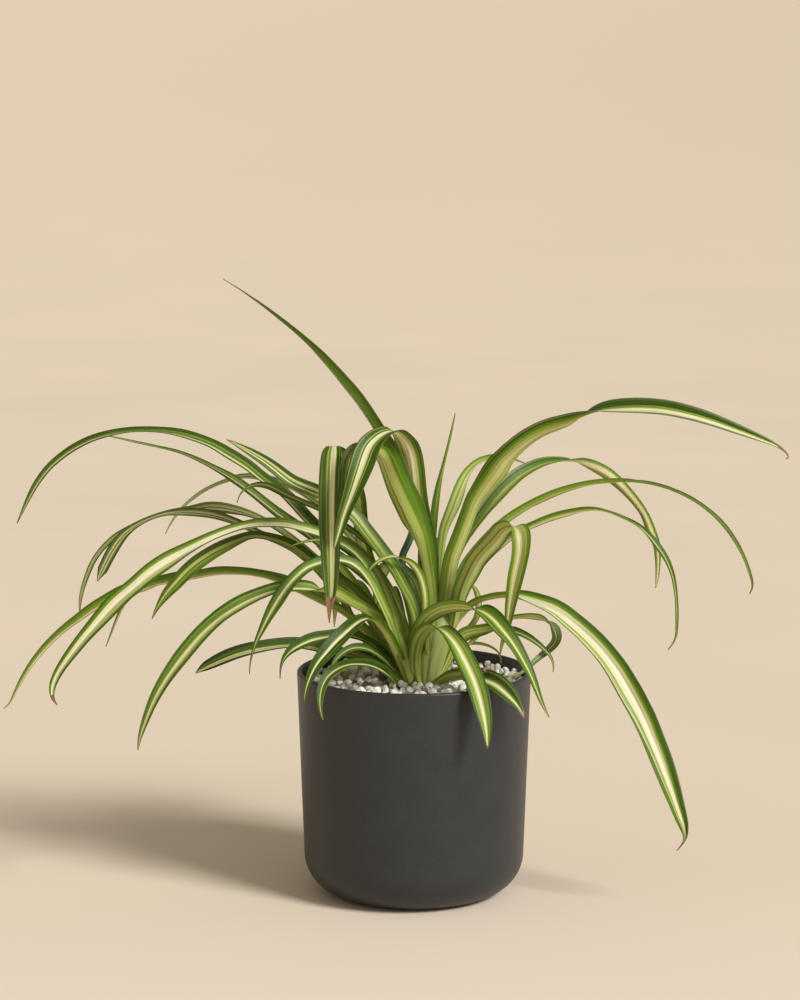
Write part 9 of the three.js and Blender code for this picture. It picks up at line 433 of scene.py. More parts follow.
        '-15.15 12.6 123 0.856 0.137 -0.498 4.49 46; -13.94 11.57 124.8 0.813 0.383 -0.439 4.77 46; -12.09 10.02 126.42 0.779 0.555 -0.291 5.05 46; -10.64 8.62 128 0.932 0.128 -0.338 5.33 46; -10.62 8 129.71 0.935 -0.291 0.203 5.61 46; -11.58 8 131.45 0.824 -0.331 0.459 5.63 45.2; -14.59 7.98 136.61 0.794 -0.362 0.488 5.76 43; -17.89 7.87 141.61 0.755 -0.408 0.513 6 40.7; -21.47 7.51 146.46 0.724 -0.464 0.511 6.34 38.5; -26.52 6.79 152.75 0.674 -0.547 0.496 6.89 35.7; -30.59 6.13 157.22 0.611 -0.601 0.515 7.34 34.6; -34.97 5.62 161.37 0.53 -0.65 0.545 7.79 33.4; -38.01 5.55 163.96 0.458 -0.675 0.578 8.07 32.6; -41.14 5.76 166.38 0.37 -0.692 0.62 8.32 31.8; -42.76 5.97 167.5 0.318 -0.697 0.643 8.44 31.4; -44.43 6.23 168.53 0.26 -0.701 0.664 8.55 31; -46.17 6.54 169.44 0.205 -0.706 0.678 8.64 30.6; -49.77 7.22 171.01 0.145 -0.721 0.678 8.8 29.9; -55.17 8.21 173.41 0.185 -0.745 0.641 8.94 28.7; -60.46 9.04 176.09 0.218 -0.743 0.633 8.99 27.5; -67.55 9.87 179.64 0.254 -0.716 0.65 9 26; -74.62 10.53 183.24 0.269 -0.698 0.663 9 25.5; -80.02 10.99 185.75 0.232 -0.695 0.68 9 25.1; -85.57 11.46 187.88 0.172 -0.702 0.691 9 24.8; -89.37 11.77 188.99 0.115 -0.712 0.693 9 24.5; -93.25 12.09 189.81 0.065 -0.72 0.691 9 24.3; -99.13 12.57 190.68 0.023 -0.721 0.692 8.97 23.9; -105.06 13.06 191.18 -0.024 -0.707 0.707 8.89 23.6; -112.99 13.72 191.33 -0.063 -0.677 0.734 8.68 23.1; -116.95 14.05 191.2 -0.106 -0.666 0.739 8.53 22.9; -120.88 14.38 190.76 -0.166 -0.653 0.739 8.36 22.6; -128.69 15.06 189.4 -0.189 -0.623 0.759 7.95 22.1; -134.51 15.62 188.23 -0.241 -0.605 0.758 7.59 21.8; -140.29 16.25 186.86 -0.231 -0.604 0.763 7.19 21.4; -148.07 17.08 185.42 -0.194 -0.59 0.784 6.59 20.9; -153.9 17.61 184.28 -0.237 -0.538 0.809 6.09 20.6; -157.72 17.92 183.23 -0.302 -0.5 0.812 5.73 20.3; -161.42 18.22 181.84 -0.385 -0.487 0.784 5.36 20.1; -163.21 18.37 180.99 -0.432 -0.496 0.754 5.17 19.9; -164.93 18.52 180.03 -0.479 -0.512 0.713 4.98 19.7; -166.58 18.67 178.94 -0.52 -0.536 0.665 4.78 19.4; -169.64 18.95 176.45 -0.578 -0.592 0.562 4.37 18.9; -172.36 19.23 173.59 -0.615 -0.643 0.456 3.94 18.3; -174.69 19.49 170.4 -0.64 -0.679 0.361 3.5 17.8; -176.65 19.71 166.96 -0.655 -0.693 0.302 3.04 17.2; -179.18 19.92 161.56 -0.689 -0.666 0.285 2.36 16.4; -182.18 19.99 154.18 -0.756 -0.587 0.288 1.59 15.4; -185.83 20 144.92 -0.743 -0.595 0.308 0.7 14'),
    'leaf_back_ghost': ('back_ghost',
        '-5.27 0.77 127.3 0.911 -0.366 0.189 4.27 46; -5.17 1.9 129.03 0.909 -0.351 0.223 4.43 46; -4.98 3.58 130.57 0.911 -0.315 0.266 4.58 46; -4.58 7.65 133.4 0.915 -0.274 0.296 4.88 46; -4.48 9.57 134.84 0.913 -0.273 0.303 5.04 46; -4.55 11.1 136.41 0.909 -0.288 0.302 5.19 46; -4.82 12 138.18 0.909 -0.306 0.282 5.34 46; -6.47 14.03 145.73 0.899 -0.313 0.306 5.17 43.2; -7.97 15.57 151.31 0.869 -0.348 0.352 5.11 41.1; -9.71 17.13 156.81 0.813 -0.42 0.402 5.25 38.9; -11.7 18.84 162.19 0.734 -0.498 0.461 5.53 36.8; -13.95 20.7 167.43 0.653 -0.561 0.509 5.87 35.3; -17.25 23.38 174.21 0.56 -0.623 0.546 6.35 33.8; -20.74 26.28 180.8 0.485 -0.661 0.572 6.79 32.4; -24.38 29.43 187.18 0.438 -0.661 0.609 7.15 30.9; -28.24 32.82 193.3 0.398 -0.651 0.647 7.39 29.4; -32.36 36.42 199.12 0.34 -0.649 0.68 7.49 28; -36.78 40.16 204.62 0.3 -0.64 0.707 7.5 26.5; -41.5 43.92 209.85 0.256 -0.651 0.715 7.5 25.7; -46.55 47.55 214.86 0.225 -0.659 0.718 7.5 25.2; -51.92 51.05 219.62 0.18 -0.673 0.717 7.5 24.8; -57.57 54.46 224.12 0.136 -0.69 0.711 7.5 24.3; -63.45 57.85 228.32 0.069 -0.7 0.711 7.47 23.9; -68.04 60.48 231.13 0.007 -0.697 0.717 7.4 23.5; -72.77 63.18 233.62 -0.039 -0.685 0.727 7.28 23.2; -77.66 65.91 235.72 -0.08 -0.662 0.745 7.12 22.9; -82.74 68.59 237.39 -0.104 -0.636 0.765 6.91 22.5; -87.99 71.18 238.69 -0.126 -0.601 0.789 6.67 22.2; -93.35 73.69 239.55 -0.175 -0.583 0.794 6.4 21.9; -96.96 75.35 239.87 -0.226 -0.591 0.775 6.19 21.6; -102.42 77.81 239.91 -0.311 -0.625 0.716 5.86 21.3; -106.04 79.4 239.56 -0.391 -0.642 0.659 5.63 21.1; -107.82 80.17 239.18 -0.438 -0.646 0.625 5.5 20.9; -109.57 80.92 238.64 -0.477 -0.652 0.59 5.38 20.8; -113.02 82.35 237.27 -0.498 -0.68 0.539 5.11 20.6; -120.03 84.96 234.5 -0.455 -0.743 0.491 4.55 20.2; -123.53 86.14 232.99 -0.464 -0.747 0.477 4.25 19.8; -128.66 87.73 230.35 -0.493 -0.719 0.491 3.78 19.1; -131.95 88.69 228.32 -0.535 -0.673 0.51 3.45 18.6; -136.66 90 224.87 -0.584 -0.592 0.555 2.94 17.8; -139.72 90.79 222.44 -0.618 -0.546 0.565 2.61 17.3; -142.58 91.5 219.77 -0.678 -0.505 0.535 2.32 16.8; -145.18 92.13 216.82 -0.719 -0.48 0.503 2.07 16.3; -148.79 92.88 212.11 -0.749 -0.479 0.458 1.74 15.5; -150.94 93.29 208.78 -0.764 -0.505 0.401 1.47 15; -154.75 94 201.8 -0.737 -0.591 0.328 0.7 14'),
    'leaf_left_red': ('left_red',
        '-15.67 12.95 126.48 -0.858 -0.51 -0.058 6.42 46; -15.25 12.04 128.19 -0.845 -0.53 -0.077 6.6 46; -14.56 10.7 129.77 -0.83 -0.546 -0.115 6.78 46; -13.71 9.06 131.27 -0.827 -0.545 -0.14 6.96 46; -11.93 5.46 134.17 -0.838 -0.521 -0.16 7.31 46; -11.2 3.79 135.64 -0.852 -0.498 -0.162 7.49 46; -10.71 2.4 137.16 -0.871 -0.461 -0.169 7.67 46; -10.55 1.42 138.78 -0.889 -0.41 -0.206 7.85 46; -10.84 1 140.53 -0.887 -0.386 -0.253 8.03 46; -12.53 0.71 146.27 -0.864 -0.402 -0.303 7.99 43.5; -14.59 0.4 151.88 -0.812 -0.46 -0.359 8.09 41; -17.07 0.09 157.32 -0.733 -0.547 -0.404 8.48 38.5; -20 -0.24 162.53 -0.64 -0.631 -0.438 9.06 36; -23.34 -0.59 167.49 -0.549 -0.698 -0.46 9.72 34.7; -27.05 -1.05 172.17 -0.46 -0.745 -0.483 10.38 33.4; -31.07 -1.69 176.56 -0.375 -0.781 -0.499 10.98 32.1; -35.37 -2.44 180.65 -0.306 -0.811 -0.498 11.47 30.8; -39.96 -3.16 184.43 -0.257 -0.828 -0.498 11.8 29.5; -44.78 -3.9 187.91 -0.219 -0.829 -0.515 11.96 28.2; -49.66 -4.83 191.26 -0.192 -0.824 -0.533 12 26.9; -54.45 -5.89 194.7 -0.213 -0.829 -0.517 12 25.9; -58.94 -6.9 198.52 -0.256 -0.839 -0.481 12 25.5; -63.23 -7.89 202.59 -0.252 -0.839 -0.482 12 25.1; -66.14 -8.6 205.23 -0.218 -0.838 -0.501 12 24.8; -69.19 -9.39 207.68 -0.165 -0.842 -0.513 12 24.5; -72.42 -10.19 209.87 -0.106 -0.858 -0.503 11.99 24.3; -75.85 -10.93 211.74 -0.051 -0.882 -0.469 11.97 24; -79.45 -11.62 213.31 0.002 -0.907 -0.42 11.91 23.7; -84.96 -12.76 215.37 0.099 -0.933 -0.346 11.72 23.3; -88.65 -13.69 216.52 0.169 -0.937 -0.305 11.54 23.1; -90.52 -14.2 216.96 0.199 -0.937 -0.288 11.44 22.9; -92.41 -14.71 217.25 0.225 -0.934 -0.276 11.32 22.8; -94.31 -15.23 217.35 0.25 -0.93 -0.27 11.19 22.7; -96.2 -15.73 217.24 0.275 -0.922 -0.272 11.06 22.5; -98.08 -16.22 216.92 0.303 -0.91 -0.285 10.91 22.4; -99.93 -16.71 216.42 0.331 -0.891 -0.31 10.76 22.3; -103.58 -17.71 215.18 0.376 -0.836 -0.399 10.42 22; -110.86 -19.76 212.59 0.413 -0.655 -0.632 9.71 21.5; -114.46 -20.71 211.15 0.449 -0.553 -0.702 9.43 21.2; -117.97 -21.62 209.49 0.495 -0.465 -0.734 9.36 20.9; -121.38 -22.5 207.62 0.537 -0.399 -0.743 9.47 20.7; -124.7 -23.36 205.56 0.577 -0.36 -0.733 9.61 20.4; -127.9 -24.2 203.33 0.613 -0.348 -0.71 9.62 20.1; -130.98 -25 200.93 0.653 -0.338 -0.677 9.5 19.7; -133.89 -25.76 198.31 0.704 -0.317 -0.636 9.28 19.1; -136.61 -26.5 195.49 0.734 -0.291 -0.613 8.95 18.5; -140.64 -27.59 191.19 0.731 -0.275 -0.624 8.06 17.6; -143.32 -28.33 188.33 0.748 -0.281 -0.601 7.16 17; -145.84 -29.05 185.32 0.785 -0.313 -0.535 5.99 16.4; -148.12 -29.7 182.11 0.797 -0.392 -0.458 4.63 15.8; -150.21 -30.23 178.76 0.772 -0.509 -0.381 3.22 15.2; -152.12 -30.65 175.28 0.724 -0.62 -0.304 2.02 14.6; -153.85 -31 171.7 0.678 -0.69 -0.256 0.7 14'),
    'leaf_left_front_short': ('left_front_short',
        '-6.3 1 137.31 -0.862 -0.348 -0.369 4.95 46; -6.5 -0.22 138.95 -0.86 -0.288 -0.421 5.1 46; -6.76 -2 140.31 -0.865 -0.182 -0.467 5.25 46; -7.06 -4.12 141.5 -0.87 -0.121 -0.479 5.41 46; -7.41 -6.4 142.61 -0.868 -0.099 -0.486 5.56 46; -7.79 -8.63 143.73 -0.86 -0.112 -0.498 5.72 46; -8.22 -10.6 144.95 -0.846 -0.169 -0.505 5.87 46; -8.67 -12.13 146.37 -0.838 -0.282 -0.467 6.03 46; -9.16 -13 148.08 -0.854 -0.371 -0.364 6.18 46; -9.64 -13.46 149.99 -0.858 -0.403 -0.318 6.18 45; -11.2 -14.97 155.69 -0.796 -0.473 -0.377 6.27 42; -12.37 -16.26 159.51 -0.729 -0.529 -0.434 6.49 40; -13.66 -17.87 163.36 -0.652 -0.577 -0.492 6.81 38; -14.34 -18.8 165.29 -0.613 -0.598 -0.516 6.99 37; -15.05 -19.78 167.22 -0.581 -0.632 -0.513 7.19 36; -16.57 -21.3 170.95 -0.526 -0.691 -0.496 7.6 34.9; -19.01 -23.37 176.46 -0.458 -0.751 -0.476 8.22 33.4; -22.27 -25.86 183.77 -0.399 -0.805 -0.439 8.93 31.3; -24.66 -27.68 189.28 -0.346 -0.832 -0.433 9.29 29.7; -26.45 -28.82 192.83 -0.299 -0.85 -0.433 9.42 28.6; -28.49 -29.81 196.15 -0.261 -0.872 -0.414 9.48 27.6; -29.6 -30.21 197.71 -0.249 -0.883 -0.399 9.49 27.1; -30.79 -30.53 199.19 -0.238 -0.892 -0.385 9.5 26.6; -32.04 -30.79 200.57 -0.226 -0.898 -0.376 9.5 26; -33.38 -30.99 201.84 -0.209 -0.902 -0.378 9.5 25.8; -34.8 -31.17 203 -0.182 -0.903 -0.39 9.5 25.7; -36.3 -31.34 204 -0.14 -0.9 -0.413 9.5 25.5; -37.89 -31.53 204.85 -0.082 -0.894 -0.44 9.5 25.4; -39.56 -31.78 205.51 -0.008 -0.884 -0.467 9.5 25.2; -41.29 -32.11 206 0.074 -0.87 -0.487 9.5 25; -43.05 -32.53 206.31 0.155 -0.854 -0.497 9.5 24.9; -44.84 -33.03 206.47 0.226 -0.837 -0.499 9.5 24.7; -48.43 -34.29 206.49 0.331 -0.804 -0.494 9.49 24.4; -52 -35.79 206.22 0.401 -0.771 -0.495 9.47 24.1; -55.56 -37.42 205.62 0.456 -0.735 -0.501 9.42 23.8; -59.06 -39.16 204.73 0.518 -0.693 -0.502 9.31 23.4; -60.75 -40.08 204.15 0.558 -0.667 -0.494 9.24 23.3; -62.39 -41 203.45 0.604 -0.639 -0.476 9.16 23.1; -63.95 -41.93 202.58 0.648 -0.612 -0.454 9.06 23; -65.45 -42.84 201.56 0.681 -0.59 -0.434 8.95 22.8; -68.3 -44.64 199.26 0.717 -0.553 -0.424 8.73 22.5; -71.02 -46.41 196.77 0.756 -0.494 -0.43 8.55 22.2; -73.55 -48.12 194.06 0.793 -0.415 -0.446 8.52 21.8; -75.91 -49.68 191.16 0.821 -0.332 -0.464 8.59 21.5; -78.11 -51.04 188.09 0.842 -0.269 -0.467 8.56 21.2; -80.2 -52.2 184.89 0.854 -0.256 -0.452 8.2 20.9; -82.2 -53.16 181.57 0.859 -0.29 -0.421 7.51 20.5; -85.01 -54.29 176.38 0.851 -0.377 -0.365 6.15 20.1; -88.49 -55.4 169.21 0.786 -0.539 -0.302 4.53 18.7; -91.04 -56.11 163.78 0.707 -0.671 -0.225 3.54 17.6; -92.54 -56.59 160.09 0.667 -0.731 -0.142 2.88 16.9; -93.75 -57.1 156.29 0.64 -0.764 -0.082 2.21 16.2; -94.69 -57.55 152.42 0.638 -0.768 -0.054 1.58 15.4; -95.29 -57.84 148.47 0.661 -0.749 -0.03 1.09 14.7; -95.59 -58 144.47 0.688 -0.725 -0.019 0.7 14'),
    'leaf_left_front_long': ('left_front_long',
        '-5.05 0.55 123 0.966 0.013 -0.259 6.22 46; -4.61 -0.84 124.57 0.965 0.147 -0.216 6.54 46; -3.89 -2.92 125.82 0.961 0.256 -0.108 6.85 46; -3.19 -5.17 126.97 0.974 0.2 -0.104 7.16 46; -2.79 -7.04 128.26 0.991 -0.054 -0.123 7.47 46; -2.98 -8 129.9 0.938 -0.334 0.097 7.78 46; -3.59 -8.28 131.79 0.897 -0.378 0.229 7.81 45.3; -4.75 -8.93 135.59 0.909 -0.373 0.185 7.89 44; -5.77 -9.82 139.43 0.921 -0.368 0.128 8.04 42.6; -6.7 -11.03 143.31 0.922 -0.374 0.095 8.25 41.2; -7.71 -12.49 147.18 0.911 -0.398 0.11 8.5 39.9; -8.3 -13.25 149.08 0.893 -0.424 0.148 8.65 39.2; -8.96 -13.82 150.91 0.87 -0.452 0.196 8.81 38.5; -10.44 -14.76 154.41 0.829 -0.494 0.263 9.14 37.1; -12.09 -15.49 157.72 0.79 -0.525 0.315 9.5 35.9; -13.94 -16.2 160.85 0.757 -0.551 0.35 9.88 35.2; -16.05 -17.1 163.78 0.731 -0.573 0.37 10.26 34.4; -18.43 -18.3 166.48 0.71 -0.586 0.39 10.64 33.7; -21.08 -19.77 168.9 0.682 -0.597 0.423 11 33; -23.98 -21.38 171.03 0.642 -0.613 0.461 11.35 32.3; -27.06 -23.02 172.97 0.621 -0.626 0.471 11.66 31.6; -30.18 -24.69 174.93 0.642 -0.619 0.452 11.93 30.9; -34.76 -27.41 178.07 0.67 -0.595 0.444 12.24 29.8; -39.35 -30.15 181.23 0.667 -0.577 0.471 12.42 28.7; -42.34 -31.81 183.47 0.674 -0.552 0.49 12.48 28; -43.82 -32.59 184.61 0.661 -0.544 0.516 12.49 27.7; -45.33 -33.33 185.7 0.623 -0.549 0.556 12.49 27.3; -46.92 -34.04 186.66 0.561 -0.576 0.594 12.5 27; -48.6 -34.72 187.44 0.491 -0.629 0.603 12.5 26.6; -50.36 -35.38 188.06 0.43 -0.711 0.556 12.5 26.2; -52.17 -36 188.56 0.384 -0.811 0.441 12.5 26; -54.01 -36.6 189 0.34 -0.904 0.26 12.5 25.9; -55.86 -37.15 189.4 0.285 -0.957 0.047 12.5 25.7; -57.72 -37.66 189.79 0.225 -0.963 -0.151 12.5 25.6; -59.59 -38.14 190.15 0.173 -0.939 -0.296 12.5 25.5; -61.47 -38.57 190.47 0.14 -0.913 -0.383 12.5 25.4; -63.37 -38.97 190.75 0.124 -0.897 -0.424 12.5 25.3; -65.27 -39.33 190.96 0.121 -0.891 -0.437 12.5 25.2; -69.12 -39.98 191.17 0.142 -0.888 -0.437 12.5 25; -72.99 -40.64 191.08 0.185 -0.884 -0.429 12.5 24.8; -76.87 -41.43 190.78 0.242 -0.878 -0.413 12.5 24.5; -80.71 -42.42 190.28 0.318 -0.865 -0.389 12.5 24.3; -84.47 -43.64 189.47 0.39 -0.844 -0.368 12.49 24.1; -88.17 -45.01 188.41 0.432 -0.821 -0.372 12.46 23.9; -93.62 -47.14 186.55 0.458 -0.789 -0.41 12.35 23.6; -98.94 -49.08 184.29 0.471 -0.758 -0.451 12.16 23.2; -104.13 -50.75 181.68 0.482 -0.729 -0.487 11.9 22.9; -109.19 -52.19 178.75 0.508 -0.695 -0.508 11.58 22.6; -112.44 -53.07 176.59 0.542 -0.664 -0.516 11.33 22.4; -117.1 -54.29 173 0.598 -0.591 -0.541 10.92 22; -121.56 -55.43 169.14 0.652 -0.497 -0.573 10.5 21.7; -125.78 -56.49 164.99 0.709 -0.41 -0.575 10.23 21.4; -129.72 -57.49 160.58 0.749 -0.354 -0.56 10.15 21; -134.75 -58.86 154.49 0.773 -0.33 -0.542 9.85 20.6; -139.55 -60.38 148.26 0.796 -0.322 -0.513 9.05 20.2; -144.12 -61.9 141.85 0.822 -0.314 -0.476 8.12 19.4; -147.22 -62.9 136.81 0.848 -0.305 -0.433 7.4 18.7; -150.06 -63.77 131.58 0.869 -0.299 -0.394 6.6 17.9; -152.57 -64.52 126.18 0.893 -0.291 -0.343 5.81 17.2; -155.49 -65.37 118.77 0.91 -0.274 -0.312 4.72 16.2; -157.49 -65.96 113.14 0.923 -0.272 -0.272 3.7 15.5; -158.62 -66.32 109.31 0.926 -0.311 -0.215 2.8 15; -159.49 -66.66 105.43 0.919 -0.37 -0.134 1.85 14.5; -160.06 -67 101.49 0.904 -0.419 -0.084 0.7 14'),
    'leaf_dark_short_arc': ('dark_short_arc',
        '-6.34 1 137.58 -0.853 -0.356 -0.381 3 46; -6.64 0.05 139.15 -0.849 -0.293 -0.439 3.07 46; -7.06 -1.36 140.56 -0.848 -0.18 -0.499 3.13 46; -7.57 -3.05 141.85 -0.849 -0.117 -0.516 3.2 46; -8.69 -6.63 144.37 -0.841 -0.13 -0.525 3.33 46; -9.23 -8.19 145.7 -0.835 -0.21 -0.509 3.4 46; -9.71 -9.37 147.16 -0.838 -0.339 -0.427 3.46 46; -10.09 -10 148.81 -0.858 -0.429 -0.282 3.53 46; -10.75 -10.66 152.71 -0.853 -0.466 -0.235 3.52 42.9; -11.93 -11.77 158.55 -0.787 -0.543 -0.292 3.66 38.3; -13.34 -13.24 164.39 -0.683 -0.633 -0.364 4.04 34.8; -14.99 -15.06 170.2 -0.587 -0.708 -0.392 4.49 32.4; -16.88 -16.74 175.9 -0.52 -0.756 -0.397 4.82 29.9; -18.96 -18.16 181.49 -0.497 -0.789 -0.362 4.97 27.5; -20.41 -18.83 185.15 -0.504 -0.801 -0.323 4.99 26; -21.93 -19.22 188.75 -0.517 -0.807 -0.285 5 25.5; -24.39 -19.42 194.03 -0.508 -0.816 -0.277 5 24.7; -26.22 -19.54 197.43 -0.471 -0.822 -0.322 4.98 24.2; -28.26 -19.87 200.74 -0.418 -0.819 -0.393 4.93 23.8; -30.52 -20.47 203.93 -0.365 -0.807 -0.465 4.83 23.3; -33 -21.31 206.99 -0.32 -0.791 -0.521 4.67 22.8; -35.72 -22.26 209.87 -0.283 -0.774 -0.567 4.46 22.3; -38.72 -23.22 212.45 -0.245 -0.747 -0.618 4.19 21.8; -40.34 -23.68 213.59 -0.223 -0.73 -0.647 4.04 21.5; -42.03 -24.13 214.61 -0.195 -0.71 -0.677 3.88 21.3; -43.79 -24.55 215.5 -0.161 -0.69 -0.706 3.71 21; -45.62 -24.95 216.24 -0.123 -0.67 -0.732 3.53 20.8; -47.51 -25.32 216.82 -0.083 -0.651 -0.755 3.35 20.5; -49.43 -25.65 217.26 -0.045 -0.635 -0.772 3.17 20.3; -53.37 -26.2 217.75 0.014 -0.609 -0.793 2.82 19.6; -57.34 -26.56 217.83 0.071 -0.598 -0.798 2.48 18.4; -61.3 -26.78 217.46 0.144 -0.608 -0.781 2.12 17.3; -65.2 -26.95 216.67 0.216 -0.643 -0.735 1.68 16.2; -69.03 -27.18 215.55 0.272 -0.691 -0.67 1.21 15.1; -72.79 -27.54 214.24 0.296 -0.727 -0.619 0.7 14'),
    'leaf_olive_back_mid': ('olive_back_mid',
        '-15.28 12.68 123.84 0.917 -0.367 -0.156 6.42 46; -14.88 12.83 125.83 0.897 -0.393 -0.202 6.69 46; -14.18 13.06 127.97 0.87 -0.429 -0.245 6.96 46; -13.42 13.32 130.16 0.876 -0.426 -0.225 7.23 46; -12.8 13.59 132.33 0.911 -0.388 -0.135 7.49 46; -12.57 13.83 134.39 0.944 -0.324 0.067 7.76 46; -12.94 14 136.26 0.911 -0.28 0.304 8.03 46; -13.72 14.13 138.12 0.876 -0.284 0.391 8 44.3; -16.13 14.56 143.64 0.838 -0.36 0.41 8.1 39.3; -18.66 15.1 149.07 0.769 -0.479 0.423 8.8 35.1; -21.25 15.78 154.46 0.708 -0.58 0.403 9.81 32.5; -23.83 16.23 159.89 0.678 -0.637 0.366 10.59 29.9; -26.52 16.5 165.31 0.662 -0.653 0.368 10.93 27.3; -29.46 16.66 170.61 0.643 -0.652 0.402 10.99 25.6; -32.67 16.89 175.74 0.618 -0.65 0.443 10.99 24.8; -36.07 17.28 180.72 0.59 -0.646 0.485 10.9 24; -39.64 17.85 185.56 0.573 -0.635 0.519 10.58 23.2; -43.28 18.62 190.33 0.566 -0.608 0.556 9.93 22.4; -47.03 19.65 194.94 0.543 -0.576 0.611 8.97 21.6; -50.9 20.95 199.39 0.535 -0.545 0.646 7.76 20.8; -56.04 23 205.24 0.554 -0.494 0.67 5.77 19.4; -59.79 24.77 209.63 0.565 -0.482 0.669 4.05 17.6; -63.32 26.77 214.1 0.523 -0.532 0.666 2.29 15.8; -66.87 29 218.45 0.43 -0.596 0.678 0.7 14'),
    'leaf_rear_a': ('rear_a',
        '8.48 -2 127.72 -0.961 -0.222 0.163 5.7 46; 8.58 -1.09 129.53 -0.963 -0.189 0.191 5.94 46; 8.74 0.25 131.26 -0.967 -0.138 0.216 6.18 46; 8.92 1.82 132.95 -0.969 -0.125 0.211 6.42 46; 9.06 3.43 134.61 -0.971 -0.148 0.189 6.65 46; 9.11 4.89 136.29 -0.968 -0.207 0.139 6.89 46; 9 6 138 -0.962 -0.266 0.066 7.13 46; 8.59 7.77 141.59 -0.958 -0.285 0.031 7.22 43.9; 7.91 10.58 146.89 -0.958 -0.286 0.027 7.64 40.7; 7.1 13.79 152 -0.959 -0.284 0.026 8.31 37.5; 5.8 18.6 158.48 -0.956 -0.294 0.009 9.4 34.5; 5.06 20.93 161.62 -0.951 -0.31 -0.013 9.95 33.4; 4.27 23 164.72 -0.943 -0.33 -0.045 10.47 32.3; 2.96 25.66 169.32 -0.932 -0.353 -0.084 11.09 30.6; 2.01 27.45 172.27 -0.93 -0.359 -0.075 11.37 29.5; 1.51 28.48 173.68 -0.933 -0.355 -0.061 11.45 29; 0.99 29.65 175.04 -0.937 -0.347 -0.044 11.5 28.4; 0.45 31 176.32 -0.942 -0.335 -0.028 11.5 27.8; -0.1 32.52 177.52 -0.947 -0.322 -0.016 11.5 27.3; -0.68 34.21 178.63 -0.951 -0.31 -0.009 11.5 26.7; -1.28 36.06 179.64 -0.954 -0.301 -0.004 11.5 26.2; -1.89 38.03 180.55 -0.955 -0.296 -0.003 11.5 25.9; -3.19 42.2 182.04 -0.954 -0.299 -0.004 11.5 25.5; -4.56 46.44 183.12 -0.95 -0.314 -0.006 11.5 25.2; -6.69 52.57 184.2 -0.94 -0.341 -0.007 11.5 24.7; -8.87 58.38 184.96 -0.934 -0.356 -0.007 11.5 24.2; -11.04 64.05 185.49 -0.935 -0.354 -0.003 11.43 23.7; -12.45 67.83 185.63 -0.939 -0.345 0 11.26 23.3; -13.81 71.61 185.43 -0.943 -0.333 0.004 11.02 23; -14.47 73.48 185.13 -0.945 -0.327 0.005 10.88 22.8; -15.1 75.33 184.67 -0.947 -0.322 0.006 10.72 22.6; -15.71 77.13 184.03 -0.948 -0.317 0.007 10.55 22.5; -16.3 78.88 183.22 -0.95 -0.313 0.006 10.36 22.3; -16.86 80.56 182.27 -0.951 -0.31 0.005 10.16 22.1; -17.88 83.73 180.02 -0.953 -0.303 0.002 9.72 21.8; -18.82 86.68 177.45 -0.955 -0.298 -0.003 9.23 21.4; -20.06 90.82 173.25 -0.957 -0.289 -0.012 8.41 20.9; -21.47 96.02 167.28 -0.96 -0.277 -0.028 7.15 20.2; -22.64 100.95 161.04 -0.962 -0.271 -0.041 5.73 19; -23.38 104.38 156.14 -0.962 -0.271 -0.046 4.55 17.8; -24 107.52 151.03 -0.961 -0.271 -0.052 3.28 16.7; -24.5 110.36 145.74 -0.961 -0.271 -0.06 1.93 15.5; -24.76 112.11 142.13 -0.96 -0.271 -0.064 0.98 14.8; -24.98 113.8 138.49 -0.96 -0.271 -0.066 0.7 14'),
    'leaf_rear_b': ('rear_b',
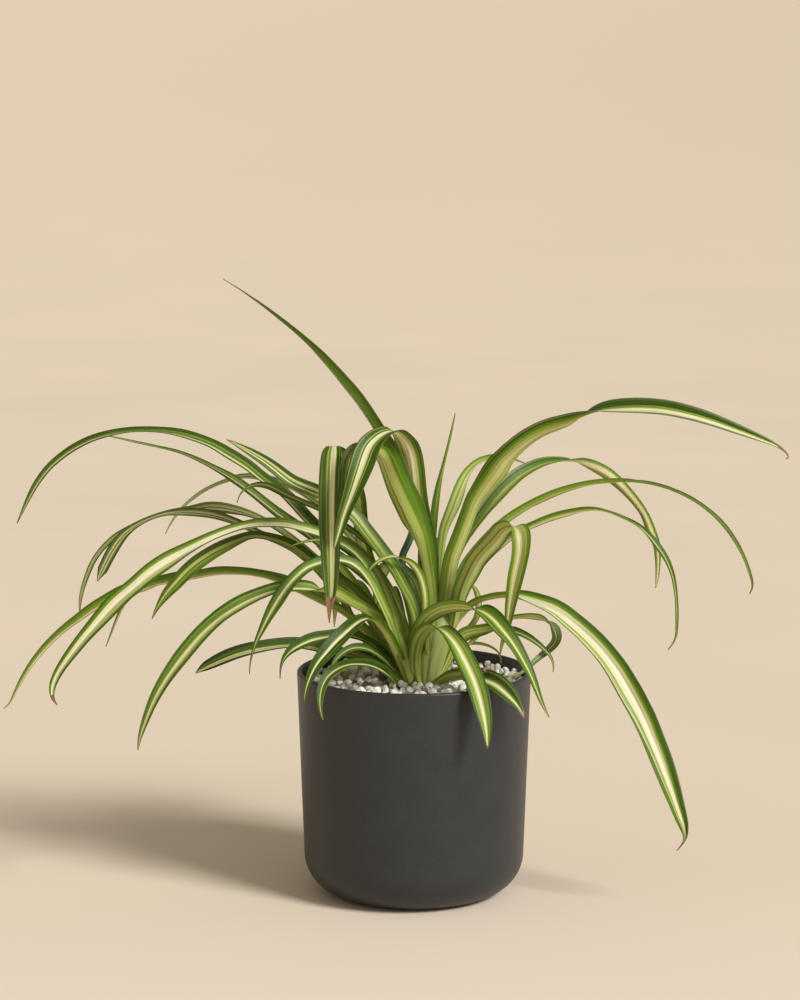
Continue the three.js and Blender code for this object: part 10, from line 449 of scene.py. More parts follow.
        '-15.58 12.88 125.83 -0.941 -0.338 0.013 5.21 46; -15.73 13.4 127.87 -0.943 -0.333 0.016 5.47 46; -15.95 14.15 130.01 -0.945 -0.328 0.016 5.73 46; -16.23 15.05 132.14 -0.945 -0.328 0.005 5.99 46; -16.58 16.03 134.17 -0.942 -0.336 -0.018 6.25 46; -17 17 136 -0.936 -0.348 -0.044 6.51 46; -18.86 20.84 142.79 -0.933 -0.357 -0.055 6.92 41; -20.35 23.97 147.7 -0.931 -0.362 -0.055 7.62 37.3; -21.97 27.39 152.38 -0.928 -0.367 -0.055 8.49 34.7; -23.71 31.09 156.79 -0.926 -0.373 -0.055 9.36 32.8; -25.56 35.05 160.93 -0.924 -0.38 -0.055 10.07 30.8; -27.51 39.19 164.84 -0.921 -0.385 -0.054 10.47 28.9; -29.53 43.49 168.51 -0.92 -0.389 -0.051 10.5 26.9; -30.93 46.51 170.76 -0.919 -0.392 -0.046 10.5 25.9; -32.38 49.69 172.71 -0.919 -0.392 -0.036 10.5 25.5; -33.12 51.36 173.54 -0.92 -0.391 -0.03 10.5 25.3; -33.87 53.08 174.24 -0.921 -0.389 -0.023 10.5 25.1; -34.63 54.86 174.79 -0.923 -0.385 -0.016 10.5 24.9; -35.39 56.67 175.18 -0.925 -0.38 -0.01 10.5 24.7; -36.14 58.51 175.43 -0.927 -0.374 -0.005 10.5 24.5; -37.61 62.24 175.55 -0.932 -0.361 0.001 10.5 24.1; -39.03 65.98 175.32 -0.937 -0.349 0.002 10.45 23.7; -41.06 71.6 174.6 -0.944 -0.329 0.001 10.15 23.1; -42.93 77.21 173.51 -0.953 -0.302 -0.005 9.68 22.5; -44.05 80.93 172.52 -0.96 -0.281 -0.013 9.27 22.1; -44.57 82.76 171.89 -0.962 -0.272 -0.02 9.04 21.9; -45.05 84.56 171.14 -0.964 -0.264 -0.027 8.79 21.7; -45.5 86.3 170.26 -0.965 -0.26 -0.036 8.54 21.5; -45.9 87.98 169.24 -0.965 -0.259 -0.043 8.26 21.3; -46.62 91.11 166.84 -0.964 -0.261 -0.055 7.67 20.9; -47.23 93.96 164.1 -0.962 -0.264 -0.063 7.02 20.5; -47.99 97.91 159.62 -0.962 -0.263 -0.075 5.94 19.8; -48.8 102.89 153.39 -0.963 -0.254 -0.091 4.33 18; -49.41 107.74 147.02 -0.963 -0.249 -0.104 2.52 16.2; -49.97 113.48 138.83 -0.962 -0.25 -0.112 0.7 14'),
    'leaf_rear_c': ('rear_c',
        '8.58 -2 128.79 -0.981 0.021 0.195 5.95 46; 8.93 -1.24 130.47 -0.972 0.055 0.23 6.16 46; 9.46 -0.14 132.09 -0.958 0.113 0.265 6.38 46; 10.1 1.17 133.66 -0.952 0.139 0.271 6.59 46; 10.75 2.57 135.21 -0.956 0.135 0.262 6.8 46; 11.34 3.92 136.76 -0.966 0.1 0.237 7.01 46; 11.78 5.11 138.35 -0.983 0.035 0.179 7.23 46; 12 6 140 -0.995 -0.022 0.097 7.44 46; 12.09 6.75 141.84 -0.997 -0.038 0.062 7.46 45.1; 12.41 9.88 149.17 -0.998 -0.037 0.058 7.87 41.3; 12.61 12.58 154.52 -0.998 -0.035 0.055 8.44 38.4; 12.67 13.64 156.26 -0.998 -0.034 0.055 8.67 37.5; 12.78 16.15 159.64 -0.998 -0.03 0.055 9.16 35.8; 12.82 17.61 161.27 -0.998 -0.028 0.055 9.41 35.3; 12.87 19.23 162.87 -0.998 -0.026 0.054 9.67 34.8; 12.95 22.87 165.96 -0.998 -0.023 0.052 10.18 33.8; 13.03 28.74 170.44 -0.999 -0.026 0.045 10.91 32.3; 13.05 30.54 171.95 -0.999 -0.03 0.042 11.13 31.8; 13.05 32.15 173.49 -0.999 -0.035 0.037 11.33 31.3; 13.05 33.54 175.07 -0.999 -0.041 0.03 11.51 30.8; 13.04 34.68 176.69 -0.999 -0.047 0.021 11.66 30.3; 13.03 35.58 178.34 -0.999 -0.052 0.012 11.79 29.9; 13 36.28 180.03 -0.999 -0.054 0.003 11.89 29.4; 12.93 37.28 183.46 -0.998 -0.057 -0.01 12 28.4; 12.83 38.2 186.85 -0.998 -0.06 -0.012 12 27.4; 12.72 39.46 190.08 -0.998 -0.062 -0.008 12 26.4; 12.66 40.3 191.62 -0.998 -0.062 -0.005 12 26; 12.59 41.31 193.07 -0.998 -0.062 -0.001 12 25.8; 12.52 42.49 194.43 -0.998 -0.06 0.001 12 25.7; 12.44 43.83 195.68 -0.998 -0.059 0.002 12 25.5; 12.36 45.33 196.79 -0.998 -0.059 0.003 12 25.4; 12.26 46.98 197.74 -0.998 -0.059 0.002 12 25.2; 12.16 48.75 198.5 -0.998 -0.061 0.001 12 25.1; 12.04 50.61 199.07 -0.998 -0.065 0 12 24.9; 11.91 52.53 199.46 -0.997 -0.071 -0.001 12 24.8; 11.6 56.46 199.85 -0.996 -0.085 -0.001 12 24.5; 10.83 64.38 199.99 -0.994 -0.107 0 11.98 23.8; 9.93 72.3 199.96 -0.993 -0.118 0.001 11.7 23.2; 9.45 76.25 199.8 -0.993 -0.12 0.004 11.47 22.9; 9.21 78.22 199.61 -0.993 -0.12 0.007 11.34 22.8; 8.98 80.17 199.28 -0.993 -0.119 0.012 11.19 22.6; 8.74 82.08 198.77 -0.993 -0.117 0.018 11.03 22.5; 8.51 83.92 198.04 -0.993 -0.113 0.023 10.86 22.3; 8.3 85.65 197.08 -0.994 -0.108 0.028 10.68 22.2; 8.09 87.26 195.93 -0.994 -0.103 0.031 10.49 22; 7.9 88.77 194.64 -0.995 -0.099 0.032 10.29 21.9; 7.54 91.5 191.77 -0.995 -0.091 0.033 9.85 21.6; 7.22 93.94 188.64 -0.996 -0.086 0.031 9.37 21.3; 6.8 97.25 183.68 -0.996 -0.081 0.028 8.59 20.8; 6.31 101.29 176.82 -0.997 -0.076 0.021 7.41 20.2; 5.91 105.09 169.83 -0.997 -0.071 0.015 6.09 19.1; 5.57 108.6 162.68 -0.998 -0.068 0.011 4.64 17.8; 5.3 111.68 155.34 -0.998 -0.066 0.006 3.06 16.4; 5.1 114.27 147.81 -0.998 -0.064 0.001 1.36 15; 5 115.98 142.08 -0.998 -0.063 -0.002 0.7 14'),
    'leaf_rear_d': ('rear_d',
        '-5.17 0.67 125.39 -0.983 -0.156 0.094 4.71 46; -5.12 1.46 127.24 -0.984 -0.138 0.112 4.91 46; -5.02 2.61 129.07 -0.986 -0.109 0.129 5.1 46; -4.92 3.97 130.88 -0.987 -0.101 0.125 5.3 46; -4.85 5.41 132.65 -0.988 -0.112 0.106 5.5 46; -4.87 6.8 134.36 -0.987 -0.144 0.068 5.69 46; -5 8 136 -0.983 -0.181 0.022 5.89 46; -5.65 11.31 141 -0.981 -0.195 0.002 6.16 41.8; -6.34 14.85 145.86 -0.981 -0.194 0.003 6.83 37.7; -7.09 18.79 150.46 -0.981 -0.192 0.005 7.7 34.7; -7.91 23.04 154.79 -0.981 -0.195 0.001 8.56 32.5; -9.1 28.9 160.19 -0.98 -0.201 -0.004 9.38 29.6; -10.38 34.89 165.23 -0.979 -0.206 -0.007 9.5 26.7; -11.4 39.61 168.67 -0.979 -0.206 -0.006 9.5 25.6; -12.12 42.99 170.64 -0.979 -0.205 -0.004 9.5 25.1; -12.49 44.76 171.47 -0.979 -0.204 -0.003 9.5 24.9; -12.87 46.59 172.17 -0.979 -0.202 -0.002 9.5 24.7; -13.26 48.47 172.71 -0.98 -0.201 -0.001 9.5 24.4; -13.66 50.4 173.08 -0.98 -0.199 0 9.5 24.2; -14.05 52.35 173.27 -0.981 -0.196 0 9.5 24; -14.44 54.32 173.29 -0.981 -0.194 0 9.47 23.8; -15.21 58.24 172.92 -0.982 -0.191 -0.001 9.31 23.3; -15.96 62.1 172.12 -0.982 -0.189 -0.002 9.05 22.9; -17.04 67.77 170.38 -0.982 -0.189 -0.003 8.5 22.2; -18.09 73.25 168.11 -0.982 -0.19 -0.003 7.77 21.6; -18.77 76.77 166.29 -0.981 -0.192 -0.002 7.21 21.1; -19.42 80.12 164.17 -0.981 -0.193 -0.002 6.58 20.7; -20.03 83.23 161.7 -0.981 -0.195 -0.001 5.88 20.2; -20.6 86.08 158.93 -0.981 -0.195 -0.001 5.13 19.5; -21.11 88.67 155.9 -0.981 -0.196 0 4.32 18.5; -21.58 91.02 152.68 -0.981 -0.196 0 3.45 17.5; -22.21 94.15 147.57 -0.98 -0.197 0.001 2.05 16; -22.96 97.82 140.46 -0.98 -0.197 0.002 0.7 14'),
    'leaf_rear_e': ('rear_e',
        '8.21 -2 123.42 -0.949 0.219 0.228 4.96 46; 8.78 -1.51 125.29 -0.931 0.24 0.274 5.14 46; 9.61 -0.87 127.19 -0.901 0.279 0.333 5.31 46; 10.61 -0.09 129.07 -0.886 0.305 0.35 5.49 46; 11.67 0.8 130.93 -0.888 0.314 0.335 5.67 46; 12.65 1.79 132.71 -0.908 0.304 0.29 5.85 46; 13.47 2.87 134.42 -0.942 0.263 0.209 6.02 46; 14 4 136 -0.971 0.206 0.123 6.2 46; 14.73 6.38 139.15 -0.98 0.181 0.087 6.35 43; 15.79 10.06 143.79 -0.981 0.178 0.077 7.04 38.4; 16.81 13.96 148.25 -0.983 0.173 0.064 8.01 34.9; 17.77 18.1 152.51 -0.985 0.165 0.05 9.01 32.5; 18.66 22.45 156.58 -0.987 0.155 0.037 9.76 30.2; 19.45 26.93 160.52 -0.989 0.143 0.025 10 27.8; 20.17 31.53 164.33 -0.991 0.133 0.016 10 25.8; 20.62 34.73 166.7 -0.992 0.128 0.01 10 25.3; 21.07 38.14 168.77 -0.993 0.122 0.005 10 24.8; 21.29 39.94 169.63 -0.993 0.119 0.002 10 24.6; 21.51 41.8 170.33 -0.993 0.116 0.001 10 24.4; 21.73 43.72 170.87 -0.994 0.113 0 10 24.1; 21.95 45.68 171.22 -0.994 0.111 0 9.99 23.9; 22.17 47.67 171.41 -0.994 0.108 0 9.93 23.6; 22.59 51.65 171.37 -0.995 0.103 0.001 9.7 23.2; 22.99 55.63 170.97 -0.995 0.095 0.002 9.35 22.7; 23.5 61.53 169.95 -0.997 0.075 0.008 8.64 21.9; 23.74 65.43 169.02 -0.998 0.056 0.016 8.05 21.5; 23.89 69.26 167.83 -0.999 0.039 0.027 7.38 21; 23.97 72.96 166.29 -0.999 0.032 0.04 6.63 20.5; 23.99 76.45 164.32 -0.998 0.036 0.05 5.8 20; 24 79.69 161.96 -0.997 0.046 0.055 4.9 18.9; 24 82.67 159.28 -0.997 0.056 0.057 3.93 17.8; 24 85.43 156.37 -0.996 0.064 0.056 2.89 16.7; 24 89.25 151.72 -0.996 0.071 0.055 1.2 15.1; 24 91.67 148.52 -0.996 0.073 0.055 0.7 14'),
}
STYLES = {
    'tall_left': {'up': 'D18 M8 L4 C6 Y3 G6 M26 D20', 'down': 'D10 M5 C5 Y2 M10 G12 M34 D18', 'brown': 2, 'base': 110, 'low': 'D8 M14 G10 L4 G8 M14 G8 M14 D10'},
    'arch_front': {'up': 'D22 M4 L4 K3 D3 Y3 C26 L3 M6 L4 D24', 'down': 'M8 O11 L4 D3 L4 B10 C22 B10 L4 M8 D16', 'base': 70},
    'hang_front': {'up': 'D26 M6 L3 G4 K3 L3 G3 C24 Y5 M4 D16 K4', 'down': 'D12 M10 O20 B6 O20 M10 D12', 'brown': 20, 'dry': ((120, 78, 54), (158, 116, 88), (186, 150, 118)), 'pinch': (0.34, 4.5), 'base': 60},
    'arch_mid': {'up': 'D22 M8 L5 G6 C22 Y5 M8 D20', 'down': 'M10 L6 O18 Y3 K2 Y3 B20 O8 L6 G8 M12', 'base': 160},
    'spike_centre': {'up': 'D30 M20 G6 M20 D24', 'down': 'D30 M20 G6 M20 D24'},
    'mid_right': {'up': 'D16 M12 G6 L6 C16 L6 G6 M12 D14', 'down': 'M12 G12 L10 C12 L8 G12 M12', 'base': 150},
    'arch_right': {'up': 'S7 C28 L4 M5 L3 G8 D34 S5', 'down': 'D22 M12 G9 L5 O12 B22 O10 L6 G4', 'base': 130, 'low': 'M18 G14 L8 Y5 L8 Y8 L6 Y8 L8 Y6 G6', 'brown': 14, 'dry': ((96, 48, 30), (126, 70, 46), (150, 100, 70))},
    'loop_right': {'up': 'M9 G9 L6 O8 C7 L5 G9 M16 D12 S12', 'down': 'M10 S8 O6 B20 C8 B12 O5 S8 L3 M12', 'base': 70},
    'dark_arc_high': {'up': 'D24 M8 L7 D20 M10 G6 D26', 'down': 'M20 G20 L10 Y8 G18 M20', 'base': 90},
    'dark_arc_low': {'up': 'D22 M8 L8 Y6 L6 M6 D24', 'down': 'M16 G10 L8 C16 Y8 G14 M16', 'base': 90},
    'fold_right': {'up': 'M10 G8 O8 B20 O4 S3 O16 L4 G8 M12', 'down': 'S6 M8 L6 O14 K2 O10 L10 C10 Y6 L8 M8 K2', 'base': 60},
    'front_right': {'up': 'D12 M16 G6 L5 Y4 C8 Y4 L6 G8 M14 D14', 'down': 'M12 G10 O12 L6 B8 O10 L6 B8 O10 G8 M12'},
    'front_centre': {'up': 'D7 M13 G12 L6 Y5 C6 W8 C6 Y5 L6 G12 M14 D8', 'down': 'M12 G10 O12 L6 B8 O10 L6 B8 O10 G8 M12', 'brown': 2.5},
    'low_right': {'up': 'D14 M8 G3 L3 C15 B5 L3 M12 D34', 'down': 'M14 G10 O8 L6 G5 O8 B5 L6 O8 G10 M14', 'brown': 5, 'dry': ((120, 78, 54), (158, 116, 88), (186, 150, 118)), 'base': 30},
    'wide_right': {'up': 'M6 C5 G4 C3 M5 L5 C14 W16 C14 L3 G6 M9 D14', 'down': 'M12 G10 O12 B24 O12 G8 M12', 'brown': 8, 'tight': 0.86, 'base': 70},
    'loop_low': {'up': 'S16 T16 C4 Y2 S18 M12 D12', 'down': 'M10 O16 B10 O14 G8 M10', 'base': 40},
    'pale_low_right': {'up': 'D14 M12 G4 L3 D4 M4 L3 C14 L3 M4 D5 L3 G4 M12 D14', 'down': 'M14 G10 O8 L6 G5 O8 B5 L6 O8 G10 M14'},
    'hook_small': {'up': 'D14 M12 G4 L3 D4 M4 L3 C14 L3 M4 D5 L3 G4 M12 D14', 'down': 'M14 G10 O8 L6 G5 O8 B5 L6 O8 G10 M14'},
    'brown_thread': {'up': 'D14 M12 G4 L3 D4 M4 L3 C14 L3 M4 D5 L3 G4 M12 D14', 'down': 'M14 G10 O8 L6 G5 O8 B5 L6 O8 G10 M14'},
    'left_low_dark': {'up': 'K10 D22 M10 C6 Y3 O8 C4 K8', 'down': 'D20 O12 L6 O12 D20'},
    'left_low_thin': {'up': 'D24 M12 L4 C8 Y4 K3 D14', 'down': 'M14 G10 O8 L6 G5 O8 B5 L6 O8 G10 M14', 'base': 24},
    'front_left': {'up': 'D18 K4 D10 M6 L4 C10 W6 B4 K3 D14 M6 D16', 'down': 'M14 G10 O8 L6 G5 O8 B5 L6 O8 G10 M14', 'base': 30},
    'front_left_low': {'up': 'D22 K4 D8 L5 C7 Y5 M10 D24', 'down': 'M14 G10 O8 L6 G5 O8 B5 L6 O8 G10 M14', 'base': 24},
    'left_inner_arc': {'up': 'D20 M10 L4 C6 Y4 D18', 'down': 'M14 G10 O8 L6 G5 O8 B5 L6 O8 G10 M14', 'base': 26},
    'pale_curl': {'up': 'G14 L16 C20 L16 M16', 'down': 'M14 L18 C18 Y10 G16 M14'},
    'grey_up': {'up': 'T20 K6 T30 S10 T20', 'down': 'T20 K6 T30 S10 T20', 'base': 45},
    'dark_bud': {'up': 'D14 M12 G4 L3 D4 M4 L3 C14 L3 M4 D5 L3 G4 M12 D14', 'down': 'M14 G10 O8 L6 G5 O8 B5 L6 O8 G10 M14'},
    'left_high': {'up': 'D30 M20 L3 C12 B8 L3 M4 K6', 'down': 'M16 O20 B14 O20 M16', 'base': 90, 'brown': 6, 'dry': ((70, 44, 34), (100, 66, 48), (140, 104, 78))},
    'left_mid_brown': {'up': 'D16 M8 L4 C12 L5 M10 G6 C10 L4 M8 D16', 'down': 'M14 G10 O8 L6 G5 O8 B5 L6 O8 G10 M14', 'brown': 4, 'base': 120, 'low': 'D10 K3 M12 L4 G10 K3 M10 L4 M12 D12'},
    'left_curl': {'up': 'D14 M12 G4 L3 D4 M4 L3 C14 L3 M4 D5 L3 G4 M12 D14', 'down': 'M14 G10 O8 L6 G5 O8 B5 L6 O8 G10 M14'},
    'left_thin': {'up': 'D14 M12 G4 L3 D4 M4 L3 C14 L3 M4 D5 L3 G4 M12 D14', 'down': 'M14 G10 O8 L6 G5 O8 B5 L6 O8 G10 M14'},
    'left_outer_a': {'up': 'D6 S8 K3 O10 C5 S8 K3 O8 C7 O5 K3 S8 D6', 'down': 'M8 O14 K3 B12 O14 M10', 'brown': 1},
    'left_outer_b': {'up': 'D6 S8 K3 O10 C5 S8 K3 O8 C7 O5 K3 S8 D6', 'down': 'M8 O14 K3 B12 O14 M10', 'brown': 1},
    'left_wide': {'up': 'D6 M14 G4 L3 C14 W14 C12 B12 L3 G4 M8 D4', 'down': 'M14 G10 O8 L6 G5 O8 B5 L6 O8 G10 M14', 'brown': 9, 'dry': ((58, 40, 30), (92, 62, 44), (128, 98, 70))},
    'left_back_long': {'up': 'D14 M12 G4 L3 D4 M4 L3 C14 L3 M4 D5 L3 G4 M12 D14', 'down': 'G8 C22 B8 L4 G22 M20 D16'},
    'left_back_short': {'up': 'D14 M12 G4 L3 D4 M4 L3 C14 L3 M4 D5 L3 G4 M12 D14', 'down': 'G8 C22 B8 L4 G22 M20 D16'},
    'back_ghost': {'up': 'S14 O8 S10 B6 S10 O8 S14', 'down': 'S14 O8 S10 B6 S10 O8 S14', 'brown': 1},
    'left_red': {'up': 'D10 M10 K3 O10 Y3 O8 K3 G16 L4 M8 D8', 'down': 'M14 G10 O8 L6 G5 O8 B5 L6 O8 G10 M14', 'brown': 4},
    'left_front_short': {'up': 'D14 M14 G8 L3 C20 B6 L4 G8 M16 D8', 'down': 'M14 G10 O8 L6 G5 O8 B5 L6 O8 G10 M14'},
    'left_front_long': {'up': 'D14 M20 G6 L3 C20 B8 L3 O8 M10 D6', 'down': 'M14 G10 O8 L6 G5 O8 B5 L6 O8 G10 M14'},
    'dark_short_arc': {'up': 'D14 M12 G4 L3 D4 M4 L3 C14 L3 M4 D5 L3 G4 M12 D14', 'down': 'M14 G10 O8 L6 G5 O8 B5 L6 O8 G10 M14'},
    'olive_back_mid': {'up': 'D14 M12 G4 L3 D4 M4 L3 C14 L3 M4 D5 L3 G4 M12 D14', 'down': 'M14 G10 O8 L6 G5 O8 B5 L6 O8 G10 M14'},
    'rear_a': {'up': 'D14 M12 G4 L3 D4 M4 L3 C14 L3 M4 D5 L3 G4 M12 D14', 'down': 'M14 G10 O8 L6 G5 O8 B5 L6 O8 G10 M14'},
    'rear_b': {'up': 'D14 M12 G4 L3 D4 M4 L3 C14 L3 M4 D5 L3 G4 M12 D14', 'down': 'M14 G10 O8 L6 G5 O8 B5 L6 O8 G10 M14'},
    'rear_c': {'up': 'D14 M12 G4 L3 D4 M4 L3 C14 L3 M4 D5 L3 G4 M12 D14', 'down': 'M14 G10 O8 L6 G5 O8 B5 L6 O8 G10 M14'},
    'rear_d': {'up': 'D14 M12 G4 L3 D4 M4 L3 C14 L3 M4 D5 L3 G4 M12 D14', 'down': 'M14 G10 O8 L6 G5 O8 B5 L6 O8 G10 M14'},
    'rear_e': {'up': 'D14 M12 G4 L3 D4 M4 L3 C14 L3 M4 D5 L3 G4 M12 D14', 'down': 'M14 G10 O8 L6 G5 O8 B5 L6 O8 G10 M14'},
}

LENGTHS = {}
for number, (node, (style, rows)) in enumerate(LEAVES.items()):
    look = dict(STYLES[style])
    way = np.array([[float(v) for v in r.split()[:3]] for r in rows.split(";")])
    LENGTHS[node] = float(np.linalg.norm(np.diff(way, axis=0), axis=1).sum())
    ob = leaf_mesh("blade_" + node[5:], rows, look, 101 + number * 7)
    ob.data.materials.append(leaf_material("leaf_" + node[5:], look["up"], look["down"], look.get("base", min(130.0, 0.42 * LENGTHS[node])),
                                          pale=look.get("pale", (184, 194, 104)), rough=look.get("rough", 0.48), streaks=look.get("streaks", 1.0), tight=look.get("tight", 0.62),
                                          dryc=look.get("dry", ((96, 62, 38), (142, 98, 66), (176, 140, 98))), low_spec=look.get("low", "M5 G10 L9 Y4 L6 G6 L7 Y6 L9 G4 L7 Y4 L8 G10 M5")))
    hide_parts(node)
    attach(ob, "root")

# ------------------------------------------------------------------ crowns
CROWNS = {
    'crown_a': ([(112, 8, -2, 4, 4), (120, 8, -2, 5.6, 5.6), (128, 8.5, -2, 6.6, 6.2), (138, 9.5, -2, 8.5, 7.5), (148, 11, -2, 10, 8.4), (158, 13, -2, 10.6, 7.8), (166, 15, -2, 8.5, 6.2), (170, 15.5, -2, 4.5, 3.6)], 3, 9, (128, 132, 78), (166, 176, 98)),
    'crown_b': ([(112, -5, 0, 3.4, 3.4), (122, -5, 0.5, 5, 5), (132, -5.5, 1, 6, 6.4), (142, -7, 1, 5.8, 6.8), (150, -8, 1, 4.4, 5.4), (154, -8.5, 1, 2, 2.6)], 8, 7, (96, 104, 52), (138, 152, 74)),
    'crown_c': ([(112, -14, 12, 3, 3), (122, -15, 12.5, 4.3, 4.3), (132, -16.5, 13.5, 4.8, 4.8), (142, -18.5, 14.5, 4.5, 4.5), (150, -20, 15, 2.4, 2.4)], 13, 6, (70, 74, 38), (118, 124, 64)),
}


def crown_mesh(name, rings, seed, ribs):
    R = np.array(rings, float)
    zq = np.linspace(R[0, 0], R[-1, 0], 60)
    C = catmull(R[:, 0], R[:, 1:], zq)
    r = np.random.default_rng(seed)
    ph = r.uniform(0, 6.28, 4)
    n = 120
    V, F, al, ac = [], [], [], []
    m = len(zq)
    for i in range(m):
        z = zq[i]
        u = i / (m - 1)
        close = math.sqrt(max(0.0, 1 - max(0.0, (u - 0.86) / 0.14) ** 2)) if u > 0.86 else 1.0
        low = min(1.0, 0.55 + u * 4)
        for k in range(n):
            a = 2 * math.pi * k / n
            w = ribs * a + ph[0] + 0.25 * math.sin(z / 9 + ph[1])
            rib = 0.5 + 0.5 * math.cos(w)
            s = 1 - 0.11 * (1 - rib) ** 2.2 * min(1, u * 2.5 + 0.1) - 0.012 * math.cos(5 * w)
            V.append(((C[i, 0] + C[i, 2] * s * close * low * math.cos(a)) * MM, (C[i, 1] + C[i, 3] * s * close * low * math.sin(a)) * MM, z * MM))
            al.append(z - R[0, 0]); ac.append(w / 3.14159)
    for i in range(m - 1):
        for k in range(n):
            k2 = (k + 1) % n
            F.append((i * n + k, i * n + k2, (i + 1) * n + k2, (i + 1) * n + k))
    F.append(tuple(range(n - 1, -1, -1)))
    F.append(tuple((m - 1) * n + k for k in range(n)))
    return new_mesh(name, V, F, dict(along=al, across=ac))


def crown_material(name, low, high):
    m = Nodes(name)
    along, across = m.attr("along"), m.attr("across")
    fine = m.noise(m.vec(m.math("MULTIPLY", across, 9.0), m.math("MULTIPLY", along, 0.03), 0.0), 1.0, 3.0)
    wide = m.noise(m.vec(m.math("MULTIPLY", across, 2.0), m.math("MULTIPLY", along, 0.05), 4.0), 1.0, 3.0)
    col = m.mix(m.remap(along, 4.0, 30.0, 0, 1, True), srgb(*low), srgb(*high))
    col = m.mix(m.remap(fine, 0.40, 0.58), m.mix(0.24, col, PAL["M"]), col)
    col = m.mix(m.remap(wide, 0.52, 0.66, 0, 0.6), col, m.mix(0.5, col, PAL["C"]))
    m.link(col, m.bsdf.inputs["Base Color"])
    m.link(m.math("MULTIPLY_ADD", wide, 0.2, 0.36), m.bsdf.inputs["Roughness"])
    m.bump(fine, 0.5, 0.0004)
    return m.mat


for node, (rings, seed, ribs, low, high) in CROWNS.items():
    ob = crown_mesh("sheath_" + node[6:], rings, seed, ribs)
    ob.data.materials.append(crown_material("sheath_" + node[6:], low, high))
    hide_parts(node)
    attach(ob, "root")

# ------------------------------------------------------------------ pot
H, RR, RB, FIL, WALL, FLOOR = 135.0, 70.0, 66.0, 24.0, 3.0, 4.0


def outer(z):
    return RB + (RR - RB) * (z - FIL) / (H - FIL)


prof = [(0, 0.9), (RB - FIL - 6, 0.9), (RB - FIL - 4.5, 0.0), (RB - FIL, 0.0)]
for i in range(1, 25):
    a = math.pi / 2 * i / 24
    prof.append((RB - FIL + FIL * math.sin(a), FIL * (1 - math.cos(a))))
for z in np.linspace(FIL, H - 1.5, 40)[1:]:
    prof.append((outer(z), z))
ro, ri = RR, RR - WALL
lip = 1.5
for i in range(1, 9):
    a = math.pi / 2 * i / 8
    prof.append((ro - lip + lip * math.cos(a), H - lip + lip * math.sin(a)))
for i in range(0, 9):
    a = math.pi / 2 * i / 8
    prof.append((ri + lip - lip * math.sin(a), H - lip + lip * math.cos(a)))
for z in np.linspace(H - 3, 30, 20):
    prof.append((outer(z) - WALL, z))
for i in range(0, 13):
    a = math.pi / 2 * (1 - i / 12)
    rr = FIL - WALL
    prof.append((RB - WALL - rr + rr * math.sin(a), FLOOR + rr * (1 - math.cos(a))))
prof.append((0, FLOOR))
vs, fs = revolve([(r, z) for r, z in prof], 192)
pot = new_mesh("pot_shell", np.array(vs) * MM, fs)
m = Nodes("pot_charcoal")
tc = m.add("ShaderNodeTexCoord").outputs["Object"]
g1 = m.noise(tc, 900.0, 3.0, 0.6)
g2 = m.noise(tc, 60.0, 3.0, 0.5)
g3 = m.noise(tc, 3200.0, 2.0, 0.6)
col = m.mix(m.remap(g2, 0.3, 0.7), srgb(38, 40, 41), srgb(44, 46, 47))
col = m.mix(m.remap(g1, 0.35, 0.65, 0, 0.6), col, srgb(49, 51, 52))
m.link(col, m.bsdf.inputs["Base Color"])
m.link(m.math("MULTIPLY_ADD", g2, 0.08, 0.40), m.bsdf.inputs["Roughness"])
m.bsdf.inputs["Specular IOR Level"].default_value = 0.38
m.bump(m.math("ADD", g1, m.math("MULTIPLY", g3, 0.5)), 0.22, 0.00010)
pot.data.materials.append(m.mat)
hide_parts("pot")
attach(pot, "root")

# ------------------------------------------------------------------ soil
m = Nodes("soil_dark")
tc = m.add("ShaderNodeTexCoord").outputs["Object"]
c1 = m.noise(tc, 420.0, 5.0, 0.7)
c2 = m.noise(tc, 1500.0, 4.0, 0.7)
col = m.ramp(c1, [(0.3, srgb(20, 15, 11)), (0.5, srgb(42, 31, 22)), (0.68, srgb(70, 54, 38)), (0.8, srgb(98, 80, 58))])
m.link(col, m.bsdf.inputs["Base Color"])
m.bsdf.inputs["Roughness"].default_value = 0.95
m.bump(m.math("ADD", c1, m.math("MULTIPLY", c2, 0.5)), 1.0, 0.0015)
soil = frame["nodes"]["soil"] if isinstance(frame["nodes"], dict) else bpy.data.objects["soil"]
soil_ob = soil if hasattr(soil, "material_slots") else bpy.data.objects["soil"]
if not soil_ob.material_slots:
    soil_ob.data.materials.append(m.mat)
else:
    for s in soil_ob.material_slots:
        s.material = m.mat

# ------------------------------------------------------------------ pebbles
def ico():
    import bmesh
    bm = bmesh.new()
    bmesh.ops.create_icosphere(bm, subdivisions=2, radius=1.0)
    v = np.array([x.co[:] for x in bm.verts]); f = [tuple(q.index for q in p.verts) for p in bm.faces]
    bm.free()
    return v, f


def grain(v, size, r):
    """one worn angular stone"""
    d = r.normal(size=(7, 3)); d /= np.linalg.norm(d, axis=1)[:, None]
    w = v.copy()
    for k in range(7):                       # flatten against a few planes
        lim = r.uniform(0.50, 0.86)
        p = w @ d[k]
        w -= np.maximum(0, p - lim)[:, None] * d[k] * 0.97
    w *= r.uniform(0.75, 1.2, 3)
    q = r.normal(size=(3, 3)); q, _ = np.linalg.qr(q)
    return (w @ q) * size


CROWN_SPOTS = [(8.5, -2.0, 6.8), (-5.3, 0.8, 6.3), (-16.5, 13.0, 5.2)]
gv, gf = ico()
PV, PF, PT, PS = [], [], [], []
nv = 0
prng = np.random.default_rng(5)
placed = []
cells = {}


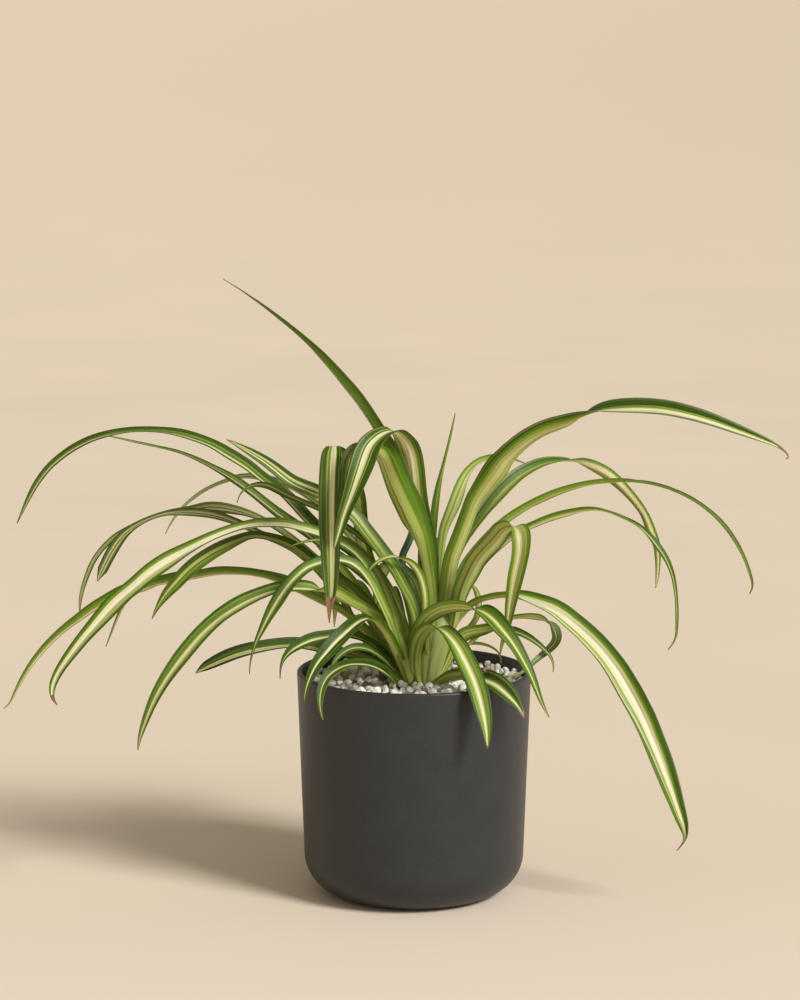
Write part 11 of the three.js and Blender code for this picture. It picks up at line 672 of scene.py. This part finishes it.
def near_ok(x, y, z, s):
    cx, cy = int(x // 5), int(y // 5)
    for i in range(cx - 1, cx + 2):
        for j in range(cy - 1, cy + 2):
            for (a, b, c, d) in cells.get((i, j), ()):
                if (a - x) ** 2 + (b - y) ** 2 + ((c - z) * 1.15) ** 2 < ((d + s) * 0.80) ** 2:
                    return False
    return True


for layer, (z0, tries) in enumerate(((119.4, 2600), (122.4, 3600), (125.2, 5600), (127.6, 3200))):
    for _ in range(tries):
        s = float(np.clip(prng.lognormal(1.04, 0.20), 1.8, 4.0))
        rr = 66.0 * math.sqrt(prng.uniform()); a = prng.uniform(0, 2 * math.pi)
        if rr > 66.4 - s:
            continue
        x, y = rr * math.cos(a), rr * math.sin(a)
        if any((x - c) ** 2 + (y - d) ** 2 < (e + s * 0.8) ** 2 for c, d, e in CROWN_SPOTS):
            continue
        z = z0 + prng.uniform(-0.8, 0.7) + 1.6 * max(0.0, (rr - 48.0) / 18.0)
        if not near_ok(x, y, z, s):
            continue
        cells.setdefault((int(x // 5), int(y // 5)), []).append((x, y, z, s))
        w = grain(gv, s, prng) + np.array([x, y, z])
        kind = prng.uniform()
        PV.append(w); PF += [tuple(i + nv for i in f) for f in gf]; nv += len(w)
        PT.append(np.full(len(w), kind)); PS.append(np.full(len(w), prng.uniform(0, 40)))
PV = np.concatenate(PV); PT = np.concatenate(PT); PS = np.concatenate(PS)
peb = new_mesh("pebbles", PV * MM, PF, dict(kind=PT, seed=PS), smooth=False)
print("pebbles", len(PV) // len(gv))
m = Nodes("pebble_stone")
kind, seed = m.attr("kind"), m.attr("seed")
tc = m.add("ShaderNodeTexCoord").outputs["Object"]
n1 = m.noise(tc, 420.0, 4.0, 0.6)
n2 = m.noise(tc, 1800.0, 3.0, 0.6)
col = m.ramp(kind, [(0.0, srgb(112, 94, 68)), (0.06, srgb(140, 122, 92)), (0.10, srgb(186, 178, 160)), (0.25, srgb(214, 209, 197)), (0.5, srgb(229, 225, 215)), (0.75, srgb(238, 235, 227)), (1.0, srgb(246, 244, 238))])
col = m.mix(m.remap(n1, 0.45, 0.75, 0, 0.45), col, m.mix(0.35, col, srgb(176, 164, 138)))
m.link(col, m.bsdf.inputs["Base Color"])
m.link(m.math("MULTIPLY_ADD", n1, 0.2, 0.5), m.bsdf.inputs["Roughness"])
m.bump(m.math("ADD", n1, m.math("MULTIPLY", n2, 0.4)), 0.6, 0.0004)
peb.data.materials.append(m.mat)
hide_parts("pebble_layer")
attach(peb, "root")

# ------------------------------------------------------------------ floor and backdrop
prof = [(0.0, -0.0002)] + [(r, -0.0002) for r in np.linspace(0.3, 2.6, 9)]
prof += [(r, -0.0002 + 0.35 * ((r - 2.6) / 3.0) ** 2) for r in np.linspace(2.6, 8.6, 49)[1:]]
V, F = revolve(prof, 96)
floor = new_mesh("studio_floor", V, F)
m = Nodes("paper_beige")
tc = m.add("ShaderNodeTexCoord").outputs["Object"]
xyz = m.add("ShaderNodeSeparateXYZ")
m.link(tc, xyz.inputs[0])
far = m.add("ShaderNodeVectorMath", operation="LENGTH")
m.link(tc, far.inputs[0])
n1 = m.noise(tc, 3.0, 2.0)
n2 = m.noise(tc, 160.0, 3.0)
col = m.mix(m.remap(n1, 0.3, 0.7, 0, 1), srgb(*(221, 205, 182)), srgb(*(225, 208, 186)))
# painted light: the floor is painted lighter and less saturated towards the front (negative y), as if the front were
# more brightly lit
col = m.mix(m.remap(xyz.outputs[1], 0.10, -0.45, 0, 1, True), col, srgb(*(228, 214, 196)))
# painted shade: from 2 m outward the floor and the rising backdrop are painted darker, standing in for light falling
# off with distance
col = m.mix(m.remap(far.outputs["Value"], 2.0, 6.4, 0, 1, True), col, srgb(*(210, 193, 172)))
m.link(col, m.bsdf.inputs["Base Color"])
m.bsdf.inputs["Roughness"].default_value = 0.9
m.bsdf.inputs["Specular IOR Level"].default_value = 0.15
m.bump(n2, 0.1, 0.0002)
floor.data.materials.append(m.mat)

# ------------------------------------------------------------------ light
def area(name, loc, target, size, power, colour, size_y=None):
    d = bpy.data.lights.new(name, "AREA")
    d.energy = power
    d.color = colour
    d.shape = "RECTANGLE" if size_y else "SQUARE"
    d.size = size
    if size_y:
        d.size_y = size_y
    o = bpy.data.objects.new(name, d)
    o.location = loc
    v = Vector(target) - Vector(loc)
    o.rotation_euler = v.to_track_quat("-Z", "Y").to_euler()
    bpy.context.scene.collection.objects.link(o)
    return o


def sun(name, direction, strength, angle, colour):
    d = bpy.data.lights.new(name, "SUN")
    d.energy = strength
    d.angle = math.radians(angle)
    d.color = colour
    o = bpy.data.objects.new(name, d)
    v = Vector(direction)
    o.location = v * 3.0
    o.rotation_euler = (-v).to_track_quat("-Z", "Y").to_euler()
    bpy.context.scene.collection.objects.link(o)
    return o


sun("key", (0.75, -0.66, 0.727), 3.55, 18.0, (0.975, 0.98, 1.0))
area("front_fill", (0.5, -2.4, 1.5), (0, -0.3, 0.05), 1.6, 6.0, (0.96, 0.98, 1.0))
w = bpy.data.worlds.new("studio")
bpy.context.scene.world = w
w.use_nodes = True
w.node_tree.nodes["Background"].inputs[0].default_value = (1.0, 0.93, 0.79, 1)
w.node_tree.nodes["Background"].inputs[1].default_value = 0.37
bpy.context.scene.view_settings.view_transform = "Standard"


# ------------------------------------------------------------------ camera
cam_d = bpy.data.cameras.new("camera")
cam_d.sensor_fit = "HORIZONTAL"
cam_d.sensor_width = 36.0
cam_d.lens = 3177.2575 / 800 * 36
cam_d.clip_start = 0.05
cam_d.clip_end = 30
cam = bpy.data.objects.new("camera", cam_d)
cam.location = (-8.372 * MM, -1862.467 * MM, 524.216 * MM)
cam.rotation_euler = (math.radians(90 - 8.75), 0, 0)
bpy.context.scene.collection.objects.link(cam)
bpy.context.scene.camera = cam

bpy.context.view_layer.update()
